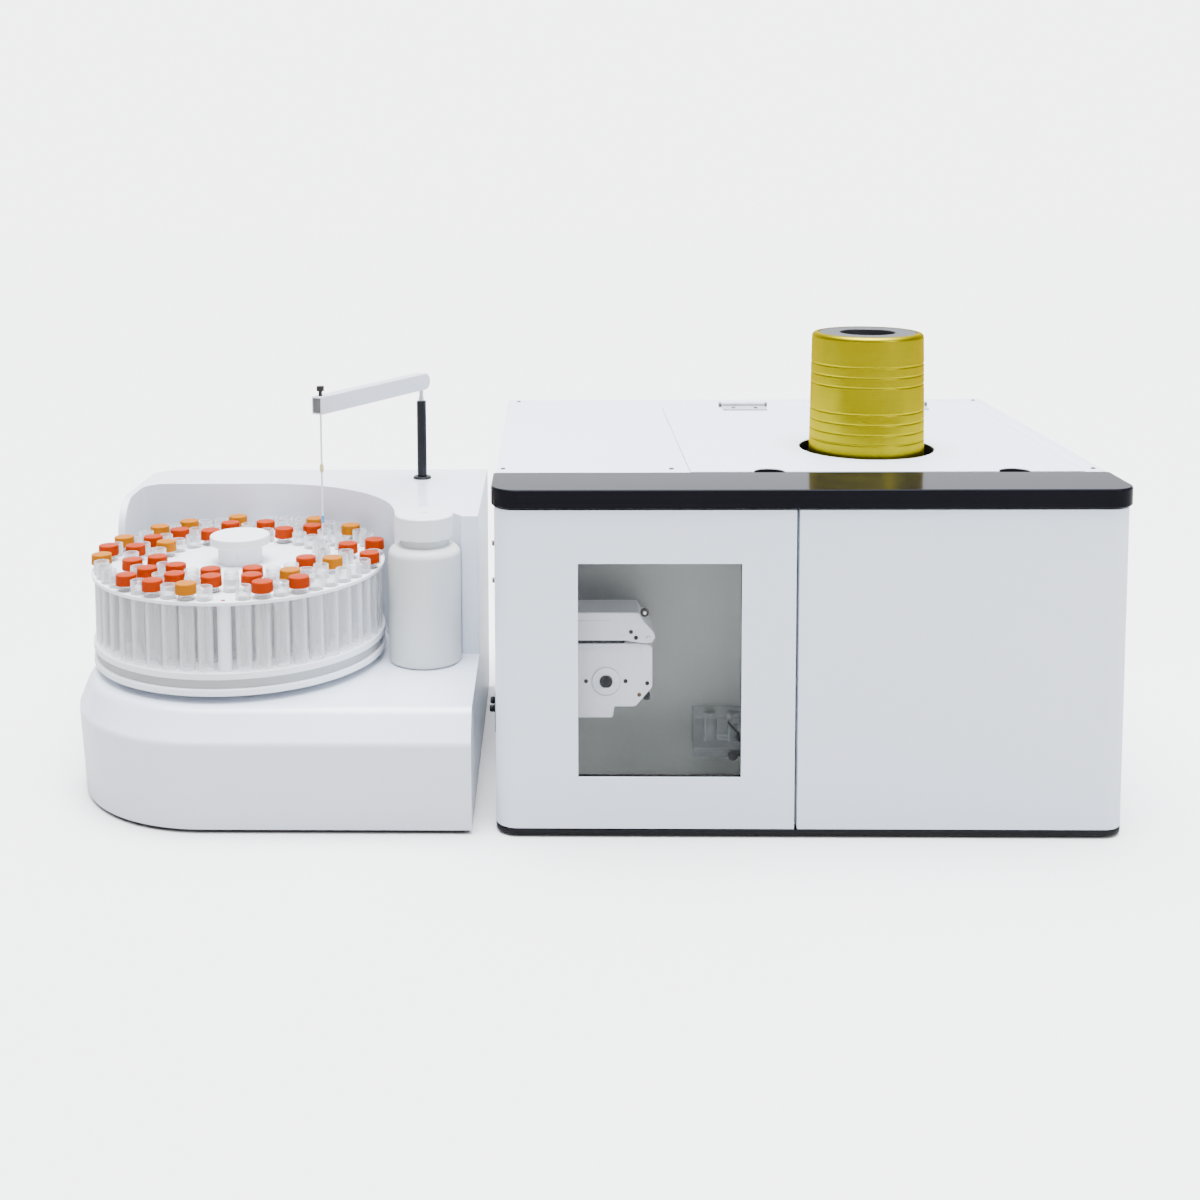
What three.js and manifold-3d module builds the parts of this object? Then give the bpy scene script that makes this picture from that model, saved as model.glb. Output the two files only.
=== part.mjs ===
// Atomic fluorescence spectrometer with its carousel autosampler, standing side by side on a bench.
// Millimetres, +Z up. The cabinet is drawn from its front left corner at bench level and the
// sampler from its turntable axis. The exported group stands on the centre of its footprint.

import * as THREE from 'three';
import { mergeVertices } from 'three/addons/utils/BufferGeometryUtils.js';
import Module from 'manifold-3d';

const wasm = await Module();
wasm.setup();

// Clearances and sheet stock
const GAP = 0.3;
const SEAM = 1.5;
const SHEET = 2;
const OVERRUN = 5;
const WELD = 0.0001;

// Facets on a full turn
const FINE_SIDES = 20;
const ROUND_SIDES = 12;
const SMALL_SIDES = 8;
const TUBE_SIDES = 6;

// Cabinet
const CABINET_WIDTH = 620;
const CABINET_DEPTH = 550;
const CABINET_HEIGHT = 350;
const CORNER_RADIUS = 22;
const FOOT_HEIGHT = 2.5;
const FOOT_RADIUS = 16;
const FOOT_INSET = 52;
const PLINTH_THICKNESS = 5;
const VISOR_HEIGHT = 19;
const VISOR_DEPTH = 82;
const VISOR_LIP = 3;
const TOP_SHEET = 3;
const FLANGE = 12;

// Doors
const DOOR_SEAM_X = 296;
const DOOR_RETURN = 14;
const HINGE_PIN_RADIUS = 3;
const HINGE_PIN_REACH = 4;
const CORNER_WRAP_DEGREES = 100;
const WINDOW_LEFT = 82;
const WINDOW_WIDTH = 160;
const WINDOW_SILL = 61.5;
const WINDOW_HEAD_DROP = 73.5;
const PANE_THICKNESS = 3;
const PANE_LAP = 9;
const GASKET_WIDTH = 12;

// Lid and chimney
const LID_RIGHT_MARGIN = 21;
const LID_WIDTH = 400;
const LID_BACK_MARGIN = 60;
const LEDGE = 12;
const CHIMNEY_ASIDE = 5;
const CHIMNEY_Y = 216;
const LID_HOLE_RADIUS = 73;
const COLLAR_HEIGHT = 8;
const NOTCH_RADIUS = 16;
const NOTCH_SPREAD = 124.5;
const CHIMNEY_FOOT_RADIUS = 62.5;
const CHIMNEY_HEAD_RADIUS = 60;
const CHIMNEY_RISE = 128;
const CHIMNEY_WALL = 7;
const CHIMNEY_EDGE = 5;
const CHIMNEY_SEAT_DROP = 24;
const FLUE_RADIUS = 30;
const TOP_RING_HEIGHT = 9;
const GROOVE_DEPTH = 0.9;
const GROOVE_WIDTH = 2.4;
const GROOVE_PITCH = 10.9;
const UPPER_GROOVES_UP = 97.3;
const LOWER_GROOVES_UP = 36;
const UPPER_GROOVE_COUNT = 3;
const LOWER_GROOVE_COUNT = 4;
const LID_HINGE_RADIUS = 3;
const LID_HINGE_WIDTH = 55;
const LID_HINGE_LEAF = 28;
const LID_HINGE_SHEET = 1.6;
const LID_HINGE_SPREAD = 102;

// Inner compartments
const BAY_DEPTH = 128;
const PARTITION_TOP_GAP = 2;
const DECK_LEVEL = 120;
const DECK_SHEET = 3;

// Peristaltic pump
const PUMP_LEFT = 62;
const PUMP_WIDTH = 96;
const PUMP_BOTTOM = 105;
const PUMP_HEIGHT = 76;
const PUMP_FRONT = 45;
const PUMP_OUTLINE_SHARES = [
  [0, 0], [0.58, 0], [0.6, 0.15], [0.82, 0.15], [1, 0.42], [1, 0.95], [0.96, 1], [0, 1],
];
const ROTOR_X = 111;
const ROTOR_Z = 143.5;
const ROTOR_SHAFT_RADIUS = 6.4;
const ROTOR_CHAMBER_RADIUS = 31;
const ROTOR_THROAT_SHARE = 0.8;
const ROTOR_WALL = 12;
const ROTOR_LENGTH = 34;
const ROLLER_COUNT = 8;
const ROLLER_RADIUS = 4;
const BOSS_RADIUS = 14;
const BOSS_HEIGHT = 1.5;
const CLAMP_HEIGHT = 33;
const CLAMP_DEPTH = 46;
const CLAMP_LUG_RADIUS = 7;
const CLAMP_PIN_RADIUS = 2;
const CLAMP_TUBE_SLOT = 4;
const CLAMP_PIVOT_IN = 4;
const CLAMP_OUTLINE_SHARES = [
  [0, 0], [0, 1], [0.86, 1], [0.92, 0.72], [1, 0.3], [1, 0.1], [0.74, 0],
];

// Gas and liquid separator
const SEPARATOR_LEFT = 205;
const SEPARATOR_WIDTH = 70;
const SEPARATOR_BOTTOM = 46;
const SEPARATOR_HEIGHT = 42;
const SEPARATOR_DEPTH = 37;
const SEPARATOR_CHAMBER_RADIUS = 7;
const SEPARATOR_CHANNEL_RADIUS = 3;
const SEPARATOR_CHAMBER_SHARES = [0.25, 0.6];
const FITTING_RADIUS = 6;
const FITTING_LENGTH = 14;
const FITTING_RISE_SHARE = 0.66;

// Optics compartment
const ATOMIZER_RADIUS = 45;
const ATOMIZER_FLANGE_RADIUS = 60;
const ATOMIZER_FLANGE_HEIGHT = 10;
const ATOMIZER_BORE_RADIUS = 22;
const ATOMIZER_FLOOR = 26;
const FURNACE_TUBE_RADIUS = 10;
const FURNACE_TUBE_WALL = 2;
const FURNACE_TUBE_RISE = 35;
const FURNACE_FOOT_RADIUS = 21;
const FURNACE_FOOT_HEIGHT = 8;
const BEAM_DROP = 100;
const BEAM_RADIUS = 12;
const LAMP_RADIUS = 22;
const LAMP_LENGTH = 96;
const LAMP_SETBACK = 10;
const CRADLE_WIDTH = 40;
const CRADLE_LENGTH = 24;
const DETECTOR_WIDTH = 100;
const DETECTOR_DEPTH = 110;
const DETECTOR_HEADROOM = 59.7;

// Module bay
const GAS_BOX_LEFT = 350;
const GAS_BOX_WIDTH = 130;
const GAS_BOX_BOTTOM = 60;
const GAS_BOX_HEIGHT = 90;
const GAS_BOX_DEPTH = 55;
const GAS_KNOB_RADIUS = 9;
const GAS_KNOB_HEIGHT = 10;
const GAS_KNOB_SHARES = [0.3, 0.7];

// Rear panel
const FAN_SIZE = 80;
const FAN_DEPTH = 25;
const FAN_RIGHT_MARGIN = 150;
const FAN_DROP = 120;
const FAN_BORE_RADIUS = 37;
const FAN_HUB_RADIUS = 15;
const FAN_BLADES = 7;
const FAN_BLADE_SHEET = 2;
const FAN_BLADE_PITCH_DEGREES = 36;
const FAN_TIP_GAP = 1.5;
const GUARD_BAR = 2.4;
const GUARD_RING_COUNT = 2;
const GUARD_RIM = 3.5;
const INLET_RIGHT_MARGIN = 60;
const INLET_Z = 60;
const INLET_WIDTH = 48;
const INLET_HEIGHT = 28;
const INLET_DEPTH = 20;
const INLET_WALL = 3;
const SWITCH_WIDTH = 14;
const SWITCH_HEIGHT = 22;
const SWITCH_RISE = 32;
const SWITCH_DEPTH = 4;
const SWITCH_CREST = 1;
const SWITCH_PIVOT_IN = 1.1;
const SWITCH_TILT_DEGREES = 12;
const BEZEL = 3;
const GAS_INLET_X = 120;
const GAS_INLET_Z = 80;
const GAS_INLET_RADIUS = 7;
const GAS_NUT_SHARE = 1.4;
const GAS_INLET_LENGTH = 9;
const DATA_PORT_X = 200;
const DATA_PORT_WIDTH = 34;
const DATA_PORT_HEIGHT = 14;
const REAR_REACH = 3;

// Tubing port on the left side
const SIDE_PORT_Y = 60;
const SIDE_PORT_LENGTH = 60;
const SIDE_PORT_BOTTOM = 83;
const SIDE_PORT_HEIGHT = 40;
const SIDE_PORT_SHEET = 2;
const SIDE_PORT_NIPPLE_RADIUS = 4;
const SIDE_PORT_NIPPLE_LENGTH = 6;
const SIDE_PORT_NIPPLE_SHARES = [0.3, 0.7];

// Sampler housing, from the turntable axis
const SAMPLER_X = -287;
const SAMPLER_Y = 188.5;
const SAMPLER_RIGHT = 263;
const SAMPLER_LEFT = 167;
const SAMPLER_FRONT = 188.5;
const SAMPLER_BACK = 250;
const SAMPLER_WALL = 4;
const SAMPLER_FLOOR = 4.6;
const SAMPLER_FRONT_CORNER = 160;
const SAMPLER_BACK_CORNER = 28;
const SAMPLER_SHOULDER = 94;
const SAMPLER_DECK = 124;
const SAMPLER_TOWER = 280;
const FRONT_SLOPE_IN = 22;
const LEFT_SLOPE_IN = 12;
const WALL_DRAFT = 5;
const RECESS_RADIUS = 170;
const WING_FRONT = 68;
const WING_THICKNESS = 8;
const WING_FILLET = 25;
const WING_ROUND = 40;
const STEP_BACK = 0;
const SAMPLER_FOOT_HEIGHT = 2;
const SAMPLER_FOOT_RADIUS = 12;
const SAMPLER_PAN = 2;
const CORNER_STEPS = 10;

// Reagent bottle
const BOTTLE_X = 205;
const BOTTLE_Y = -17.5;
const BOTTLE_RADIUS = 39.3;
const BOTTLE_NICHE_GAP = 3.7;
const BOTTLE_SHOULDER = 119;
const BOTTLE_SHOULDER_ROUND = 10;
const SHOULDER_BEND_SHARES = [0.33, 0.7];
const BOTTLE_NECK_RADIUS = 26;
const BOTTLE_NECK_TOP = 158;
const BOTTLE_WALL = 2;
const BOTTLE_CAP_RADIUS = 31.5;
const BOTTLE_CAP_BOTTOM = 138;
const BOTTLE_CAP_TOP = 163;
const BOTTLE_CAP_WALL = 2.5;

// Lift column and arm
const COLUMN_X = 185;
const COLUMN_Y = 197.5;
const COLUMN_RADIUS = 5.8;
const COLUMN_TOP = 376;
const COLUMN_BOTTOM = 176;
const COLUMN_NECK_RADIUS = 3;
const COLUMN_FLANGE_RADIUS = 11;
const COLUMN_FLANGE_HEIGHT = 2.5;
const GUIDE_RADIUS = 10;
const GUIDE_BOTTOM = 150;
const GUIDE_FLANGE_RADIUS = 17;
const GUIDE_FLANGE_HEIGHT = 3;
const ARM_REACH = 202;
const ARM_WIDTH = 14;
const ARM_HEIGHT = 20;
const ARM_UNDERSIDE = 390;
const ARM_TAIL = 10;
const ARM_NOSE = 7;
const NEEDLE_RADIUS = 1.1;
const NEEDLE_TIP = 252;
const NEEDLE_SLEEVE_RADIUS = 2.4;
const NEEDLE_SLEEVE_BOTTOM = 325;
const NEEDLE_SLEEVE_LENGTH = 9;
const THUMB_SCREW_RADIUS = 4.2;
const THUMB_SCREW_HEIGHT = 11;

// Carousel
const DISC_RADIUS = 158.5;
const DISC_BOTTOM = 131.5;
const DISC_THICKNESS = 7.5;
const SPACER_HEIGHT = 9.5;
const SPACER_WIDTH = 5;
const SPACER_SETBACK = 2.5;
const LOWER_PLATE_THICKNESS = 7;
const UPPER_PLATE_TOP = 229;
const UPPER_PLATE_THICKNESS = 4;
const HUB_RADIUS = 20;
const SPINDLE_RADIUS = 6;
const SPINDLE_TOP = 236;
const POST_RADIUS = 7;
const POST_COUNT = 4;
const TUBE_RADIUS = 8.1;
const TUBE_WALL = 1;
const TUBE_TOP = 243;
const TUBE_FLOOR = 4;
const TUBE_HOLE_GAP = 0.5;
const CAP_RADIUS = 11.1;
const CAP_BOTTOM = 235;
const CAP_TOP = 246;
const POST_DEGREES = -85;
const MIDDLE_ROW_DEGREES = 7;
const OUTER_ROW = {
  radius: 148,
  count: 48,
  capped: [2, 4, 10, 13, 17, 20, 25, 28, 30, 33, 35, 37, 42, 44, 46],
};
const MIDDLE_ROW = {
  radius: 118,
  count: 36,
  capped: [0, 5, 8, 10, 13, 15, 17, 20, 22, 24, 26, 28, 30, 33],
};
const INNER_ROW = { radius: 91, count: 26, capped: [4, 8, 11, 14, 16, 18, 20, 23] };
const KNOB_RADIUS = 32.5;
const KNOB_THICKNESS = 10;
const KNOB_NECK_RADIUS = 24;
const KNOB_BORE_RADIUS = 7.5;
const KNOB_BORE_TOP = 240.5;
const KNOB_TOP = 259.5;
const MOTOR_RADIUS = 30;
const MOTOR_HEIGHT = 50;

// Finishes
const powderWhite = new THREE.MeshStandardMaterial({ color: '#e6e9ee', roughness: 0.45, metalness: 0.1 });
const glossBlack = new THREE.MeshStandardMaterial({ color: '#15171a', roughness: 0.12, metalness: 0 });
const rubberBlack = new THREE.MeshStandardMaterial({ color: '#1c1c1e', roughness: 0.8, metalness: 0 });
const chamberGrey = new THREE.MeshStandardMaterial({ color: '#8d9193', roughness: 0.6, metalness: 0.2 });
const goldAnodised = new THREE.MeshStandardMaterial({ color: '#d9b414', roughness: 0.35, metalness: 0.7 });
const brushedMetal = new THREE.MeshStandardMaterial({ color: '#a5a7aa', roughness: 0.35, metalness: 0.9 });
const plasticWhite = new THREE.MeshStandardMaterial({ color: '#f1f2f4', roughness: 0.3, metalness: 0 });
const clearAcrylic = new THREE.MeshStandardMaterial({
  color: '#cfd4d4', roughness: 0.1, metalness: 0, transparent: true, opacity: 0.5,
});
const milkyPlastic = new THREE.MeshStandardMaterial({ color: '#eef0e8', roughness: 0.4, metalness: 0 });
const darkGrey = new THREE.MeshStandardMaterial({ color: '#3a3c40', roughness: 0.5, metalness: 0.2 });
const tubeClear = new THREE.MeshStandardMaterial({ color: '#dfe3e6', roughness: 0.2, metalness: 0 });

// Levels that several pieces share
const plinthBottom = FOOT_HEIGHT + GAP;
const plinthTop = plinthBottom + PLINTH_THICKNESS;
const panelBottom = plinthTop + GAP;
const visorBottom = CABINET_HEIGHT - VISOR_HEIGHT;
const coverUnderside = CABINET_HEIGHT - TOP_SHEET;
const doorBottom = plinthTop + SEAM;
const doorTop = visorBottom - SEAM;
const lidRight = CABINET_WIDTH - LID_RIGHT_MARGIN;
const lidLeft = lidRight - LID_WIDTH;
const lidBack = CABINET_DEPTH - LID_BACK_MARGIN;
const chimneyX = (lidLeft + lidRight) / 2 + CHIMNEY_ASIDE;
const chimneyTop = CABINET_HEIGHT + CHIMNEY_RISE;
const chimneySeat = CABINET_HEIGHT - CHIMNEY_SEAT_DROP;
const beamLevel = CABINET_HEIGHT - BEAM_DROP;
const windowHead = CABINET_HEIGHT - WINDOW_HEAD_DROP;
const leftPivotX = CORNER_RADIUS;
const rightPivotX = CABINET_WIDTH - CORNER_RADIUS;
const pivotY = CORNER_RADIUS;

// Shapes: closed geometries, and joins and cuts between them
function outwardSolid(geometry) {
  const bare = geometry.clone();
  bare.deleteAttribute('normal');
  bare.deleteAttribute('uv');
  const welded = mergeVertices(bare, WELD);
  const points = welded.attributes.position;
  const corners = Array.from(welded.index.array);
  const [a, b, c] = [new THREE.Vector3(), new THREE.Vector3(), new THREE.Vector3()];
  let volume = 0;
  for (let i = 0; i < corners.length; i += 3) {
    a.fromBufferAttribute(points, corners[i]);
    b.fromBufferAttribute(points, corners[i + 1]);
    c.fromBufferAttribute(points, corners[i + 2]);
    volume += a.dot(b.cross(c));
  }
  if (volume < 0) corners.reverse();
  return new wasm.Manifold(new wasm.Mesh({
    numProp: 3,
    vertProperties: new Float32Array(points.array),
    triVerts: new Uint32Array(corners),
  }));
}

function solid(shape) {
  return shape.isBufferGeometry ? outwardSolid(shape) : shape;
}

function join(first, ...others) {
  return others.reduce((body, other) => body.add(solid(other)), solid(first));
}

function cut(first, ...tools) {
  return tools.reduce((body, tool) => body.subtract(solid(tool)), solid(first));
}

function common(first, second) {
  return solid(first).intersect(solid(second));
}

function block([x0, x1], [y0, y1], [z0, z1]) {
  const box = new THREE.BoxGeometry(x1 - x0, y1 - y0, z1 - z0);
  return box.translate((x0 + x1) / 2, (y0 + y1) / 2, (z0 + z1) / 2);
}

function widened([from, to], by) {
  return [from - by, to + by];
}

function upright(radius, x, y, [z0, z1], sides = ROUND_SIDES, topRadius = radius) {
  const drum = new THREE.CylinderGeometry(topRadius, radius, z1 - z0, sides);
  return drum.rotateX(Math.PI / 2).translate(x, y, (z0 + z1) / 2);
}

function alongY(radius, x, [y0, y1], z, sides = ROUND_SIDES) {
  const drum = new THREE.CylinderGeometry(radius, radius, y1 - y0, sides);
  return drum.translate(x, (y0 + y1) / 2, z);
}

function alongX(radius, [x0, x1], y, z, sides = ROUND_SIDES) {
  const drum = new THREE.CylinderGeometry(radius, radius, x1 - x0, sides);
  return drum.rotateZ(Math.PI / 2).translate((x0 + x1) / 2, y, z);
}

function turned(profile, x, y, sides = FINE_SIDES) {
  const points = profile.map(([radius, z]) => new THREE.Vector2(radius, z));
  return new THREE.LatheGeometry(points, sides).rotateX(Math.PI / 2).translate(x, y, 0);
}

function prism(outline, [z0, z1], steps = CORNER_STEPS) {
  const settings = { depth: z1 - z0, bevelEnabled: false, curveSegments: steps };
  return new THREE.ExtrudeGeometry(outline, settings).translate(0, 0, z0);
}

function prismAlongY(points, [y0, y1]) {
  const outline = new THREE.Shape(points.map(([x, z]) => new THREE.Vector2(x, z)));
  const bar = new THREE.ExtrudeGeometry(outline, { depth: y1 - y0, bevelEnabled: false });
  return bar.rotateX(Math.PI / 2).translate(0, y1, 0);
}

function polar(radius, angle, x = 0, y = 0) {
  return [x + radius * Math.cos(angle), y + radius * Math.sin(angle)];
}

function placed(name, shape, finish, position = [0, 0, 0]) {
  const { vertProperties, triVerts } = solid(shape).getMesh();
  const geometry = new THREE.BufferGeometry();
  geometry.setAttribute('position', new THREE.BufferAttribute(vertProperties, 3));
  geometry.setIndex(new THREE.BufferAttribute(triVerts, 1));
  geometry.computeVertexNormals();
  const mesh = new THREE.Mesh(geometry, finish);
  mesh.name = name;
  mesh.position.set(...position);
  return mesh;
}

const bench = new THREE.Group();
const cabinet = new THREE.Group();
const sampler = new THREE.Group();
sampler.position.set(SAMPLER_X, SAMPLER_Y, 0);
bench.add(cabinet, sampler);

// Feet and plinth. The plinth carries the lower hinge pins of both doors.
const footPlaces = {
  front_left: [FOOT_INSET, FOOT_INSET],
  front_right: [CABINET_WIDTH - FOOT_INSET, FOOT_INSET],
  rear_left: [FOOT_INSET, CABINET_DEPTH - FOOT_INSET],
  rear_right: [CABINET_WIDTH - FOOT_INSET, CABINET_DEPTH - FOOT_INSET],
};
for (const [corner, [x, y]] of Object.entries(footPlaces)) {
  cabinet.add(placed(`foot_${corner}`, upright(FOOT_RADIUS, x, y, [0, FOOT_HEIGHT]), rubberBlack));
}

function cabinetOutline(left, right, front, back, radius) {
  const outline = new THREE.Shape();
  outline.moveTo(right, back);
  outline.lineTo(left, back);
  outline.lineTo(left, front + radius);
  outline.absarc(left + radius, front + radius, radius, Math.PI, 1.5 * Math.PI, false);
  outline.lineTo(right - radius, front);
  outline.absarc(right - radius, front + radius, radius, -Math.PI / 2, 0, false);
  outline.closePath();
  return outline;
}

const plinthOutline = cabinetOutline(0, CABINET_WIDTH, 0, CABINET_DEPTH, CORNER_RADIUS);
const lowerPinTop = doorBottom + SHEET + HINGE_PIN_REACH;
const lowerPins = [leftPivotX, rightPivotX].map(
  (x) => upright(HINGE_PIN_RADIUS, x, pivotY, [plinthTop - OVERRUN / 2, lowerPinTop], SMALL_SIDES),
);
const plinth = join(prism(plinthOutline, [plinthBottom, plinthTop], CORNER_STEPS / 2), ...lowerPins);
cabinet.add(placed('base_plinth', plinth, glossBlack));

// Side panels, folded in at the top and bottom. Their front edges clear the doors' turning corners.
function sidePanel(outer, inward, pivotX) {
  const edges = (depth) => [outer, outer + inward * depth].sort((a, b) => a - b);
  const back = CABINET_DEPTH - SHEET - GAP;
  const top = coverUnderside - GAP;
  const skin = block(edges(SHEET), [0, CABINET_DEPTH], [panelBottom, top]);
  const sill = block(edges(FLANGE), [0, back], [panelBottom, panelBottom + SHEET]);
  const head = block(edges(FLANGE), [0, back], [top - SHEET, top]);
  const cornerSweep = upright(CORNER_RADIUS + 2 * GAP, pivotX, pivotY, [0, CABINET_HEIGHT], FINE_SIDES);
  const ahead = block([-OVERRUN, CABINET_WIDTH + OVERRUN], [-OVERRUN, pivotY], [0, CABINET_HEIGHT]);
  const underVisor = block(
    [-OVERRUN, CABINET_WIDTH + OVERRUN],
    [-OVERRUN, VISOR_DEPTH + GAP],
    [visorBottom - GAP, CABINET_HEIGHT],
  );
  return cut(join(skin, sill, head), cornerSweep, ahead, underVisor);
}

const leftPanel = cut(
  sidePanel(0, 1, leftPivotX),
  alongX(FITTING_RADIUS, [-OVERRUN, OVERRUN], SIDE_PORT_Y + SIDE_PORT_LENGTH / 2,
    SIDE_PORT_BOTTOM + SIDE_PORT_HEIGHT / 2, SMALL_SIDES),
);
cabinet.add(placed('left_side_panel', leftPanel, powderWhite));
cabinet.add(placed('right_side_panel', sidePanel(CABINET_WIDTH, -1, rightPivotX), powderWhite));

// Tubing port: a small plate with two nipples on the left side
const portMiddle = SIDE_PORT_BOTTOM + SIDE_PORT_HEIGHT / 2;
const nipplePlaces = SIDE_PORT_NIPPLE_SHARES.map((share) => SIDE_PORT_Y + share * SIDE_PORT_LENGTH);
const nipples = nipplePlaces.map((y) => alongX(
  SIDE_PORT_NIPPLE_RADIUS,
  [-GAP - SIDE_PORT_SHEET - SIDE_PORT_NIPPLE_LENGTH, -GAP - SIDE_PORT_SHEET / 2],
  y,
  portMiddle,
  SMALL_SIDES,
));
const portPlate = block(
  [-GAP - SIDE_PORT_SHEET, -GAP],
  [SIDE_PORT_Y, SIDE_PORT_Y + SIDE_PORT_LENGTH],
  [SIDE_PORT_BOTTOM, SIDE_PORT_BOTTOM + SIDE_PORT_HEIGHT],
);
cabinet.add(placed('side_port_plate', join(portPlate, ...nipples), darkGrey));

// Visor: the gloss plate across the front of the top, with the doors' upper hinge pins under it
const visorOutline = cabinetOutline(
  -VISOR_LIP, CABINET_WIDTH + VISOR_LIP, -VISOR_LIP, VISOR_DEPTH, CORNER_RADIUS + VISOR_LIP,
);
const upperPins = [leftPivotX, rightPivotX].map((x) => upright(
  HINGE_PIN_RADIUS, x, pivotY, [doorTop - SHEET - HINGE_PIN_REACH, visorBottom + OVERRUN], SMALL_SIDES,
));
const visor = join(prism(visorOutline, [visorBottom, CABINET_HEIGHT], CORNER_STEPS / 2), ...upperPins);
cabinet.add(placed('visor_plate', visor, glossBlack));

// Top cover: a sheet notched for the lid, with a ledge under the lid's edges
const coverFront = VISOR_DEPTH + GAP;
const coverSheet = block([0, CABINET_WIDTH], [coverFront, CABINET_DEPTH], [coverUnderside, CABINET_HEIGHT]);
const lidNotch = block(
  [lidLeft - SEAM / 2, lidRight + SEAM / 2],
  [coverFront - OVERRUN, lidBack + SEAM / 2],
  [coverUnderside - OVERRUN, CABINET_HEIGHT + OVERRUN],
);
const ledgeFrame = cut(
  block(
    [lidLeft - LEDGE, lidRight + LEDGE / 2],
    [coverFront, lidBack + LEDGE],
    [coverUnderside - SHEET, coverUnderside],
  ),
  block(
    [lidLeft + LEDGE / 2, lidRight - LEDGE / 2],
    [coverFront - OVERRUN, lidBack - LEDGE / 2],
    [coverUnderside - OVERRUN, coverUnderside + OVERRUN],
  ),
);
cabinet.add(placed('top_cover', join(cut(coverSheet, lidNotch), ledgeFrame), powderWhite));

// Lid: a sheet with the chimney hole, its collar and two finger notches
const lidUnderside = coverUnderside + GAP;
const lidFront = coverFront + SEAM;
const lidSheet = block([lidLeft, lidRight], [lidFront, lidBack - SEAM / 2], [lidUnderside, CABINET_HEIGHT]);
const collar = upright(LID_HOLE_RADIUS + SHEET, chimneyX, CHIMNEY_Y,
  [lidUnderside - COLLAR_HEIGHT, lidUnderside + TOP_SHEET / 2], FINE_SIDES);
const chimneyHole = upright(LID_HOLE_RADIUS, chimneyX, CHIMNEY_Y,
  [lidUnderside - 2 * COLLAR_HEIGHT, CABINET_HEIGHT + OVERRUN], FINE_SIDES);
const fingerNotches = [-1, 1].map((side) => upright(NOTCH_RADIUS, chimneyX + side * NOTCH_SPREAD, lidFront,
  [lidUnderside - OVERRUN, CABINET_HEIGHT + OVERRUN]));
cabinet.add(placed('lid_panel', cut(join(lidSheet, collar), chimneyHole, ...fingerNotches), powderWhite));

// Lid hinges: leaves screwed on the sheet either side of a knuckle
const lidHingeZ = CABINET_HEIGHT + GAP + LID_HINGE_RADIUS;
const lidLeafTop = CABINET_HEIGHT + GAP + LID_HINGE_SHEET;
const hingeBarrel = (radius, ends) => alongX(radius, ends, lidBack, lidHingeZ, SMALL_SIDES);
for (const [side, sign] of [['left', -1], ['right', 1]]) {
  const x = chimneyX + sign * LID_HINGE_SPREAD;
  const span = [x - LID_HINGE_WIDTH / 2, x + LID_HINGE_WIDTH / 2];
  const middle = [x - LID_HINGE_WIDTH / 6, x + LID_HINGE_WIDTH / 6];
  const sweptRadius = LID_HINGE_RADIUS + GAP;
  const midSweep = hingeBarrel(sweptRadius, widened(middle, GAP));
  const endSweeps = [
    hingeBarrel(sweptRadius, [span[0] - OVERRUN, middle[0] + GAP / 2]),
    hingeBarrel(sweptRadius, [middle[1] - GAP / 2, span[1] + OVERRUN]),
  ];
  const baseLeaf = block(span, [lidBack, lidBack + LID_HINGE_LEAF], [CABINET_HEIGHT + GAP, lidLeafTop]);
  const lidLeaf = block(span, [lidBack - LID_HINGE_LEAF, lidBack], [CABINET_HEIGHT + GAP, lidLeafTop]);
  const endKnuckles = [
    hingeBarrel(LID_HINGE_RADIUS, [span[0], middle[0] - GAP]),
    hingeBarrel(LID_HINGE_RADIUS, [middle[1] + GAP, span[1]]),
  ];
  const midKnuckle = hingeBarrel(LID_HINGE_RADIUS, middle);
  cabinet.add(placed(`lid_hinge_base_${side}`, join(cut(baseLeaf, midSweep), ...endKnuckles), brushedMetal));
  cabinet.add(placed(`lid_hinge_leaf_${side}`, join(cut(lidLeaf, ...endSweeps), midKnuckle), brushedMetal));
}

// Chimney: a turned tube with rows of grooves, and a ring let into its mouth
const chimneyFoot = chimneySeat + GAP;
function chimneyRadius(z) {
  const share = (z - chimneyFoot) / (chimneyTop - chimneyFoot);
  return CHIMNEY_FOOT_RADIUS + share * (CHIMNEY_HEAD_RADIUS - CHIMNEY_FOOT_RADIUS);
}
function grooveRow(up, count) {
  const points = [];
  for (let i = 0; i < count; i += 1) {
    const z = chimneyFoot + up + i * GROOVE_PITCH;
    points.push([chimneyRadius(z), z - GROOVE_WIDTH / 2]);
    points.push([chimneyRadius(z) - GROOVE_DEPTH, z]);
    points.push([chimneyRadius(z), z + GROOVE_WIDTH / 2]);
  }
  return points;
}
const chimneyInner = CHIMNEY_HEAD_RADIUS - CHIMNEY_WALL;
const ringSeat = chimneyTop - TOP_RING_HEIGHT;
const chimneyProfile = [
  [chimneyInner - CHIMNEY_WALL, chimneyFoot],
  [CHIMNEY_FOOT_RADIUS, chimneyFoot],
  ...grooveRow(LOWER_GROOVES_UP, LOWER_GROOVE_COUNT),
  ...grooveRow(UPPER_GROOVES_UP, UPPER_GROOVE_COUNT),
  [chimneyRadius(chimneyTop - CHIMNEY_EDGE), chimneyTop - CHIMNEY_EDGE],
  [CHIMNEY_HEAD_RADIUS - CHIMNEY_EDGE / 3, chimneyTop - CHIMNEY_EDGE / 3],
  [CHIMNEY_HEAD_RADIUS - CHIMNEY_EDGE, chimneyTop],
  [chimneyInner, chimneyTop],
  [chimneyInner, ringSeat],
  [chimneyInner - CHIMNEY_WALL, ringSeat],
  [chimneyInner - CHIMNEY_WALL, chimneyFoot],
];
cabinet.add(placed('chimney_tube', turned(chimneyProfile, chimneyX, CHIMNEY_Y), goldAnodised));
const ringOuter = chimneyInner - GAP;
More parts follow.
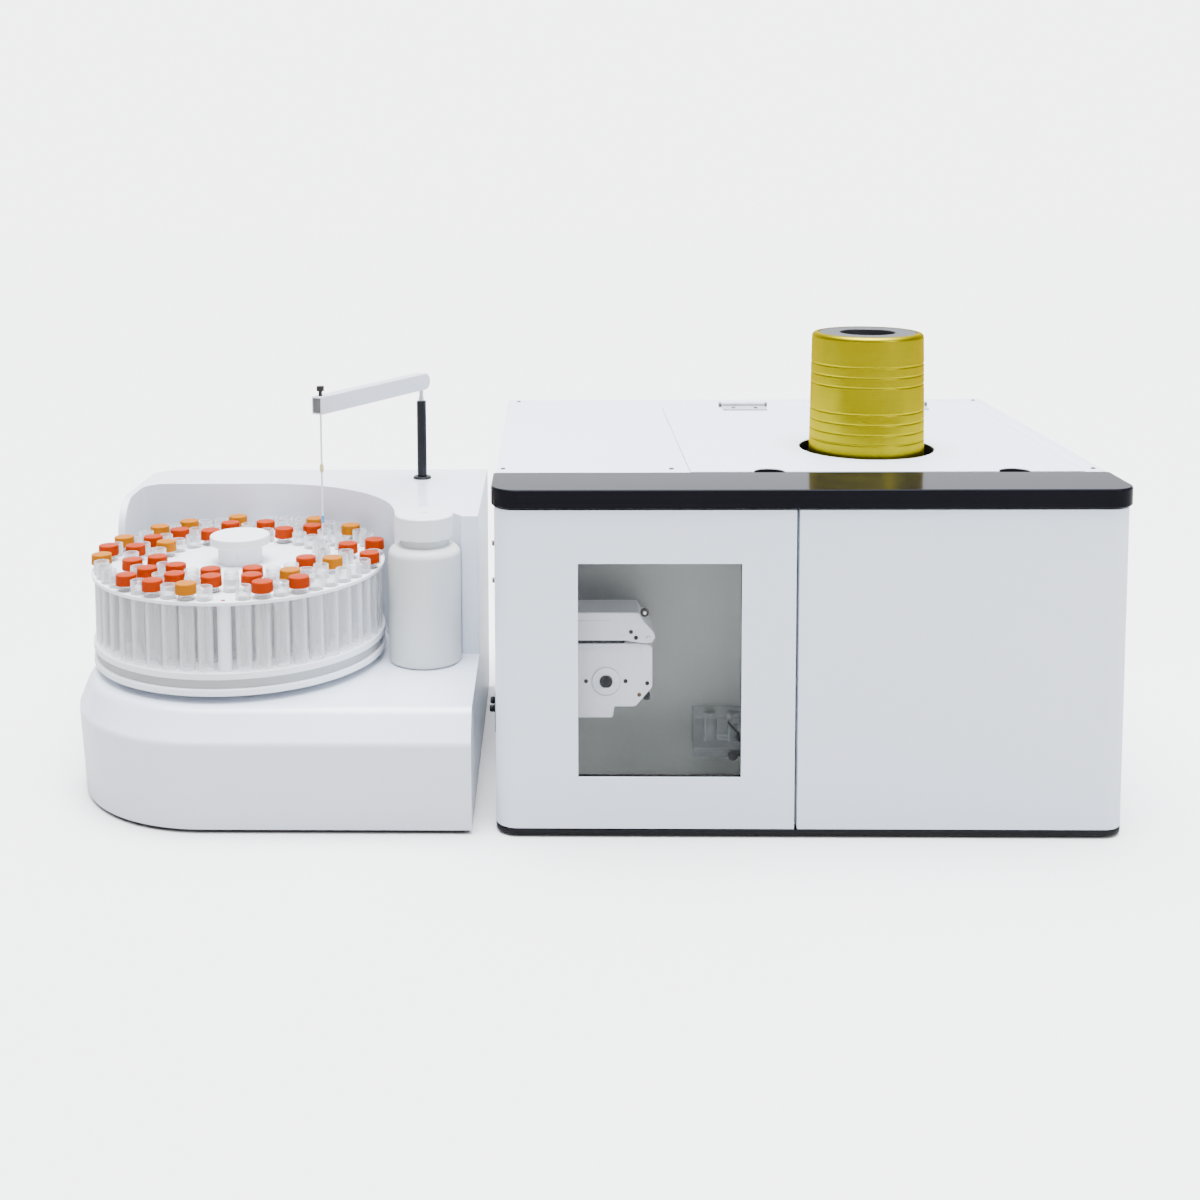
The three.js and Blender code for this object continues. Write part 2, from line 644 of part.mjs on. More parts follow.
const ringProfile = [
  [FLUE_RADIUS, ringSeat + GAP],
  [ringOuter, ringSeat + GAP],
  [ringOuter, chimneyTop - GAP],
  [FLUE_RADIUS + TOP_RING_HEIGHT / 4, chimneyTop - GAP],
  [FLUE_RADIUS, chimneyTop - TOP_RING_HEIGHT / 3],
  [FLUE_RADIUS, ringSeat + GAP],
];
cabinet.add(placed('chimney_top_ring', turned(ringProfile, chimneyX, CHIMNEY_Y), brushedMetal));

// Doors: folded sheets whose wrapped corners turn about the hinge pins. Both are drawn as the left
// one, and mirrored across the cabinet for the right.
function doorShell(width, withWindow) {
  const inner = CORNER_RADIUS - SHEET;
  const wrapEnd = 1.5 * Math.PI - THREE.MathUtils.degToRad(CORNER_WRAP_DEGREES);
  const skinOutline = new THREE.Shape();
  skinOutline.moveTo(width, DOOR_RETURN);
  skinOutline.lineTo(width, 0);
  skinOutline.lineTo(CORNER_RADIUS, 0);
  skinOutline.absarc(CORNER_RADIUS, CORNER_RADIUS, CORNER_RADIUS, 1.5 * Math.PI, wrapEnd, true);
  skinOutline.lineTo(...polar(inner, wrapEnd, CORNER_RADIUS, CORNER_RADIUS));
  skinOutline.absarc(CORNER_RADIUS, CORNER_RADIUS, inner, wrapEnd, 1.5 * Math.PI, false);
  skinOutline.lineTo(width - SHEET, SHEET);
  skinOutline.lineTo(width - SHEET, DOOR_RETURN);
  skinOutline.closePath();
  const capOutline = new THREE.Shape();
  capOutline.moveTo(width, DOOR_RETURN);
  capOutline.lineTo(width, 0);
  capOutline.lineTo(CORNER_RADIUS, 0);
  capOutline.absarc(CORNER_RADIUS, CORNER_RADIUS, CORNER_RADIUS, 1.5 * Math.PI, wrapEnd, true);
  capOutline.lineTo(CORNER_RADIUS + 2 * HINGE_PIN_RADIUS, CORNER_RADIUS + 2 * HINGE_PIN_RADIUS);
  capOutline.lineTo(CORNER_RADIUS + 4 * HINGE_PIN_RADIUS, DOOR_RETURN);
  capOutline.closePath();
  const pinHole = upright(
    HINGE_PIN_RADIUS + GAP, CORNER_RADIUS, CORNER_RADIUS, [0, CABINET_HEIGHT], SMALL_SIDES,
  );
  const steps = CORNER_STEPS / 2;
  const shell = cut(
    join(
      prism(skinOutline, [doorBottom, doorTop], steps),
      prism(capOutline, [doorBottom, doorBottom + SHEET], steps),
      prism(capOutline, [doorTop - SHEET, doorTop], steps),
    ),
    pinHole,
  );
  if (!withWindow) return shell;
  return cut(shell, block(
    [WINDOW_LEFT, WINDOW_LEFT + WINDOW_WIDTH],
    [-OVERRUN, SHEET + OVERRUN],
    [WINDOW_SILL, windowHead],
  ));
}

function acrossCabinet(mesh) {
  mesh.geometry.scale(-1, 1, 1).translate(CABINET_WIDTH, 0, 0);
  mesh.geometry.index.array.reverse();
  mesh.geometry.computeVertexNormals();
  return mesh;
}

const leftDoorWidth = DOOR_SEAM_X - SEAM;
const rightDoorWidth = CABINET_WIDTH - DOOR_SEAM_X - SEAM;
cabinet.add(placed('left_door_shell', doorShell(leftDoorWidth, true), powderWhite));
cabinet.add(acrossCabinet(placed('right_door_shell', doorShell(rightDoorWidth, false), powderWhite)));

// Window: a pane behind the sheet, and the frame that holds it
const paneFront = SHEET + GAP;
const paneBack = paneFront + PANE_THICKNESS;
const paneWide = [WINDOW_LEFT - PANE_LAP, WINDOW_LEFT + WINDOW_WIDTH + PANE_LAP];
const paneHigh = [WINDOW_SILL - PANE_LAP, windowHead + PANE_LAP];
cabinet.add(placed('window_pane', block(paneWide, [paneFront, paneBack], paneHigh), clearAcrylic));
const gasketFront = paneBack + GAP;
const frameOut = GASKET_WIDTH - PANE_LAP;
const gasket = cut(
  block(
    [paneWide[0] - frameOut, paneWide[1] + frameOut],
    [paneFront, gasketFront + PANE_THICKNESS],
    [paneHigh[0] - frameOut, paneHigh[1] + frameOut],
  ),
  block(
    [paneWide[0] - GAP, paneWide[1] + GAP],
    [paneFront - OVERRUN, gasketFront],
    [paneHigh[0] - GAP, paneHigh[1] + GAP],
  ),
  block(
    [WINDOW_LEFT, WINDOW_LEFT + WINDOW_WIDTH],
    [paneFront - OVERRUN, gasketFront + 2 * OVERRUN],
    [WINDOW_SILL, windowHead],
  ),
);
cabinet.add(placed('window_gasket', gasket, rubberBlack));

// Rear panel, cut out for the fan and the sockets
const rearFront = CABINET_DEPTH - SHEET;
const rearThrough = [rearFront - OVERRUN, CABINET_DEPTH + OVERRUN];
const panelTop = coverUnderside - GAP;
const inletX = CABINET_WIDTH - INLET_RIGHT_MARGIN;
const fanX = CABINET_WIDTH - FAN_RIGHT_MARGIN;
const fanZ = CABINET_HEIGHT - FAN_DROP;
const inletWide = [inletX - INLET_WIDTH / 2, inletX + INLET_WIDTH / 2];
const inletHigh = [INLET_Z - INLET_HEIGHT / 2, INLET_Z + INLET_HEIGHT / 2];
const switchZ = INLET_Z + SWITCH_RISE;
const switchWide = [inletX - SWITCH_WIDTH / 2, inletX + SWITCH_WIDTH / 2];
const switchHigh = [switchZ - SWITCH_HEIGHT / 2, switchZ + SWITCH_HEIGHT / 2];
const dataWide = [DATA_PORT_X - DATA_PORT_WIDTH / 2, DATA_PORT_X + DATA_PORT_WIDTH / 2];
const dataHigh = [GAS_INLET_Z - DATA_PORT_HEIGHT / 2, GAS_INLET_Z + DATA_PORT_HEIGHT / 2];
const rearPanel = cut(
  block([SHEET + GAP, CABINET_WIDTH - SHEET - GAP], [rearFront, CABINET_DEPTH], [panelBottom, panelTop]),
  alongY(FAN_BORE_RADIUS, fanX, rearThrough, fanZ, FINE_SIDES),
  block(widened(inletWide, GAP), rearThrough, widened(inletHigh, GAP)),
  block(widened(switchWide, BEZEL), rearThrough, widened(switchHigh, BEZEL)),
  alongY(GAS_INLET_RADIUS + GAP, GAS_INLET_X, rearThrough, GAS_INLET_Z, SMALL_SIDES),
  block(widened(dataWide, GAP), rearThrough, widened(dataHigh, GAP)),
);
cabinet.add(placed('rear_panel', rearPanel, powderWhite));

// Cooling fan: housing behind the panel, a bladed rotor on its hub, and a round wire guard outside
const fanBack = rearFront - GAP;
const fanFront = fanBack - FAN_DEPTH;
const fanWide = [fanX - FAN_SIZE / 2, fanX + FAN_SIZE / 2];
const fanHigh = [fanZ - FAN_SIZE / 2, fanZ + FAN_SIZE / 2];
const strutWidth = GUARD_BAR * 2;
const fanStruts = join(
  block(fanWide, [fanFront, fanFront + SHEET], [fanZ - strutWidth / 2, fanZ + strutWidth / 2]),
  block([fanX - strutWidth / 2, fanX + strutWidth / 2], [fanFront, fanFront + SHEET], fanHigh),
  alongY(FAN_HUB_RADIUS, fanX, [fanFront, fanFront + SHEET], fanZ),
  alongY(HINGE_PIN_RADIUS, fanX, [fanFront, fanBack - 2 * SHEET], fanZ, SMALL_SIDES),
);
const fanHousing = join(
  cut(
    block(fanWide, [fanFront, fanBack], fanHigh),
    alongY(FAN_BORE_RADIUS, fanX, [fanFront - OVERRUN, fanBack + OVERRUN], fanZ, FINE_SIDES),
  ),
  fanStruts,
);
cabinet.add(placed('fan_housing', fanHousing, darkGrey));

const rotorSpan = [fanFront + SHEET + GAP, fanBack - SHEET];
const bladeReach = FAN_BORE_RADIUS - FAN_TIP_GAP;
const bladePitch = THREE.MathUtils.degToRad(FAN_BLADE_PITCH_DEGREES);
const blades = [];
for (let i = 0; i < FAN_BLADES; i += 1) {
  const blade = new THREE.BoxGeometry(bladeReach - FAN_HUB_RADIUS / 2, FAN_BLADE_SHEET, FAN_DEPTH / 2);
  blade.rotateX(bladePitch).translate((bladeReach + FAN_HUB_RADIUS / 2) / 2, 0, 0);
  blade.rotateZ((i / FAN_BLADES) * 2 * Math.PI).rotateX(-Math.PI / 2);
  blades.push(blade.translate(fanX, (rotorSpan[0] + rotorSpan[1]) / 2, fanZ));
}
const sweep = alongY(bladeReach, fanX, rotorSpan, fanZ, FINE_SIDES);
const fanRotor = cut(
  join(alongY(FAN_HUB_RADIUS, fanX, rotorSpan, fanZ), common(join(...blades), sweep)),
  alongY(
    HINGE_PIN_RADIUS + GAP, fanX, [rotorSpan[0] - OVERRUN, fanBack - 2 * SHEET + GAP], fanZ, SMALL_SIDES,
  ),
);
cabinet.add(placed('fan_rotor', fanRotor, darkGrey));

function ringAlongY(outer, inner, x, [y0, y1], z, sides) {
  return cut(alongY(outer, x, [y0, y1], z, sides), alongY(inner, x, [y0 - OVERRUN, y1 + OVERRUN], z, sides));
}
const guardSpan = [CABINET_DEPTH + GAP, CABINET_DEPTH + GUARD_BAR];
const guardRings = [];
for (let i = 1; i <= GUARD_RING_COUNT; i += 1) {
  const radius = FAN_HUB_RADIUS + (i / GUARD_RING_COUNT) * (FAN_BORE_RADIUS - FAN_HUB_RADIUS);
  guardRings.push(ringAlongY(radius, radius - GUARD_BAR, fanX, guardSpan, fanZ, ROUND_SIDES));
}
const guardArm = FAN_BORE_RADIUS + GUARD_RIM;
const guard = join(
  ringAlongY(guardArm, FAN_BORE_RADIUS - GUARD_BAR, fanX, guardSpan, fanZ, ROUND_SIDES),
  ...guardRings,
  block([fanX - guardArm, fanX + guardArm], guardSpan, [fanZ - GUARD_BAR / 2, fanZ + GUARD_BAR / 2]),
  block([fanX - GUARD_BAR / 2, fanX + GUARD_BAR / 2], guardSpan, [fanZ - guardArm, fanZ + guardArm]),
);
cabinet.add(placed('fan_guard', guard, brushedMetal));

// Sockets: power inlet with its recess, the rocker switch in its bezel, gas inlet and data port
const flangeBack = CABINET_DEPTH + GAP + REAR_REACH / 2;
const inletPins = [-1, 0, 1].map((side) => block(
  [inletX + side * INLET_WIDTH / 5 - SHEET / 2, inletX + side * INLET_WIDTH / 5 + SHEET / 2],
  [flangeBack - INLET_DEPTH, CABINET_DEPTH],
  [INLET_Z - 2 * SHEET, INLET_Z + 2 * SHEET],
));
const inletBody = cut(
  join(
    block(inletWide, [flangeBack - INLET_DEPTH, flangeBack], inletHigh),
    block(
      [inletWide[0] - INLET_WALL, inletWide[1] + INLET_WALL],
      [CABINET_DEPTH + GAP, flangeBack],
      [inletHigh[0] - INLET_WALL, inletHigh[1] + INLET_WALL],
    ),
  ),
  block(
    [inletWide[0] + INLET_WALL, inletWide[1] - INLET_WALL],
    [flangeBack - INLET_DEPTH + INLET_WALL, flangeBack + OVERRUN],
    [inletHigh[0] + INLET_WALL, inletHigh[1] - INLET_WALL],
  ),
);
cabinet.add(placed('power_inlet', join(inletBody, ...inletPins), rubberBlack));

const bezelOut = BEZEL - GAP;
const bezel = cut(
  block(
    widened(switchWide, bezelOut),
    [flangeBack - INLET_DEPTH / 2 - BEZEL, flangeBack],
    widened(switchHigh, bezelOut),
  ),
  block(
    widened(switchWide, GAP),
    [flangeBack - INLET_DEPTH / 2, flangeBack + OVERRUN],
    widened(switchHigh, GAP),
  ),
);
cabinet.add(placed('switch_bezel', bezel, rubberBlack));

// Rocker: a shallow trough across a pivot, resting with its lower end pressed in
const rockerY = flangeBack - SWITCH_PIVOT_IN;
const rockerHalf = SWITCH_HEIGHT / 2 - GAP;
const rockerTilt = THREE.MathUtils.degToRad(SWITCH_TILT_DEGREES / 2);
const rockerPoints = [
  [-rockerHalf, SWITCH_CREST], [-rockerHalf, -SWITCH_CREST], [0, -SWITCH_DEPTH],
  [rockerHalf, -SWITCH_CREST], [rockerHalf, SWITCH_CREST], [0, -SWITCH_CREST],
];
const pivotPoint = new THREE.Vector2();
const rockerOutline = rockerPoints.map(
  ([z, y]) => new THREE.Vector2(y, z).rotateAround(pivotPoint, rockerTilt),
);
const rocker = new THREE.ExtrudeGeometry(
  new THREE.Shape(rockerOutline),
  { depth: SWITCH_WIDTH - 2 * GAP, bevelEnabled: false },
);
rocker.applyMatrix4(new THREE.Matrix4().set(
  0, 0, 1, switchWide[0] + GAP,
  1, 0, 0, rockerY,
  0, 1, 0, switchZ,
  0, 0, 0, 1,
));
cabinet.add(placed('power_switch', rocker, rubberBlack));

const gasInletSpan = [rearFront - GAS_INLET_LENGTH, flangeBack + REAR_REACH / 2];
const gasInlet = join(
  alongY(GAS_INLET_RADIUS, GAS_INLET_X, gasInletSpan, GAS_INLET_Z, SMALL_SIDES),
  alongY(
    GAS_NUT_SHARE * GAS_INLET_RADIUS, GAS_INLET_X, [CABINET_DEPTH + GAP, flangeBack], GAS_INLET_Z, TUBE_SIDES,
  ),
);
cabinet.add(placed('gas_inlet', gasInlet, brushedMetal));
const dataPort = join(
  block(dataWide, [rearFront - GAS_INLET_LENGTH, flangeBack], dataHigh),
  block(widened(dataWide, BEZEL), [CABINET_DEPTH + GAP, flangeBack], widened(dataHigh, BEZEL)),
);
cabinet.add(placed('data_port', dataPort, brushedMetal));

// Inner walls: the partition between the two front bays, the bays' back walls and the optics deck
const bayBack = BAY_DEPTH;
const partitionTop = visorBottom - PARTITION_TOP_GAP;
const partitionSpan = [DOOR_RETURN + SEAM, bayBack - GAP];
const partitionLeft = DOOR_SEAM_X - SHEET / 2;
const partition = join(
  block([partitionLeft, partitionLeft + SHEET], partitionSpan, [panelBottom, partitionTop]),
  block([partitionLeft, partitionLeft + FLANGE], partitionSpan, [panelBottom, panelBottom + SHEET]),
);
cabinet.add(placed('centre_partition', partition, chamberGrey));
const wallSpan = [bayBack, bayBack + SHEET];
const wallTop = coverUnderside - COLLAR_HEIGHT * 2;
const innerLeft = FLANGE + GAP;
const wallWide = [innerLeft, CABINET_WIDTH - innerLeft];
const bayWall = join(
  block(wallWide, wallSpan, [panelBottom, wallTop]),
  block(wallWide, [bayBack, bayBack + FLANGE], [panelBottom, panelBottom + SHEET]),
);
cabinet.add(placed('bay_wall', bayWall, chamberGrey));

const deckFront = bayBack + FLANGE + GAP;
const deckBack = CABINET_DEPTH - FAN_DEPTH - 4 * SHEET;
const deckTop = DECK_LEVEL;
const opticsDeck = join(
  block([innerLeft, CABINET_WIDTH - innerLeft], [deckFront, deckBack], [deckTop - DECK_SHEET, deckTop]),
  ...[innerLeft, CABINET_WIDTH - innerLeft - DECK_SHEET].map(
    (x) => block([x, x + DECK_SHEET], [deckFront, deckBack], [panelBottom, deckTop]),
  ),
);
cabinet.add(placed('optics_deck', opticsDeck, chamberGrey));

// Atomizer housing under the chimney, bored for the furnace tube and for the two light beams
const deckSeat = deckTop + GAP;
const beamSpan = [chimneyX - 2 * ATOMIZER_RADIUS, chimneyX + 2 * ATOMIZER_RADIUS];
const atomizer = cut(
  join(
    upright(ATOMIZER_RADIUS, chimneyX, CHIMNEY_Y, [deckSeat, chimneySeat]),
    upright(ATOMIZER_FLANGE_RADIUS, chimneyX, CHIMNEY_Y,
      [chimneySeat - ATOMIZER_FLANGE_HEIGHT, chimneySeat]),
  ),
  upright(ATOMIZER_BORE_RADIUS, chimneyX, CHIMNEY_Y, [deckSeat + ATOMIZER_FLOOR, chimneySeat + OVERRUN]),
  alongX(BEAM_RADIUS, beamSpan, CHIMNEY_Y, beamLevel, SMALL_SIDES),
  alongY(BEAM_RADIUS, chimneyX, [CHIMNEY_Y, CHIMNEY_Y + 2 * ATOMIZER_RADIUS], beamLevel, SMALL_SIDES),
);
cabinet.add(placed('atomizer_housing', atomizer, brushedMetal));
const furnaceTubeTop = CABINET_HEIGHT + FURNACE_TUBE_RISE;
const furnaceFoot = deckSeat + ATOMIZER_FLOOR + GAP;
const furnaceTube = turned([
  [FURNACE_TUBE_RADIUS - FURNACE_TUBE_WALL, furnaceFoot],
  [FURNACE_FOOT_RADIUS, furnaceFoot],
  [FURNACE_FOOT_RADIUS, furnaceFoot + FURNACE_FOOT_HEIGHT],
  [FURNACE_TUBE_RADIUS, furnaceFoot + FURNACE_FOOT_HEIGHT],
  [FURNACE_TUBE_RADIUS, furnaceTubeTop],
  [FURNACE_TUBE_RADIUS - FURNACE_TUBE_WALL, furnaceTubeTop],
  [FURNACE_TUBE_RADIUS - FURNACE_TUBE_WALL, furnaceFoot],
], chimneyX, CHIMNEY_Y, ROUND_SIDES);
cabinet.add(placed('furnace_tube', furnaceTube, tubeClear));

// Lamps on their cradles, either side of the atomizer, and the detector behind it
for (const [side, sign] of [['left', -1], ['right', 1]]) {
  const near = chimneyX + sign * (ATOMIZER_RADIUS + LAMP_SETBACK);
  const span = [near, near + sign * LAMP_LENGTH].sort((a, b) => a - b);
  const middle = near + sign * LAMP_LENGTH / 2;
  const lamp = join(
    alongX(LAMP_RADIUS, span, CHIMNEY_Y, beamLevel),
    block(
      [middle - CRADLE_LENGTH / 2, middle + CRADLE_LENGTH / 2],
      [CHIMNEY_Y - CRADLE_WIDTH / 2, CHIMNEY_Y + CRADLE_WIDTH / 2],
      [deckSeat, beamLevel],
    ),
  );
  cabinet.add(placed(`lamp_${side}`, lamp, darkGrey));
}
const detectorFront = CHIMNEY_Y + ATOMIZER_RADIUS + LAMP_SETBACK;
const detectorWell = [detectorFront - OVERRUN, detectorFront + DETECTOR_DEPTH / 2];
const detector = cut(
  block(
    [chimneyX - DETECTOR_WIDTH / 2, chimneyX + DETECTOR_WIDTH / 2],
    [detectorFront, detectorFront + DETECTOR_DEPTH],
    [deckSeat, CABINET_HEIGHT - DETECTOR_HEADROOM],
  ),
  alongY(BEAM_RADIUS, chimneyX, detectorWell, beamLevel, SMALL_SIDES),
);
cabinet.add(placed('detector_housing', detector, darkGrey));

// Peristaltic pump: stepped body on the bay wall, roller cage, and the clamp hinged at its right
const pumpBack = bayBack - GAP;
const pumpTop = PUMP_BOTTOM + PUMP_HEIGHT;
const pivotX = PUMP_LEFT + PUMP_WIDTH - CLAMP_PIVOT_IN;
const pivotZ = pumpTop + GAP + CLAMP_LUG_RADIUS;
const clampBack = PUMP_FRONT + CLAMP_DEPTH;
const throatHalf = ROTOR_THROAT_SHARE * ROTOR_CHAMBER_RADIUS;
const chamberSpan = [PUMP_FRONT + ROTOR_WALL, PUMP_FRONT + ROTOR_WALL + ROTOR_LENGTH + 2 * GAP];
const pumpBody = cut(
  join(
    prismAlongY(
      PUMP_OUTLINE_SHARES.map(([x, z]) => [PUMP_LEFT + x * PUMP_WIDTH, PUMP_BOTTOM + z * PUMP_HEIGHT]),
      [PUMP_FRONT, pumpBack],
    ),
    alongY(BOSS_RADIUS, ROTOR_X, [PUMP_FRONT - BOSS_HEIGHT, PUMP_FRONT + ROTOR_WALL / 2], ROTOR_Z),
    block(
      [pivotX - 3 * CLAMP_LUG_RADIUS, pivotX],
      [clampBack + GAP, pumpBack],
      [pumpTop - CLAMP_LUG_RADIUS, pivotZ + CLAMP_LUG_RADIUS],
    ),
    alongY(
      CLAMP_PIN_RADIUS, pivotX, [PUMP_FRONT - BOSS_HEIGHT, clampBack + CLAMP_LUG_RADIUS], pivotZ, SMALL_SIDES,
    ),
  ),
  alongY(ROTOR_CHAMBER_RADIUS, ROTOR_X, chamberSpan, ROTOR_Z),
  alongY(ROTOR_SHAFT_RADIUS + GAP, ROTOR_X, [PUMP_FRONT - OVERRUN, pumpBack + OVERRUN], ROTOR_Z, ROUND_SIDES),
  block(
    [ROTOR_X - throatHalf, ROTOR_X + throatHalf],
    chamberSpan,
    [ROTOR_Z, pumpTop + OVERRUN],
  ),
);
cabinet.add(placed('pump_body', pumpBody, plasticWhite));

const rollerRing = ROTOR_CHAMBER_RADIUS - 2 * ROLLER_RADIUS;
const cageSpan = [chamberSpan[0] + GAP, chamberSpan[1] - GAP];
const rollers = [];
for (let i = 0; i < ROLLER_COUNT; i += 1) {
  const [x, z] = polar(rollerRing, (i / ROLLER_COUNT) * 2 * Math.PI, ROTOR_X, ROTOR_Z);
  rollers.push(alongY(ROLLER_RADIUS, x, [cageSpan[0] + SHEET / 2, cageSpan[1] - SHEET / 2], z, TUBE_SIDES));
}
const rotor = join(
  alongY(ROTOR_SHAFT_RADIUS, ROTOR_X, [PUMP_FRONT - 2 * BOSS_HEIGHT, pumpBack - GAP], ROTOR_Z),
  ...[[cageSpan[0], cageSpan[0] + SHEET], [cageSpan[1] - SHEET, cageSpan[1]]].map(
    (span) => alongY(rollerRing + ROLLER_RADIUS, ROTOR_X, span, ROTOR_Z),
  ),
  ...rollers,
);
cabinet.add(placed('pump_rotor', rotor, darkGrey));

const clampBottom = pumpTop + GAP;
const clampPoints = CLAMP_OUTLINE_SHARES.map(([x, z]) => [
  PUMP_LEFT + x * (PUMP_WIDTH - CLAMP_PIVOT_IN),
  clampBottom + CLAMP_TUBE_SLOT + z * (CLAMP_HEIGHT - CLAMP_TUBE_SLOT),
]);
const clampSpan = [PUMP_FRONT, clampBack];
const clamp = cut(
  join(
    prismAlongY(clampPoints, clampSpan),
    alongY(CLAMP_LUG_RADIUS, pivotX, clampSpan, pivotZ),
  ),
  alongY(CLAMP_PIN_RADIUS + GAP, pivotX, [PUMP_FRONT - OVERRUN, clampBack + OVERRUN], pivotZ, SMALL_SIDES),
);
cabinet.add(placed('pump_clamp', clamp, plasticWhite));

// Separator: a clear block on the bay wall, drilled with two chambers and their channels, with two
// tube fittings on its right end
const separatorFront = pumpBack - SEPARATOR_DEPTH;
const separatorRight = SEPARATOR_LEFT + SEPARATOR_WIDTH;
const separatorTop = SEPARATOR_BOTTOM + SEPARATOR_HEIGHT;
const separatorY = (separatorFront + pumpBack) / 2;
const chamberXs = SEPARATOR_CHAMBER_SHARES.map((share) => SEPARATOR_LEFT + share * SEPARATOR_WIDTH);
const channelZ = SEPARATOR_BOTTOM + 2 * SEPARATOR_CHAMBER_RADIUS;
const fittingZ = SEPARATOR_BOTTOM + FITTING_RISE_SHARE * SEPARATOR_HEIGHT;
const separator = cut(
  block([SEPARATOR_LEFT, separatorRight], [separatorFront, pumpBack], [SEPARATOR_BOTTOM, separatorTop]),
  ...chamberXs.map(
    (x) => upright(SEPARATOR_CHAMBER_RADIUS, x, separatorY, [channelZ, separatorTop + OVERRUN], SMALL_SIDES),
  ),
  alongX(SEPARATOR_CHANNEL_RADIUS, [chamberXs[0], separatorRight + OVERRUN], separatorY,
    channelZ + SEPARATOR_CHANNEL_RADIUS, SMALL_SIDES),
  alongX(
    SEPARATOR_CHANNEL_RADIUS, [chamberXs[1], separatorRight + OVERRUN], separatorY, fittingZ, SMALL_SIDES,
  ),
);
const fittings = [channelZ + SEPARATOR_CHANNEL_RADIUS, fittingZ].map((z) => cut(
  alongX(FITTING_RADIUS, [separatorRight - GAP, separatorRight + FITTING_LENGTH], separatorY, z, TUBE_SIDES),
  alongX(SEPARATOR_CHANNEL_RADIUS, [separatorRight - OVERRUN, separatorRight + 2 * FITTING_LENGTH],
    separatorY, z, SMALL_SIDES),
));
cabinet.add(placed('separator_block', join(separator, ...fittings), clearAcrylic));

// Gas control box in the right bay, with its two regulator knobs
const gasBoxFront = pumpBack - GAS_BOX_DEPTH;
const knobPlaces = GAS_KNOB_SHARES.map((share) => GAS_BOX_LEFT + share * GAS_BOX_WIDTH);
const gasBox = join(
  block([GAS_BOX_LEFT, GAS_BOX_LEFT + GAS_BOX_WIDTH], [gasBoxFront, pumpBack],
    [GAS_BOX_BOTTOM, GAS_BOX_BOTTOM + GAS_BOX_HEIGHT]),
  ...knobPlaces.map((x) => alongY(GAS_KNOB_RADIUS, x, [gasBoxFront - GAS_KNOB_HEIGHT, gasBoxFront + OVERRUN],
    GAS_BOX_BOTTOM + GAS_BOX_HEIGHT / 2, SMALL_SIDES)),
);
cabinet.add(placed('gas_control_box', gasBox, darkGrey));

// Sampler cover: a skirt lofted through three outlines, a tower scooped out round the carousel and
// the bottle, and the hollow that makes it a moulding of even wall
function skirtRing(frontIn, leftIn, rest, z) {
  const left = -SAMPLER_LEFT + leftIn + rest;
  const right = SAMPLER_RIGHT - rest;
  const front = -SAMPLER_FRONT + frontIn + rest;
  const back = SAMPLER_BACK - rest;
  const cornerX = -SAMPLER_LEFT + SAMPLER_FRONT_CORNER;
  const cornerY = -SAMPLER_FRONT + SAMPLER_FRONT_CORNER;
  const backRadius = SAMPLER_BACK_CORNER;
  const ring = [[right, front], [right, back]];
  for (let i = 0; i <= CORNER_STEPS / 2; i += 1) {
    const angle = Math.PI / 2 + (i / (CORNER_STEPS / 2)) * (Math.PI / 2);
    ring.push(polar(backRadius, angle, left + backRadius, back - backRadius));
  }
  for (let i = 0; i <= CORNER_STEPS; i += 1) {
    const angle = Math.PI + (i / CORNER_STEPS) * (Math.PI / 2);
    ring.push([cornerX + (cornerX - left) * Math.cos(angle), cornerY + (cornerY - front) * Math.sin(angle)]);
  }
  return ring.map(([x, y]) => [x, y, z]);
}

function lofted(rings) {
  const size = rings[0].length;
  const outline = rings[0].map(([x, y]) => new THREE.Vector2(x, y));
  const lid = THREE.ShapeUtils.triangulateShape(outline, []);
  const last = (rings.length - 1) * size;
  const faces = [];
  for (const [a, b, c] of lid) {
    faces.push(a, c, b);
    faces.push(last + a, last + b, last + c);
  }
  for (let level = 0; level + 1 < rings.length; level += 1) {
    for (let i = 0; i < size; i += 1) {
      const low = level * size;
      const next = (i + 1) % size;
      faces.push(low + i, low + next, low + size + next);
      faces.push(low + i, low + size + next, low + size + i);
    }
  }
  const loft = new THREE.BufferGeometry();
  loft.setAttribute('position', new THREE.Float32BufferAttribute(rings.flat(2), 3));
  loft.setIndex(faces);
  return loft;
}

// Where the turntable's recess meets the bottle's niche
function cusp(recess, niche) {
  const away = Math.hypot(BOTTLE_X, BOTTLE_Y);
  const along = (recess ** 2 - niche ** 2 + away ** 2) / (2 * away);
  const aside = Math.sqrt(recess ** 2 - along ** 2);
  const [ux, uy] = [BOTTLE_X / away, BOTTLE_Y / away];
  return [along * ux - aside * uy, along * uy + aside * ux];
}

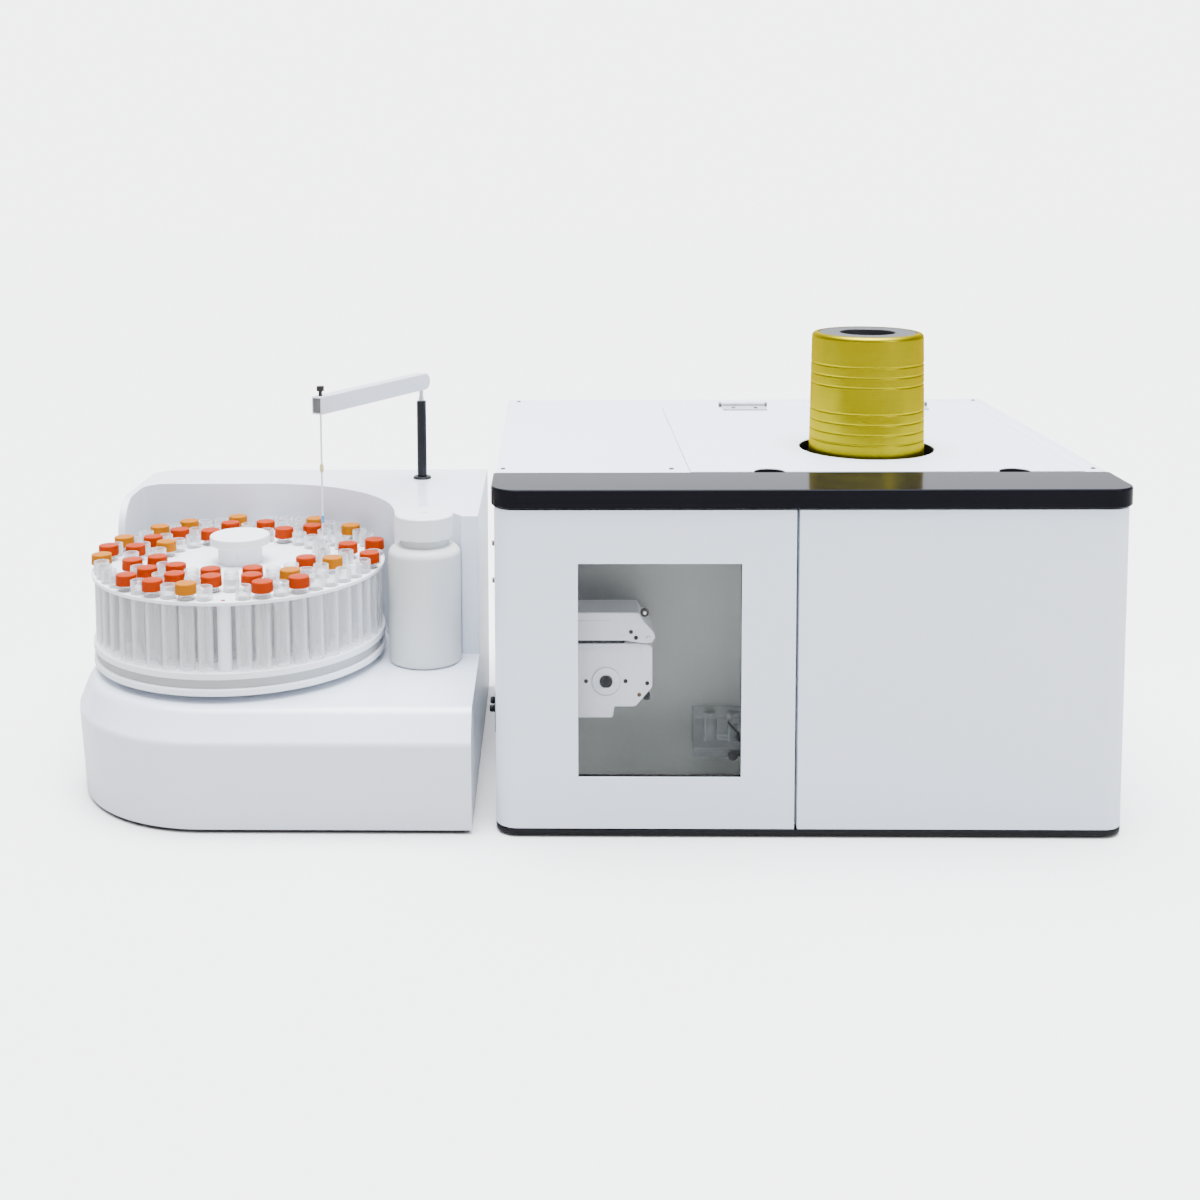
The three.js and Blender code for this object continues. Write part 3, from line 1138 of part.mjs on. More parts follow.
function towerOutline(rest) {
  const left = -SAMPLER_LEFT + LEFT_SLOPE_IN + rest;
  const right = SAMPLER_RIGHT - rest;
  const back = SAMPLER_BACK - rest;
  const step = STEP_BACK + rest;
  const recess = RECESS_RADIUS + rest;
  const niche = BOTTLE_RADIUS + BOTTLE_NICHE_GAP + rest;
  const [cuspX, cuspY] = cusp(recess, niche);
  const stepAngle = Math.asin((step - BOTTLE_Y) / niche);
  const outline = new THREE.Shape();
  outline.moveTo(right, step);
  outline.lineTo(right, back);
  outline.lineTo(left + SAMPLER_BACK_CORNER, back);
  const round = SAMPLER_BACK_CORNER;
  outline.absarc(left + round, back - round, round, Math.PI / 2, Math.PI, false);
  if (rest > 0) {
    outline.lineTo(left, recess);
  } else {
    const inner = left + WING_THICKNESS;
    outline.lineTo(left, WING_FRONT);
    outline.lineTo(inner, WING_FRONT);
    outline.lineTo(inner, recess - WING_FILLET);
    outline.absarc(inner + WING_FILLET, recess - WING_FILLET, WING_FILLET, Math.PI, Math.PI / 2, true);
  }
  outline.lineTo(0, recess);
  outline.absarc(0, 0, recess, Math.PI / 2, Math.atan2(cuspY, cuspX), true);
  outline.absarc(BOTTLE_X, BOTTLE_Y, niche, Math.atan2(cuspY - BOTTLE_Y, cuspX - BOTTLE_X), stepAngle, true);
  outline.closePath();
  return outline;
}

const wingLeft = -SAMPLER_LEFT + LEFT_SLOPE_IN;
const wingRight = wingLeft + WING_THICKNESS;
const wingRoundBack = WING_FRONT + WING_ROUND;
const wingRoundBase = SAMPLER_TOWER - WING_ROUND;
const wingCorner = cut(
  block(
    [wingLeft - OVERRUN, wingRight + GAP],
    [WING_FRONT - OVERRUN, wingRoundBack],
    [wingRoundBase, SAMPLER_TOWER + OVERRUN],
  ),
  alongX(WING_ROUND, widened([wingLeft, wingRight], 2 * OVERRUN), wingRoundBack, wingRoundBase, FINE_SIDES),
);
const skirt = lofted([
  skirtRing(WALL_DRAFT, WALL_DRAFT, 0, SAMPLER_FLOOR),
  skirtRing(0, 0, 0, SAMPLER_SHOULDER),
  skirtRing(FRONT_SLOPE_IN, LEFT_SLOPE_IN, 0, SAMPLER_DECK),
]);
const skirtHollow = lofted([
  skirtRing(WALL_DRAFT, WALL_DRAFT, SAMPLER_WALL, SAMPLER_FLOOR - OVERRUN),
  skirtRing(0, 0, SAMPLER_WALL, SAMPLER_SHOULDER - SAMPLER_WALL / 2),
  skirtRing(FRONT_SLOPE_IN, LEFT_SLOPE_IN, SAMPLER_WALL, SAMPLER_DECK - SAMPLER_WALL),
]);
const tower = cut(prism(towerOutline(0), [SAMPLER_DECK - SAMPLER_WALL / 2, SAMPLER_TOWER]), wingCorner);
const towerHollow = prism(towerOutline(SAMPLER_WALL), [SAMPLER_SHOULDER, SAMPLER_TOWER - SAMPLER_WALL]);
const cover = cut(
  join(skirt, tower),
  skirtHollow,
  towerHollow,
  upright(COLUMN_RADIUS + 2 * GAP, COLUMN_X, COLUMN_Y, [SAMPLER_DECK, SAMPLER_TOWER + OVERRUN]),
  upright(SPINDLE_RADIUS + 2 * GAP, 0, 0, [SAMPLER_SHOULDER, SAMPLER_DECK + OVERRUN]),
);
sampler.add(placed('sampler_cover', cover, plasticWhite));

// Sampler pan: closes the cover from below and carries the feet
const panTop = SAMPLER_FLOOR - GAP;
const pan = lofted([
  skirtRing(WALL_DRAFT, WALL_DRAFT, SAMPLER_PAN, panTop - SAMPLER_PAN),
  skirtRing(WALL_DRAFT, WALL_DRAFT, SAMPLER_PAN, panTop),
]);
const samplerFeet = [
  [SAMPLER_RIGHT - 3 * SAMPLER_FOOT_RADIUS, 3 * SAMPLER_FOOT_RADIUS - SAMPLER_FRONT],
  [SAMPLER_RIGHT - 3 * SAMPLER_FOOT_RADIUS, SAMPLER_BACK - 3 * SAMPLER_FOOT_RADIUS],
  [5 * SAMPLER_FOOT_RADIUS - SAMPLER_LEFT, SAMPLER_BACK - 3 * SAMPLER_FOOT_RADIUS],
  [7 * SAMPLER_FOOT_RADIUS - SAMPLER_LEFT, 5 * SAMPLER_FOOT_RADIUS - SAMPLER_FRONT],
].map(([x, y]) => upright(SAMPLER_FOOT_RADIUS, x, y, [0, panTop - SAMPLER_PAN / 2], SMALL_SIDES));
sampler.add(placed('sampler_base_plate', join(pan, ...samplerFeet), rubberBlack));

// Reagent bottle: a thin turned body with a shoulder and a neck, and its screw cap
const bottleFloor = SAMPLER_DECK + GAP;
const [bendIn, bendUp] = SHOULDER_BEND_SHARES.map((share) => share * BOTTLE_SHOULDER_ROUND);
const bottleProfile = [
  [0, bottleFloor],
  [BOTTLE_RADIUS - BOTTLE_WALL, bottleFloor],
  [BOTTLE_RADIUS, bottleFloor + BOTTLE_WALL],
  [BOTTLE_RADIUS, bottleFloor + BOTTLE_SHOULDER],
  [BOTTLE_RADIUS - bendIn, bottleFloor + BOTTLE_SHOULDER + bendUp],
  [BOTTLE_NECK_RADIUS, bottleFloor + BOTTLE_SHOULDER + BOTTLE_SHOULDER_ROUND],
  [BOTTLE_NECK_RADIUS, SAMPLER_DECK + BOTTLE_NECK_TOP],
];
const bottleInside = bottleProfile.slice(2).reverse().map(
  ([radius, z]) => [radius - BOTTLE_WALL, z - BOTTLE_WALL / 2],
);
bottleInside[0][1] = SAMPLER_DECK + BOTTLE_NECK_TOP;
const bottle = turned(
  [...bottleProfile, ...bottleInside, [0, bottleFloor + BOTTLE_WALL]],
  BOTTLE_X, BOTTLE_Y,
);
sampler.add(placed('bottle_body', bottle, milkyPlastic));
const capUnderside = SAMPLER_DECK + BOTTLE_NECK_TOP + GAP;
const bottleCap = turned([
  [0, capUnderside],
  [BOTTLE_NECK_RADIUS + GAP, capUnderside],
  [BOTTLE_NECK_RADIUS + GAP, SAMPLER_DECK + BOTTLE_CAP_BOTTOM],
  [BOTTLE_CAP_RADIUS, SAMPLER_DECK + BOTTLE_CAP_BOTTOM],
  [BOTTLE_CAP_RADIUS, SAMPLER_DECK + BOTTLE_CAP_TOP - BOTTLE_CAP_WALL],
  [BOTTLE_CAP_RADIUS - BOTTLE_CAP_WALL, SAMPLER_DECK + BOTTLE_CAP_TOP],
  [0, SAMPLER_DECK + BOTTLE_CAP_TOP],
], BOTTLE_X, BOTTLE_Y);
sampler.add(placed('bottle_cap', bottleCap, milkyPlastic));

// Lift column: a flange on the tower, the sliding rod and the guide it runs in below
const flangeSeat = SAMPLER_TOWER + GAP;
const columnFlange = cut(
  upright(COLUMN_FLANGE_RADIUS, COLUMN_X, COLUMN_Y, [flangeSeat, flangeSeat + COLUMN_FLANGE_HEIGHT]),
  upright(COLUMN_RADIUS + GAP, COLUMN_X, COLUMN_Y, [SAMPLER_TOWER - OVERRUN, SAMPLER_TOWER + 2 * OVERRUN]),
);
sampler.add(placed('column_flange', columnFlange, rubberBlack));
const guideTop = SAMPLER_TOWER - SAMPLER_WALL - GAP;
const liftGuide = cut(
  join(
    upright(GUIDE_RADIUS, COLUMN_X, COLUMN_Y, [GUIDE_BOTTOM, guideTop]),
    upright(GUIDE_FLANGE_RADIUS, COLUMN_X, COLUMN_Y, [guideTop - GUIDE_FLANGE_HEIGHT, guideTop]),
  ),
  upright(COLUMN_RADIUS + GAP, COLUMN_X, COLUMN_Y, [GUIDE_BOTTOM - OVERRUN, SAMPLER_TOWER]),
);
sampler.add(placed('lift_guide', liftGuide, darkGrey));
const column = turned([
  [0, COLUMN_BOTTOM],
  [COLUMN_RADIUS, COLUMN_BOTTOM],
  [COLUMN_RADIUS, COLUMN_TOP],
  [COLUMN_NECK_RADIUS, COLUMN_TOP],
  [COLUMN_NECK_RADIUS, ARM_UNDERSIDE - GAP],
  [0, ARM_UNDERSIDE - GAP],
], COLUMN_X, COLUMN_Y, ROUND_SIDES);
sampler.add(placed('column_rod', column, rubberBlack));

// The needle stands over the inner row: where the arm's reach from the column meets the row's circle
function needlePlace() {
  const away = Math.hypot(COLUMN_X, COLUMN_Y);
  const along = (INNER_ROW.radius ** 2 - ARM_REACH ** 2 + away ** 2) / (2 * away);
  const aside = Math.sqrt(INNER_ROW.radius ** 2 - along ** 2);
  const [ux, uy] = [COLUMN_X / away, COLUMN_Y / away];
  return [along * ux + aside * uy, along * uy - aside * ux];
}
const [needleX, needleY] = needlePlace();
const rowPhase = Math.atan2(needleY, needleX);
const armAngle = Math.atan2(needleY - COLUMN_Y, needleX - COLUMN_X);

function onArm(shape) {
  return shape.rotateZ(armAngle).translate(COLUMN_X, COLUMN_Y, 0);
}

// Arm: a box section rounded over its tail, drawn along +X from the column and turned into place
const armSide = new THREE.Shape();
armSide.moveTo(ARM_REACH + ARM_NOSE, 0);
armSide.lineTo(ARM_REACH + ARM_NOSE, ARM_HEIGHT);
armSide.lineTo(0, ARM_HEIGHT);
armSide.absarc(0, ARM_HEIGHT / 2, ARM_TAIL, Math.PI / 2, 1.5 * Math.PI, false);
armSide.closePath();
const armBar = new THREE.ExtrudeGeometry(
  armSide,
  { depth: ARM_WIDTH, bevelEnabled: false, curveSegments: CORNER_STEPS / 2 },
);
armBar.rotateX(Math.PI / 2).translate(0, ARM_WIDTH / 2, ARM_UNDERSIDE);
const armTop = ARM_UNDERSIDE + ARM_HEIGHT;
const armMiddle = ARM_UNDERSIDE + ARM_HEIGHT / 2;
const screwTop = armTop + THUMB_SCREW_HEIGHT;
const atReach = (radius, span) => onArm(upright(radius, ARM_REACH, 0, span, SMALL_SIDES));
const arm = cut(
  join(
    onArm(armBar),
    atReach(THUMB_SCREW_RADIUS / 2, [armTop - SHEET, screwTop]),
    atReach(THUMB_SCREW_RADIUS, [screwTop - THUMB_SCREW_HEIGHT / 2, screwTop]),
  ),
  atReach(NEEDLE_RADIUS + GAP, [ARM_UNDERSIDE - OVERRUN, armMiddle]),
);
sampler.add(placed('arm_beam', arm, powderWhite));
const sleeveSpan = [NEEDLE_SLEEVE_BOTTOM, NEEDLE_SLEEVE_BOTTOM + NEEDLE_SLEEVE_LENGTH];
sampler.add(placed('needle', atReach(NEEDLE_RADIUS, [NEEDLE_TIP, armMiddle - GAP]), plasticWhite));
const sleeve = cut(
  atReach(NEEDLE_SLEEVE_RADIUS, sleeveSpan),
  atReach(NEEDLE_RADIUS + GAP, widened(sleeveSpan, OVERRUN)),
);
sampler.add(placed('needle_fitting', sleeve, milkyPlastic));

// Turntable drive under the deck, and the disc on its spindle
const motorTop = SAMPLER_DECK - SAMPLER_WALL - GAP;
const motor = join(
  upright(MOTOR_RADIUS, 0, 0, [motorTop - MOTOR_HEIGHT, motorTop]),
  upright(SPINDLE_RADIUS, 0, 0, [motorTop - SHEET, SPINDLE_TOP], SMALL_SIDES),
);
sampler.add(placed('turntable_motor', motor, darkGrey));
const spindleBore = upright(SPINDLE_RADIUS + 2 * GAP, 0, 0, [0, CABINET_HEIGHT]);
const discTop = DISC_BOTTOM + DISC_THICKNESS;
const disc = cut(
  join(
    upright(DISC_RADIUS, 0, 0, [DISC_BOTTOM, discTop], 2 * FINE_SIDES),
    upright(HUB_RADIUS, 0, 0, [SAMPLER_DECK + SHEET, DISC_BOTTOM + DISC_THICKNESS / 2]),
  ),
  spindleBore,
);
sampler.add(placed('turntable_disc', disc, plasticWhite));
const spacerSpan = [discTop + GAP, discTop + SPACER_HEIGHT];
const spacerRadius = DISC_RADIUS - SPACER_SETBACK;
const spacer = cut(
  upright(spacerRadius, 0, 0, spacerSpan, 2 * FINE_SIDES),
  upright(spacerRadius - SPACER_WIDTH, 0, 0, widened(spacerSpan, OVERRUN), 2 * FINE_SIDES),
);
sampler.add(placed('rack_spacer_ring', spacer, clearAcrylic));

// Tube rack. Tubes stand on the lower plate in three rows and pass through the holed upper plate.
// The tube under the needle is open and separate, and the others carry a cap or a plain neck.
const lowerPlateBottom = spacerSpan[1] + GAP;
const lowerPlateTop = lowerPlateBottom + LOWER_PLATE_THICKNESS;
const upperPlateBottom = UPPER_PLATE_TOP - UPPER_PLATE_THICKNESS;

const outerPhase = THREE.MathUtils.degToRad(POST_DEGREES);
const rows = [
  { ...OUTER_ROW, phase: outerPhase },
  { ...MIDDLE_ROW, phase: THREE.MathUtils.degToRad(MIDDLE_ROW_DEGREES) },
  { ...INNER_ROW, phase: rowPhase },
];
const postEvery = OUTER_ROW.count / POST_COUNT;

// Each place in the rack: a tube, the open tube at the start of the inner row, or a post
function rackPlaces() {
  const list = [];
  for (const { radius, count, capped, phase } of rows) {
    for (let i = 0; i < count; i += 1) {
      const [x, y] = polar(radius, phase + (i / count) * 2 * Math.PI);
      const post = phase === outerPhase && i % postEvery === 0;
      const open = phase === rowPhase && i === 0;
      list.push({ x, y, post, open, capped: capped.includes(i) });
    }
  }
  return list;
}

function tubeProfile(capped) {
  const foot = lowerPlateTop - LOWER_PLATE_THICKNESS / 4;
  const profile = [[0, foot], [TUBE_RADIUS, foot]];
  if (!capped) return [...profile, [TUBE_RADIUS, TUBE_TOP], [0, TUBE_TOP]];
  return [
    ...profile,
    [TUBE_RADIUS, CAP_BOTTOM],
    [CAP_RADIUS, CAP_BOTTOM],
    [CAP_RADIUS, CAP_TOP],
    [0, CAP_TOP],
  ];
}

const places = rackPlaces();
const closedTubes = places.filter((place) => !place.open && !place.post).map(
  ({ x, y, capped }) => turned(tubeProfile(capped), x, y, TUBE_SIDES),
);
const postSpan = [lowerPlateTop - OVERRUN / 2, upperPlateBottom - GAP];
const posts = places.filter((place) => place.post).map(
  ({ x, y }) => upright(POST_RADIUS, x, y, postSpan, SMALL_SIDES),
);
const lowerPlate = upright(DISC_RADIUS, 0, 0, [lowerPlateBottom, lowerPlateTop], 2 * FINE_SIDES);
const seatTop = lowerPlateTop - LOWER_PLATE_THICKNESS / 2;
const openSeat = upright(TUBE_RADIUS + GAP, needleX, needleY, [seatTop, lowerPlateTop + OVERRUN]);
const rack = join(cut(lowerPlate, openSeat, spindleBore), ...posts, ...closedTubes);
sampler.add(placed('tube_rack', rack, tubeClear));

const openTube = turned([
  [0, seatTop + GAP],
  [TUBE_RADIUS, seatTop + GAP],
  [TUBE_RADIUS, TUBE_TOP],
  [TUBE_RADIUS - TUBE_WALL, TUBE_TOP],
  [TUBE_RADIUS - TUBE_WALL, seatTop + TUBE_FLOOR],
  [0, seatTop + TUBE_FLOOR],
], needleX, needleY, ROUND_SIDES);
sampler.add(placed('open_sample_tube', openTube, tubeClear));

// Upper plate: a disc with a hole for every tube and for the knob's bushing
const plateSpan = [upperPlateBottom, UPPER_PLATE_TOP];
const holeSpan = widened(plateSpan, OVERRUN);
const tubeHoles = places.filter((place) => !place.post).map(
  ({ x, y, open }) => upright(TUBE_RADIUS + TUBE_HOLE_GAP, x, y, holeSpan, open ? ROUND_SIDES : TUBE_SIDES),
);
const upperPlate = cut(
  upright(DISC_RADIUS, 0, 0, plateSpan, 2 * FINE_SIDES),
  spindleBore,
  join(...tubeHoles),
);
sampler.add(placed('rack_upper_plate', upperPlate, plasticWhite));

// Knob: a broad head on a neck, turning on the spindle's end to hold the rack down
const knobSeat = UPPER_PLATE_TOP + GAP;
const knobUnder = KNOB_TOP - KNOB_THICKNESS;
const knob = turned([
  [0, KNOB_BORE_TOP],
  [KNOB_BORE_RADIUS, KNOB_BORE_TOP],
  [KNOB_BORE_RADIUS, knobSeat],
  [KNOB_NECK_RADIUS, knobSeat],
  [KNOB_NECK_RADIUS, knobUnder],
  [KNOB_RADIUS, knobUnder],
  [KNOB_RADIUS, KNOB_TOP - SHEET],
  [KNOB_RADIUS - SHEET, KNOB_TOP],
  [0, KNOB_TOP],
], 0, 0);
sampler.add(placed('rack_knob', knob, plasticWhite));

// The origin: the centre of the footprint, at bench level
const bounds = new THREE.Box3().setFromObject(bench);
const middle = bounds.getCenter(new THREE.Vector3());
bench.position.set(-middle.x, -middle.y, -bounds.min.z);
const spectrometer = new THREE.Group();
spectrometer.add(bench);

export default spectrometer;
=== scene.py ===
"""Looks of an atomic fluorescence spectrometer and its carousel autosampler, in metres.

The sections follow the instrument as it is put together: the cabinet from its feet upwards, what
stands behind its doors and lid, the sockets at the rear, and then the sampler from its pan upwards.
"""

import math

import bmesh
import bpy
from mathutils import Matrix, Vector


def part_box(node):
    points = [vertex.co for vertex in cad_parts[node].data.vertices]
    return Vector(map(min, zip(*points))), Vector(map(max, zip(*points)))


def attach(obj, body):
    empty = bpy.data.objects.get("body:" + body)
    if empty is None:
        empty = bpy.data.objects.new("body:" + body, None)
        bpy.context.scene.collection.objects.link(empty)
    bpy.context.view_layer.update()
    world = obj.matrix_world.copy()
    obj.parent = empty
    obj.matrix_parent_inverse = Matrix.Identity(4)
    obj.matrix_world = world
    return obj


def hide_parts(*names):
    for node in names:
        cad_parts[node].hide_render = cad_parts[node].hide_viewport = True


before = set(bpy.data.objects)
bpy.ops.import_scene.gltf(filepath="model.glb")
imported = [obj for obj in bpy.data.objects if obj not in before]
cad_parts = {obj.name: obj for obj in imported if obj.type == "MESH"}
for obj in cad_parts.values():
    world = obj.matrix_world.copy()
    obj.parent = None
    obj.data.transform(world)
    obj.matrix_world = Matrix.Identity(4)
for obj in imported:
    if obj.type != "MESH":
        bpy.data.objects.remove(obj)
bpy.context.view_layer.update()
scene = bpy.context.scene

# Camera: a little left of the cabinet's middle, above the tops, looking slightly down. The lens
# axis passes left of and above the middle of the picture, which the shift makes up for.
PICTURE = 1200
FOCAL_PIXELS = 1535.9
AXIS_PIXEL_X = 518.1
AXIS_PIXEL_Y = 300.0
CAMERA_PLACE = (-0.0256, -1.7412, 0.6715)
CAMERA_YAW = -1.297
CAMERA_PITCH = 5.324
CAMERA_ROLL = -0.377
lens = bpy.data.cameras.new("camera")
lens.sensor_width = 36
lens.lens = FOCAL_PIXELS / PICTURE * lens.sensor_width
lens.shift_x = (PICTURE / 2 - AXIS_PIXEL_X) / PICTURE
lens.shift_y = (AXIS_PIXEL_Y - PICTURE / 2) / PICTURE
camera = bpy.data.objects.new("camera", lens)
camera.matrix_world = (
    Matrix.Translation(CAMERA_PLACE)
    @ Matrix.Rotation(math.radians(-CAMERA_YAW), 4, "Z")
    @ Matrix.Rotation(math.radians(90 - CAMERA_PITCH), 4, "X")
    @ Matrix.Rotation(math.radians(CAMERA_ROLL), 4, "Z")
)
scene.collection.objects.link(camera)
scene.camera = camera

# Floor and light: a room whose ceiling and back are brighter than its other walls, and one soft
# lamp at the front right. The camera sees a paler floor and backdrop than those that give light.
FLOOR_REACH = 12.0
PAPER_SEEN = (0.95, 0.93, 0.90, 1)
PAPER_BOUNCED = (0.45, 0.44, 0.425, 1)
WALL_LIGHT = 0.45
BACK_LIGHT = 2.4
BACK_FALLOFF = 3.0
CEILING_LIGHT = 36.0
CEILING_FALLOFF = 12.0
BACKDROP_LIGHT = 5.6
ROOM_COLOUR = (0.90, 0.935, 1.0, 1)
BACKDROP_COLOUR = (0.90, 0.91, 0.92, 1)
LAMP_PLACE = Vector((2.1, -2.2, 1.6))
LAMP_TARGET = Vector((0, 0, 0.2))
LAMP_SIZE = 0.8
LAMP_POWER = 26
LAMP_COLOUR = (0.94, 0.97, 1.0)


def wire(tree, nodes, *links):
    """Adds nodes to a tree, each a kind and its settings, where no kind means one that is there.
    A link is 'node.Output > node.Input', with a number where a name isn't unique."""
    for name, (kind, settings) in nodes.items():
        node = tree.nodes.new(kind) if kind else tree.nodes[name]
        node.name = name
        for key, value in settings.items():
            if isinstance(key, str) and hasattr(node, key):
                setattr(node, key, value)
            else:
                node.inputs[key].default_value = value
    for link in links:
        (source, output), (target, entry) = [end.split(".") for end in link.split(" > ")]
        output, entry = [int(key) if key.isdigit() else key for key in (output, entry)]
        tree.links.new(tree.nodes[source].outputs[output], tree.nodes[target].inputs[entry])


sheet = bpy.data.meshes.new("floor")
corners = [(x * FLOOR_REACH, y * FLOOR_REACH, 0) for x, y in ((-1, -1), (1, -1), (1, 1), (-1, 1))]
sheet.from_pydata(corners, [], [(0, 1, 2, 3)])
floor = bpy.data.objects.new("floor", sheet)
scene.collection.objects.link(floor)
paper = bpy.data.materials.new("paper")
paper.use_nodes = True
wire(
    paper.node_tree,
    {
        "Principled BSDF": (None, {"Roughness": 0.9, "Specular IOR Level": 0.0}),
        "ray": ("ShaderNodeLightPath", {}),
        "shade": ("ShaderNodeMix", {"data_type": "RGBA", "A": PAPER_BOUNCED, "B": PAPER_SEEN}),
    },
    "ray.Is Camera Ray > shade.Factor", "shade.Result > Principled BSDF.Base Color",
)
sheet.materials.append(paper)

room = bpy.data.worlds.new("room")
room.use_nodes = True
MATHS = "ShaderNodeMath"
wire(
    room.node_tree,
    {
        "Background": (None, {"Color": ROOM_COLOUR}),
        "backdrop": ("ShaderNodeBackground", {"Color": BACKDROP_COLOUR, "Strength": BACKDROP_LIGHT}),
        "direction": ("ShaderNodeTexCoord", {}),
        "split": ("ShaderNodeSeparateXYZ", {}),
        "upward": (MATHS, {"operation": "MAXIMUM", 1: 0.0}),
        "overhead": (MATHS, {"operation": "POWER", 1: CEILING_FALLOFF}),
        "backward": (MATHS, {"operation": "MAXIMUM", 1: 0.0}),
        "behind": (MATHS, {"operation": "POWER", 1: BACK_FALLOFF}),
        "back": (MATHS, {"operation": "MULTIPLY_ADD", 1: BACK_LIGHT, 2: WALL_LIGHT}),
        "ceiling": (MATHS, {"operation": "MULTIPLY_ADD", 1: CEILING_LIGHT}),
        "ray": ("ShaderNodeLightPath", {}),
        "seen": ("ShaderNodeMixShader", {}),
    },
    "direction.Generated > split.0", "split.Z > upward.0", "upward.0 > overhead.0",
    "overhead.0 > ceiling.0", "split.Y > backward.0", "backward.0 > behind.0", "behind.0 > back.0",
    "back.0 > ceiling.2", "ceiling.0 > Background.Strength", "ray.Is Camera Ray > seen.0",
    "Background.0 > seen.1", "backdrop.0 > seen.2", "seen.0 > World Output.Surface",
)
scene.world = room

lamp = bpy.data.lights.new("front_right", "AREA")
lamp.size = LAMP_SIZE
lamp.energy = LAMP_POWER
lamp.color = LAMP_COLOUR
lamp_holder = bpy.data.objects.new("front_right", lamp)
lamp_holder.location = LAMP_PLACE
lamp_holder.rotation_euler = (LAMP_TARGET - LAMP_PLACE).to_track_quat("-Z", "Y").to_euler()
scene.collection.objects.link(lamp_holder)

# Plinth and feet: a folded base plate sprayed satin black, on four turned rubber feet. Every finish
# of the instrument is slightly uneven: a drift between two near colours, patches that are a little
# more or less glossy, and a fine grain.


def node_group(name, kind, inputs, outputs):
    """A node group with named sockets of given types, and its input and output nodes."""
    group = bpy.data.node_groups.new(name, kind)
    for direction, sockets in (("INPUT", inputs), ("OUTPUT", outputs)):
        for socket, type_name in sockets.items():
            group.interface.new_socket(socket, in_out=direction, socket_type="NodeSocket" + type_name)
    wire(group, {"in": ("NodeGroupInput", {}), "out": ("NodeGroupOutput", {})})
    return group


def effect_group(name, inputs, nodes, *links):
    """A shader group with a pattern of its own, which blends two colours and spreads a roughness."""
    shared = {"Colour": "Color", "Second Colour": "Color", "Roughness": "Float", "Roughness Spread": "Float"}
    outputs = {"Colour": "Color", "Roughness": "Float", "Normal": "Vector"}
    group = node_group(name, "ShaderNodeTree", {**shared, **inputs}, outputs)
    wire(
        group,
        {
            "place": ("ShaderNodeTexCoord", {}),
            "blend": ("ShaderNodeMix", {"data_type": "RGBA"}),
            "centred": (MATHS, {"operation": "SUBTRACT", 1: 0.5}),
            "spread": (MATHS, {"operation": "MULTIPLY_ADD"}),
            "bump": ("ShaderNodeBump", {}),
            **nodes,
        },
        "in.Colour > blend.A", "in.Second Colour > blend.B", "blend.Result > out.Colour",
        "centred.0 > spread.0", "in.Roughness Spread > spread.1", "in.Roughness > spread.2",
        "spread.0 > out.Roughness", "bump.Normal > out.Normal", *links,
    )
    return group


uneven_surface = effect_group(
    "uneven_surface",
    {"Patch Scale": "Float", "Grain Scale": "Float", "Grain Depth": "Float"},
    {"patches": ("ShaderNodeTexNoise", {"Detail": 4}), "grain": ("ShaderNodeTexNoise", {"Detail": 2})},
    "place.Object > patches.Vector", "in.Patch Scale > patches.Scale", "patches.Fac > blend.Factor",
    "patches.Fac > centred.0", "place.Object > grain.Vector", "in.Grain Scale > grain.Scale",
    "grain.Fac > bump.Height", "in.Grain Depth > bump.Distance",
)


def effect_material(name, group, first, second, rough, values, shader):
    """A material: one shader with its plain values, and an effect's colour, roughness and normal."""
    material = bpy.data.materials.new(name)
    material.use_nodes = True
    colours = {"Colour": (*first, 1), "Second Colour": (*second, 1)}
    roughness = {"Roughness": rough[0], "Roughness Spread": rough[1]}
    wire(
        material.node_tree,
        {
            "Principled BSDF": (None, shader),
            "effect": ("ShaderNodeGroup", {"node_tree": group, **colours, **roughness, **values}),
        },
        "effect.Colour > Principled BSDF.Base Color", "effect.Roughness > Principled BSDF.Roughness",
        "effect.Normal > Principled BSDF.Normal",
    )
    return material


def finish(name, first, second, rough, grain, patches=10.0, shader=None):
    """An uneven finish between two colours: rough is a roughness and its spread, and grain a scale
    and a depth."""
    values = {"Patch Scale": patches, "Grain Scale": grain[0], "Grain Depth": grain[1]}
    return effect_material(name, uneven_surface, first, second, rough, values, shader or {})


def settled(mesh, *steps):
    """A mesh after modifiers. Each step is a modifier's kind and its settings."""
    holder = bpy.data.objects.new("holder", mesh)
    scene.collection.objects.link(holder)
    for kind, settings in steps:
        modifier = holder.modifiers.new(kind.lower(), kind)
        for name, value in settings.items():
            setattr(modifier, name, value)
    graph = bpy.context.evaluated_depsgraph_get()
    result = bpy.data.meshes.new_from_object(holder.evaluated_get(graph), depsgraph=graph)
    bpy.data.objects.remove(holder)
    return result


def soft_edges(mesh, width, segments=3, angle=30):
    """Rounds a mesh's sharp edges."""
    mesh.shade_smooth()
    limits = {"limit_method": "ANGLE", "angle_limit": math.radians(angle), "harden_normals": True}
    return settled(mesh, ("BEVEL", {"width": width, "segments": segments, **limits}))


MERGE_DISTANCE = 1e-6
FLAT_ANGLE = math.radians(0.5)
SHARP_ANGLE = math.radians(32)


def as_mesh(shape):
    """Ends a bmesh as a mesh whose faces point outwards."""
    bmesh.ops.remove_doubles(shape, verts=shape.verts, dist=MERGE_DISTANCE)
    bmesh.ops.recalc_face_normals(shape, faces=shape.faces)
    mesh = bpy.data.meshes.new("shape")
    shape.to_mesh(mesh)
    shape.free()
    return mesh


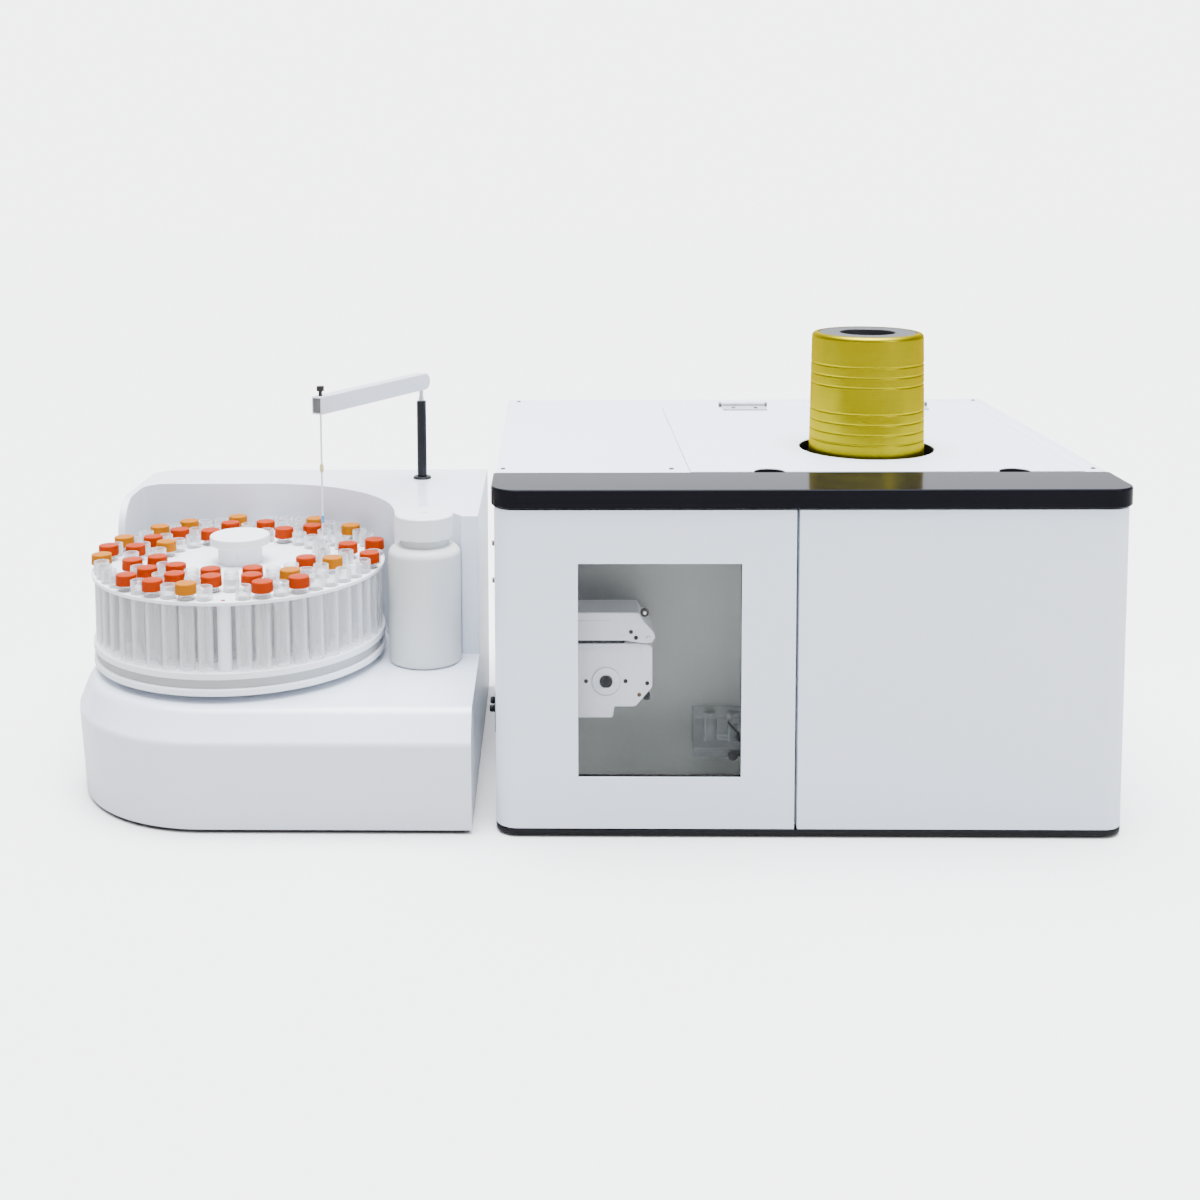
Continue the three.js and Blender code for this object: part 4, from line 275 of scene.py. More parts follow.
def from_node(node):
    """A copy of a CAD node's mesh, with its points merged and its flat faces made whole."""
    shape = bmesh.new()
    shape.from_mesh(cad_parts[node].data)
    bmesh.ops.remove_doubles(shape, verts=shape.verts, dist=MERGE_DISTANCE)
    bmesh.ops.dissolve_limit(shape, angle_limit=FLAT_ANGLE, verts=shape.verts, edges=shape.edges)
    return as_mesh(shape)


def show(name, mesh, material, body, slot=None, *nodes):
    """A finished piece on its body, in place of its nodes, if it has any; with a slot, its normals are
    weighted.
    """
    if not mesh.has_custom_normals:
        mesh.shade_smooth()
        mesh.set_sharp_from_angle(angle=SHARP_ANGLE)
        if slot:
            mesh = settled(mesh, ("WEIGHTED_NORMAL", {"keep_sharp": True}))
    mesh.materials.clear()
    mesh.materials.append(material)
    mesh.name = name
    piece = bpy.data.objects.new(name, mesh)
    scene.collection.objects.link(piece)
    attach(piece, body)
    if nodes:
        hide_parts(*nodes)


def show_node(name, node, edge, material, body, slot, segments=2):
    """A piece with the shape of its node and rounded edges."""
    show(name, soft_edges(from_node(node), edge, segments), material, body, slot, node)


def along(axis, a, b, depth):
    """A point from its two places across an axis and its place along it."""
    return {"X": (depth, a, b), "Y": (a, depth, b), "Z": (a, b, depth)}[axis]


def lathed(profile, centre, axis="Z", sides=72):
    """Turns a profile of (radius, height) about an axis through a centre. The profile starts and
    ends on the axis, or closes on itself."""
    shape = bmesh.new()
    rings = []
    for radius, height in profile:
        count = sides if radius > 0 else 1
        turns = [2 * math.pi * i / count for i in range(count)]
        points = [along(axis, radius * math.cos(a), radius * math.sin(a), height) for a in turns]
        rings.append([shape.verts.new(Vector(point) + Vector(centre)) for point in points])
    closed = all(len(ring) > 1 for ring in rings)
    for low, high in zip(rings, rings[1:] + rings[:1] if closed else rings[1:]):
        for i in range(sides):
            j = (i + 1) % sides
            corners = [low[i % len(low)], low[j % len(low)], high[j % len(high)], high[i % len(high)]]
            kept = list(dict.fromkeys(corners))
            if len(kept) > 2:
                shape.faces.new(kept)
    return as_mesh(shape)


def upright(node):
    """The point on the floor under a node's middle."""
    low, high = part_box(node)
    return ((low.x + high.x) / 2, (low.y + high.y) / 2, 0)


satin_black = finish(
    "satin_black_paint", (0.006, 0.006, 0.007), (0.011, 0.011, 0.012), (0.38, 0.1), (700, 3e-5),
    shader={"Specular IOR Level": 0.16},
)
PLINTH_EDGE = 0.0006
show_node("plinth", "base_plinth", PLINTH_EDGE, satin_black, "housing", "plinth_black", 3)

rubber = finish(
    "black_rubber", (0.008, 0.008, 0.008), (0.016, 0.0155, 0.015), (0.7, 0.15), (1500, 6e-5),
    shader={"Specular IOR Level": 0.16},
)
FOOT_ROUND = 0.0008
for corner in ("front_left", "front_right", "rear_left", "rear_right"):
    low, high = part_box("foot_" + corner)
    radius = (high.x - low.x) / 2
    profile = [
        (0, low.z), (radius - FOOT_ROUND, low.z), (radius, low.z + FOOT_ROUND),
        (radius, high.z - FOOT_ROUND), (radius - FOOT_ROUND, high.z), (0, high.z),
    ]
    pad = lathed(profile, upright("foot_" + corner))
    show("foot_pad_" + corner, pad, rubber, "housing", "rubber_black", "foot_" + corner)

# Side panels: steel sheets folded in at the top and bottom, with a white powder coat whose fine
# orange-peel shows in grazing light. The left one has a moulded port for the sampler's tubing.
powder_coat = finish(
    "white_powder_coat", (0.79, 0.85, 0.95), (0.83, 0.88, 0.97), (0.42, 0.08), (900, 4e-5), 3.0,
    {"Specular IOR Level": 0.45, "Coat Weight": 0.12, "Coat Roughness": 0.25},
)
SHEET_EDGE = 0.0005
for side in ("left", "right"):
    show_node(side + "_skin", side + "_side_panel", SHEET_EDGE, powder_coat, "housing", "powder_white")

black_plastic = finish(
    "black_moulded_plastic", (0.007, 0.007, 0.008), (0.013, 0.013, 0.014), (0.45, 0.12), (1300, 5e-5),
    shader={"Specular IOR Level": 0.2},
)
SMALL_EDGE = 0.0004
PORT_SHEET = 0.002
PORT_CORNER = 0.004
NIPPLE_RADIUS = 0.004
NIPPLE_BORE = 0.0022
NIPPLE_PLACES = (0.3, 0.7)
BARB_SHAPE = ((1, 0.001), (1, -0.0015), (0.8, -0.002), (1, -0.003))
BARB_TIP = 0.75


def stepped(radius, start, shape):
    """A profile from shares of a radius and places counted from a start."""
    return [(radius * share, start + place) for share, place in shape]


def carved(mesh, *tools, how="DIFFERENCE"):
    """Cuts tools out of a mesh, or joins them to it."""
    holders = [bpy.data.objects.new("tool", tool) for tool in tools]
    for holder in holders:
        scene.collection.objects.link(holder)
    steps = [("BOOLEAN", {"object": holder, "operation": how, "solver": "EXACT"}) for holder in holders]
    result = settled(mesh, *steps)
    for holder in holders:
        bpy.data.objects.remove(holder)
    if "custom_normal" in result.attributes:
        result.attributes.remove(result.attributes["custom_normal"])
    return result


def joined(mesh, *others):
    """One closed shell of several."""
    return carved(mesh, *others, how="UNION")


def loft(rings):
    """A closed skin through rings of as many points each."""
    shape = bmesh.new()
    levels = [[shape.verts.new(point) for point in ring] for ring in rings]
    shape.faces.new(levels[0])
    shape.faces.new(levels[-1])
    for one, two in zip(levels, levels[1:]):
        for i in range(len(one)):
            j = (i + 1) % len(one)
            shape.faces.new((one[i], one[j], two[j], two[i]))
    return as_mesh(shape)


def prism(outline, low, high, axis="Z"):
    """A closed outline of points, drawn out along an axis."""
    return loft([[along(axis, a, b, depth) for a, b in outline] for depth in (low, high)])


def arc(centre, radius, start, end, steps=24):
    """Points on an arc, in degrees."""
    angles = [math.radians(start + (end - start) * i / steps) for i in range(steps + 1)]
    return [(centre[0] + radius * math.cos(a), centre[1] + radius * math.sin(a)) for a in angles]


low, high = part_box("side_port_plate")
face = high.x - PORT_SHEET
left_y, right_y = low.y + PORT_CORNER, high.y - PORT_CORNER
low_z, high_z = low.z + PORT_CORNER, high.z - PORT_CORNER
corners = []
for i, middle in enumerate(((right_y, high_z), (left_y, high_z), (left_y, low_z), (right_y, low_z))):
    corners += arc(middle, PORT_CORNER, 90 * i, 90 * i + 90, 6)
port = soft_edges(prism(corners, face, high.x, "X"), SMALL_EDGE, 2)
barb = [
    (NIPPLE_BORE, face + PORT_SHEET / 2), *stepped(NIPPLE_RADIUS, face, BARB_SHAPE),
    (NIPPLE_RADIUS * BARB_TIP, low.x), (NIPPLE_BORE, low.x),
]
for share in NIPPLE_PLACES:
    axis_place = (0, low.y + share * (high.y - low.y), (low.z + high.z) / 2)
    port = joined(port, lathed(barb, axis_place, "X", 32))
show("tubing_port", port, black_plastic, "housing", "trim_black", "side_port_plate")

# Top cover, lid and hinges: flat powder-coated sheets with a thin dark joint between them. The lid
# has a collared hole for the chimney and two half-round notches at its front edge, all with black
# linings, and turns in two hinges of pale steel. The black lining of the hole is painted shade of
# the gap round the chimney.
show_node("top_skin", "top_cover", SHEET_EDGE, powder_coat, "housing", "powder_white")

CHIMNEY_X = 0.3195
CHIMNEY_Y = -0.05915
LID_HOLE = 0.073
LID_SHEET = 0.0027
COLLAR_SHEET = 0.002
NOTCH_RADIUS = 0.016
NOTCH_SPREAD = 0.1245
NOTCH_STEPS = 36
ROUND_SIDES = 128
CUT = 0.01


def block(x, y, z):
    """A box between pairs of x, y and z."""
    return prism([(x[0], y[0]), (x[1], y[0]), (x[1], y[1]), (x[0], y[1])], *z)


def sleeve(inner, outer, low, high):
    """The profile of a plain tube."""
    return [(inner, low), (outer, low), (outer, high), (inner, high)]


def drum(radius, span, centre, axis="Z", sides=48):
    """A plain cylinder along an axis, for joining and cutting."""
    return lathed(sleeve(0, radius, *span), centre, axis, sides)


flue = (CHIMNEY_X, CHIMNEY_Y, 0)
low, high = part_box("lid_panel")
left_notch, right_notch = [(CHIMNEY_X + reach, low.y) for reach in (-NOTCH_SPREAD, NOTCH_SPREAD)]
lid_outline = [
    (low.x, high.y), (low.x, low.y), *arc(left_notch, NOTCH_RADIUS, 180, 0, NOTCH_STEPS),
    *arc(right_notch, NOTCH_RADIUS, 180, 0, NOTCH_STEPS), (high.x, low.y), (high.x, high.y),
]
lid = joined(
    prism(lid_outline, high.z - LID_SHEET, high.z),
    drum(LID_HOLE + COLLAR_SHEET, (low.z, high.z - LID_SHEET / 2), flue, sides=ROUND_SIDES),
)
lid = carved(lid, drum(LID_HOLE, (low.z - CUT, high.z + CUT), flue, sides=ROUND_SIDES))
show("lid_skin", soft_edges(lid, SHEET_EDGE, 2), powder_coat, "lid", "powder_white", "lid_panel")

TRIM_SHEET = 0.0008
LINING_DEPTH = 0.010
trim_top = high.z - TRIM_SHEET
# The black sleeve in the chimney hole is painted shade: it darkens the gap round the chimney, which lies in
# shade.
trim = lathed(sleeve(LID_HOLE - TRIM_SHEET, LID_HOLE, low.z, trim_top), flue, sides=ROUND_SIDES)
show("lid_hole_trim", trim, black_plastic, "lid", "trim_black")
for side, notch in (("left", left_notch), ("right", right_notch)):
    edge = [
        *arc(notch, NOTCH_RADIUS, 180, 0, NOTCH_STEPS),
        *arc(notch, NOTCH_RADIUS - TRIM_SHEET, 0, 180, NOTCH_STEPS),
    ]
    lining = prism(edge, high.z - LINING_DEPTH, trim_top)
    show(side + "_notch_liner", lining, black_plastic, "lid", "trim_black")

dulled_steel = finish(
    "dulled_steel", (0.10, 0.092, 0.08), (0.16, 0.148, 0.128), (0.45, 0.2), (500, 1e-5), 60.0,
    {"Metallic": 0.7},
)
pale_steel = finish(
    "pale_hinge_steel", (0.42, 0.43, 0.45), (0.52, 0.53, 0.55), (0.4, 0.15), (500, 1e-5), 60.0,
    {"Metallic": 0.15},
)
KNUCKLE_RADIUS = 0.003
KNUCKLE_GAP = 0.0003
LEAF_SHEET = 0.0016
FINE_EDGE = 0.0003
PIN_HEAD = 0.0035
PIN_HEAD_RADIUS = KNUCKLE_RADIUS * 0.95
PIN_EDGE = 0.0006
for side in ("left", "right"):
    base_low, base_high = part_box("lid_hinge_base_" + side)
    leaf_low, leaf_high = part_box("lid_hinge_leaf_" + side)
    third = (base_high.x - base_low.x) / 3
    inner = (base_low.x + third, base_high.x - third)
    pin = (0, base_low.y + KNUCKLE_RADIUS, base_low.z + KNUCKLE_RADIUS)
    swept = KNUCKLE_RADIUS + KNUCKLE_GAP
    sheet_z = (base_low.z, base_low.z + LEAF_SHEET)
    base = block((base_low.x, base_high.x), (pin[1], base_high.y), sheet_z)
    base = carved(base, drum(swept, (inner[0] - KNUCKLE_GAP, inner[1] + KNUCKLE_GAP), pin, "X"))
    leaf = block((leaf_low.x, leaf_high.x), (leaf_low.y, pin[1]), sheet_z)
    for ends in ((base_low.x, inner[0] - KNUCKLE_GAP), (inner[1] + KNUCKLE_GAP, base_high.x)):
        base = joined(base, drum(KNUCKLE_RADIUS, ends, pin, "X"))
        wide = (ends[0] - KNUCKLE_GAP / 2, ends[1] + KNUCKLE_GAP / 2)
        leaf = carved(leaf, drum(swept, wide, pin, "X"))
    leaf = joined(leaf, drum(KNUCKLE_RADIUS, inner, pin, "X"))
    heads = [
        soft_edges(drum(PIN_HEAD_RADIUS, span, pin, "X", 32), PIN_EDGE, 2)
        for span in ((base_low.x - PIN_HEAD, base_low.x), (base_high.x, base_high.x + PIN_HEAD))
    ]
    show("hinge_pin_" + side, joined(*heads), dulled_steel, "housing", "hinge_metal")
    for name, shape, body in (("base", base, "housing"), ("leaf", leaf, "lid")):
        show("hinge_" + name + "_" + side, soft_edges(shape, FINE_EDGE, 2), pale_steel, body, "hinge_metal",
             "lid_hinge_" + name + "_" + side)

# Screws: one pan head with a cross recess, set on a cloud of points by a node tree that turns each
# one by its own angle. The points lie where a sheet or a hinge leaf is held down. Two socket screws
# hold the left side panel at its front edge.
SCREW_RADIUS = 0.0026
SCREW_HEIGHT = 0.0013
DOME_SHAPE = ((0, 0), (1, 0), (1, 0.35), (0.86, 0.8), (0.55, 1), (0, 1))
CROSS_HALF = SCREW_RADIUS * 0.13
CROSS_REACH = SCREW_RADIUS * 0.6
CROSS_FLOOR = SCREW_HEIGHT * 0.45
across = (-CROSS_HALF, CROSS_HALF)
lengthwise = (-CROSS_REACH, CROSS_REACH)
recessed = (CROSS_FLOOR, SCREW_HEIGHT * 2)
screw_mesh = carved(
    lathed([(SCREW_RADIUS * x, SCREW_HEIGHT * z) for x, z in DOME_SHAPE], (0, 0, 0), sides=32),
    block(lengthwise, across, recessed),
    block(across, lengthwise, recessed),
)
screw_head = bpy.data.objects.new("screw_head", screw_mesh)
scatter = node_group(
    "heads_on_points", "GeometryNodeTree",
    {"Geometry": "Geometry", "Head": "Object", "Material": "Material", "Seed": "Int"},
    {"Geometry": "Geometry"},
)
wire(
    scatter,
    {
        "head": ("GeometryNodeObjectInfo", {}),
        "spin": ("FunctionNodeRandomValue", {"data_type": "FLOAT", "Max": math.pi}),
        "turn": ("ShaderNodeCombineXYZ", {}),
        "stand": ("GeometryNodeInstanceOnPoints", {}),
        "realize": ("GeometryNodeRealizeInstances", {}),
        "paint": ("GeometryNodeSetMaterial", {}),
    },
    "in.Head > head.Object", "in.Seed > spin.Seed", "spin.Value > turn.Z", "in.Geometry > stand.Points",
    "head.Geometry > stand.Instance", "turn.Vector > stand.Rotation",
    "stand.Instances > realize.Geometry", "realize.Geometry > paint.Geometry",
    "in.Material > paint.Material", "paint.Geometry > out.Geometry",
)


def scattered(points, head_object, material, seed):
    """Copies of a small object standing on points, as one mesh."""
    cloud = bpy.data.meshes.new("cloud")
    cloud.from_pydata([tuple(point) for point in points], [], [])
    holder = bpy.data.objects.new("cloud", cloud)
    scene.collection.objects.link(holder)
    modifier = holder.modifiers.new("heads", "NODES")
    modifier.node_group = scatter
    values = {"Head": head_object, "Material": material, "Seed": seed}
    for item in scatter.interface.items_tree:
        if item.item_type == "SOCKET" and item.in_out == "INPUT" and item.name in values:
            modifier[item.identifier] = values[item.name]
    graph = bpy.context.evaluated_depsgraph_get()
    mesh = bpy.data.meshes.new_from_object(holder.evaluated_get(graph), depsgraph=graph)
    bpy.data.objects.remove(holder)
    return mesh


COVER_SCREWS = ((-0.0707, 0.262), (0.524, 0.262), (-0.0778, -0.176), (0.096, -0.1777), (0.5265, -0.1794))
top_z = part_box("top_cover")[1].z
cover_points = [(x, y, top_z) for x, y in COVER_SCREWS]
show("top_screws", scattered(cover_points, screw_head, dulled_steel, 4), dulled_steel, "housing",
     "hinge_metal")
BASE_INSET = 0.010
BASE_REACH = 0.0215
TIP_INSET = 0.009
TIP_REACH = 0.014
leaf_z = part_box("lid_hinge_base_left")[0].z + LEAF_SHEET
for side in ("left", "right"):
    middle = upright("lid_hinge_base_" + side)[0]
    base_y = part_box("lid_hinge_base_" + side)[1].y - BASE_INSET
    leaf_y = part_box("lid_hinge_leaf_" + side)[0].y + TIP_INSET
    for name, body, y, reach in (
        ("base", "housing", base_y, BASE_REACH), ("leaf", "lid", leaf_y, TIP_REACH),
    ):
        points = [(middle + sign * reach, y, leaf_z) for sign in (-1, 1)]
        show("hinge_screws_" + name + "_" + side, scattered(points, screw_head, dulled_steel, 9),
             dulled_steel, body, "hinge_metal")

SIDE_SCREWS = ((-0.244, 0.2894), (-0.244, 0.2518))
SIDE_RADIUS = 0.0026
SIDE_RISE = 0.0026
OVERLAP = 0.001
side_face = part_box("left_side_panel")[0].x
side_heads = []
for y, z in SIDE_SCREWS:
    side_head = drum(SIDE_RADIUS, (side_face - SIDE_RISE, side_face + OVERLAP), (0, y, z), "X", 32)
    socket_x = (side_face - SIDE_RISE - OVERLAP, side_face - SIDE_RISE / 2)
    side_heads.append(carved(
        soft_edges(side_head, SMALL_EDGE, 2), drum(SIDE_RADIUS / 2, socket_x, (0, y, z), "X", 6),
    ))
show("side_screws", joined(*side_heads), dulled_steel, "housing", "hinge_metal")

# Visor: a polished black plate across the front of the top, with rounded front corners and a
# bevelled rim, and the two upper door pins under it.
gloss_black = finish(
    "polished_black", (0.004, 0.004, 0.006), (0.006, 0.006, 0.009), (0.13, 0.08), (300, 4e-6), 4.0,
    {"IOR": 1.13},
)
VISOR_CORNER = 0.025
VISOR_HEIGHT = 0.019
VISOR_BEVEL = 0.0022
PIN_RADIUS = 0.003
PIVOT_Y = -0.25315
LEFT_PIVOT_X = -0.0625
RIGHT_PIVOT_X = 0.5135
low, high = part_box("visor_plate")
visor_outline = [
    (high.x, high.y), (low.x, high.y),
    *arc((low.x + VISOR_CORNER, low.y + VISOR_CORNER), VISOR_CORNER, 180, 270),
    *arc((high.x - VISOR_CORNER, low.y + VISOR_CORNER), VISOR_CORNER, 270, 360),
]
visor = soft_edges(prism(visor_outline, high.z - VISOR_HEIGHT, high.z), VISOR_BEVEL, 4)
for x in (LEFT_PIVOT_X, RIGHT_PIVOT_X):
    visor = joined(visor, drum(PIN_RADIUS, (low.z, high.z - VISOR_HEIGHT / 2), (x, PIVOT_Y, 0), sides=24))
show("visor", visor, gloss_black, "housing", "gloss_black", "visor_plate")

# Chimney: a turned tube, anodised gold, with rows of grooves, a near-black liner in its bore and a
# dark ring let into its mouth. The turning marks run round it, so their stripes follow the distance
# from its axis and the height.
turning_marks = effect_group(
    "turning_marks",
    {"Shift": "Vector", "Pitch": "Float", "Depth": "Float"},
    {
        "centre": ("ShaderNodeMapping", {}),
        "apart": ("ShaderNodeSeparateXYZ", {}),
        "flat": ("ShaderNodeCombineXYZ", {}),
        "reach": ("ShaderNodeVectorMath", {"operation": "LENGTH"}),
        "stripe": ("ShaderNodeCombineXYZ", {}),
        "marks": ("ShaderNodeTexNoise", {"Detail": 6}),
    },
    "place.Object > centre.Vector", "in.Shift > centre.Location", "centre.Vector > apart.Vector",
    "apart.X > flat.X", "apart.Y > flat.Y", "flat.Vector > reach.0", "reach.Value > stripe.X",
    "apart.Z > stripe.Z", "stripe.Vector > marks.Vector", "in.Pitch > marks.Scale",
    "marks.Fac > blend.Factor", "marks.Fac > centred.0", "marks.Fac > bump.Height",
    "in.Depth > bump.Distance",
)


def turned_finish(name, first, second, rough, marks, middle, shader=None):
    """A turned metal about an upright axis: marks is a pitch and a depth."""
    values = {"Shift": (-middle[0], -middle[1], 0), "Pitch": marks[0], "Depth": marks[1]}
    return effect_material(
        name, turning_marks, first, second, rough, values, {"Metallic": 1.0, **(shader or {})},
    )


gold = turned_finish(
    "gold_anodised_aluminium", (0.30, 0.25, 0.0), (0.38, 0.315, 0.0), (0.37, 0.12), (700, 4e-6), flue,
    {"Specular Tint": (0.8, 0.66, 0.0, 1)},
)
CHIMNEY_FOOT = (0.0625, 0.3263)
CHIMNEY_HEAD = (0.060, 0.478)
CHIMNEY_INNER = 0.053
CHIMNEY_BORE = 0.046
RING_SEAT = 0.469
CHIMNEY_EDGE = 0.005
GROOVE_DEPTH = 0.0006
GROOVE_HALF = 0.0012
GROOVE_PITCH = 0.0109
GROOVE_ROWS = ((0.3623, 4), (0.4236, 3))
GROOVE_SHAPE = ((-1.25, 0), (-1, 0.12), (-0.55, 0.75), (0, 1), (0.55, 0.75), (1, 0.12), (1.25, 0))
outside = [CHIMNEY_FOOT]
taper = (CHIMNEY_HEAD[0] - CHIMNEY_FOOT[0]) / (CHIMNEY_HEAD[1] - CHIMNEY_FOOT[1])
for first, count in GROOVE_ROWS:
    for i in range(count):
        z = first + i * GROOVE_PITCH
        radius = CHIMNEY_FOOT[0] + (z - CHIMNEY_FOOT[1]) * taper
        outside += [(radius - deep * GROOVE_DEPTH, z + share * GROOVE_HALF) for share, deep in GROOVE_SHAPE]
outside += arc((CHIMNEY_HEAD[0] - CHIMNEY_EDGE, CHIMNEY_HEAD[1] - CHIMNEY_EDGE), CHIMNEY_EDGE, 0, 90, 10)
chimney_profile = [
    *outside, (CHIMNEY_INNER, CHIMNEY_HEAD[1]), (CHIMNEY_INNER, RING_SEAT),
    (CHIMNEY_BORE, RING_SEAT), (CHIMNEY_BORE, CHIMNEY_FOOT[1]),
]
show("chimney_tube_skin", lathed(chimney_profile, flue, sides=160), gold, "chimney", "gold_anodised",
     "chimney_tube")

# A near-black sleeve lines the bore below the ring.
bore_black = turned_finish(
    "near_black_bore_metal", (0.004, 0.0035, 0.003), (0.010, 0.008, 0.006), (0.6, 0.15), (900, 1e-5), flue,
    {"Metallic": 0.0, "Specular IOR Level": 0.1},
)
LINER_SHEET = 0.001
LINER_GAP = 0.0005
liner_outer = CHIMNEY_BORE - LINER_GAP
liner = sleeve(liner_outer - LINER_SHEET, liner_outer, CHIMNEY_FOOT[1], RING_SEAT - LINER_GAP)
show("chimney_liner", lathed(liner, flue, sides=96), bore_black, "chimney", "trim_black")

ring_grey = turned_finish(
    "smoked_ring", (0.022, 0.023, 0.025), (0.036, 0.036, 0.038), (0.4, 0.15), (1400, 1e-5), flue,
    {"Metallic": 0.0, "Specular IOR Level": 0.3},
)
FLUE_RADIUS = 0.030
RING_EDGE = 0.0006
low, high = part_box("chimney_top_ring")
ring_outer = (high.x - low.x) / 2
ring_profile = [
    (FLUE_RADIUS, low.z), (ring_outer, low.z), (ring_outer, high.z - RING_EDGE),
    (ring_outer - RING_EDGE, high.z), (FLUE_RADIUS + RING_EDGE, high.z), (FLUE_RADIUS, high.z - RING_EDGE),
]
show("chimney_ring", lathed(ring_profile, flue, sides=ROUND_SIDES), ring_grey, "chimney",
     "bare_aluminium", "chimney_top_ring")

# Doors: folded sheets whose front corners wrap round the hinge pins. Both are drawn as the left
# one, and mirrored for the right. The left door has a window of clear acrylic in a black frame.
CABINET_LEFT = -0.0845
CABINET_RIGHT = 0.5355
CABINET_FRONT = -0.27515
CABINET_HEIGHT = 0.35
DOOR_CORNER = 0.022
DOOR_SHEET = 0.002
DOOR_RETURN = 0.014
DOOR_EDGE = 0.0007
WRAP_END = 170
WINDOW_X = (-0.0025, 0.1575)
WINDOW_Z = (0.0615, 0.2765)
WINDOW_DEPTH = 0.007
for side, edge_x, inward, pivot_x in (
    ("left", CABINET_LEFT, 1, LEFT_PIVOT_X), ("right", CABINET_RIGHT, -1, RIGHT_PIVOT_X),
):
    low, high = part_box(side + "_door_shell")
    width = high.x - CABINET_LEFT if side == "left" else CABINET_RIGHT - low.x
    middle = (DOOR_CORNER, DOOR_CORNER)
    edge = [(width, DOOR_RETURN), (width, 0), *arc(middle, DOOR_CORNER, 270, WRAP_END, 28)]
    skin = [
        *edge, *arc(middle, DOOR_CORNER - DOOR_SHEET, WRAP_END, 270, 28),
        (width - DOOR_SHEET, DOOR_SHEET), (width - DOOR_SHEET, DOOR_RETURN),
    ]
    cap = [
        *edge, (DOOR_CORNER + 2 * PIN_RADIUS, DOOR_CORNER + 2 * PIN_RADIUS),
        (DOOR_CORNER + 4 * PIN_RADIUS, DOOR_RETURN),
    ]
    sheets = ((skin, low.z, high.z), (cap, low.z, low.z + DOOR_SHEET), (cap, high.z - DOOR_SHEET, high.z))
    door = joined(*(
        prism([(edge_x + inward * x, CABINET_FRONT + y) for x, y in outline], *span)
        for outline, *span in sheets
    ))
    cuts = [drum(PIN_RADIUS + KNUCKLE_GAP, (0, CABINET_HEIGHT), (pivot_x, PIVOT_Y, 0), sides=24)]
    if side == "left":
        cuts.append(block(WINDOW_X, (CABINET_FRONT - CUT, CABINET_FRONT + WINDOW_DEPTH), WINDOW_Z))
    show(side + "_door_skin", soft_edges(carved(door, *cuts), DOOR_EDGE, 3), powder_coat, side + "_door",
         "powder_white", side + "_door_shell")

frame_black = finish(
    "window_frame_rubber", (0.004, 0.004, 0.005), (0.008, 0.008, 0.009), (0.6, 0.1), (1200, 4e-5),
    shader={"Specular IOR Level": 0.1},
)
# The pane's faint grey veil, its grey colour at a low alpha, is a painted reflection of the room on the
# acrylic.
pane = finish(
    "clear_acrylic_pane", (0.26, 0.265, 0.27), (0.32, 0.325, 0.33), (0.06, 0.03), (60, 4e-6), 5.0,
    {"Alpha": 0.035},
)
show_node("window_frame", "window_gasket", FINE_EDGE, frame_black, "left_door", "rubber_black")
show_node("window_sheet", "window_pane", FINE_EDGE, pane, "left_door", "clear_pane")

# Inner walls: bent grey sheets, the partition between the front bays, the wall at their back and
# the deck that carries the optics. A tray lies in each bay, and a black seal runs up the
# partition's front edge.
chamber_paint = finish(
    "chamber_grey_paint", (0.56, 0.575, 0.545), (0.63, 0.645, 0.615), (0.55, 0.15), (900, 6e-6), 6.0,
)
for node in ("centre_partition", "bay_wall", "optics_deck"):
    show_node(node + "_sheet", node, FINE_EDGE, chamber_paint, "housing", "chamber_grey")

TRAY_SHEET = 0.0006
TRAY_FRONT = -0.2460
TRAY_GAP = 0.0005
SEAL_SHEET = 0.0006
SEAL_INSET = 0.002
low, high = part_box("centre_partition")
wall_low, wall_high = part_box("bay_wall")
tray_y = (TRAY_FRONT, wall_low.y - TRAY_GAP)
for side, ends in (("left", (wall_low.x, low.x)), ("right", (high.x, wall_high.x))):
    tray = block((ends[0] + TRAY_GAP, ends[1] - TRAY_GAP), tray_y, (low.z, low.z + TRAY_SHEET))
    show(side + "_bay_tray", tray, chamber_paint, "housing", "chamber_grey")
seal = block(
    (low.x + SEAL_INSET, high.x - SEAL_INSET), (low.y - SEAL_SHEET, low.y),
    (low.z + SEAL_INSET, high.z - SEAL_INSET),
)
show("partition_seal", seal, frame_black, "housing", "rubber_black")

# Peristaltic pump: a stepped white moulding on the bay wall with the roller cage inside it, and the
# clamp hinged at its right above the slot for the pump tubes.
pump_white = finish(
    "white_pump_moulding", (0.84, 0.87, 0.93), (0.88, 0.90, 0.95), (0.42, 0.1), (1100, 6e-6), 14.0,
)
PUMP_LEFT = -0.0225
PUMP_WIDTH = 0.096
PUMP_BOTTOM = 0.105
PUMP_HEIGHT = 0.076
PUMP_FRONT = -0.23015
PUMP_BACK = -0.14745
PUMP_ROUND = 0.0018
ROTOR_X = 0.0265
ROTOR_Z = 0.1435
BOSS_RADIUS = 0.014
BOSS_HEIGHT = 0.0015
BOSS_ROOT = 0.006
BOSS_EDGE = 0.0006
BOSS_GROOVE = 0.0012
BROW_HEIGHT = 0.010
BROW_DEPTH = 0.004
CHAMBER_RADIUS = 0.031
OPENING_HALF = CHAMBER_RADIUS * 0.8
CHAMBER_Y = (-0.21815, -0.18355)
SHAFT_RADIUS = 0.0064
LUG_RADIUS = 0.007
CLAMP_PIN_RADIUS = 0.002
CLAMP_X = 0.0695
CLAMP_Z = 0.1883
CLAMP_BACK = -0.18415
PUMP_SHARES = ((0, 0), (0.58, 0), (0.6, 0.15), (0.82, 0.15), (1, 0.42), (1, 0.95), (0.96, 1), (0, 1))
pump_top = PUMP_BOTTOM + PUMP_HEIGHT
rotor_axis = (ROTOR_X, 0, ROTOR_Z)
clamp_axis = (CLAMP_X, 0, CLAMP_Z)
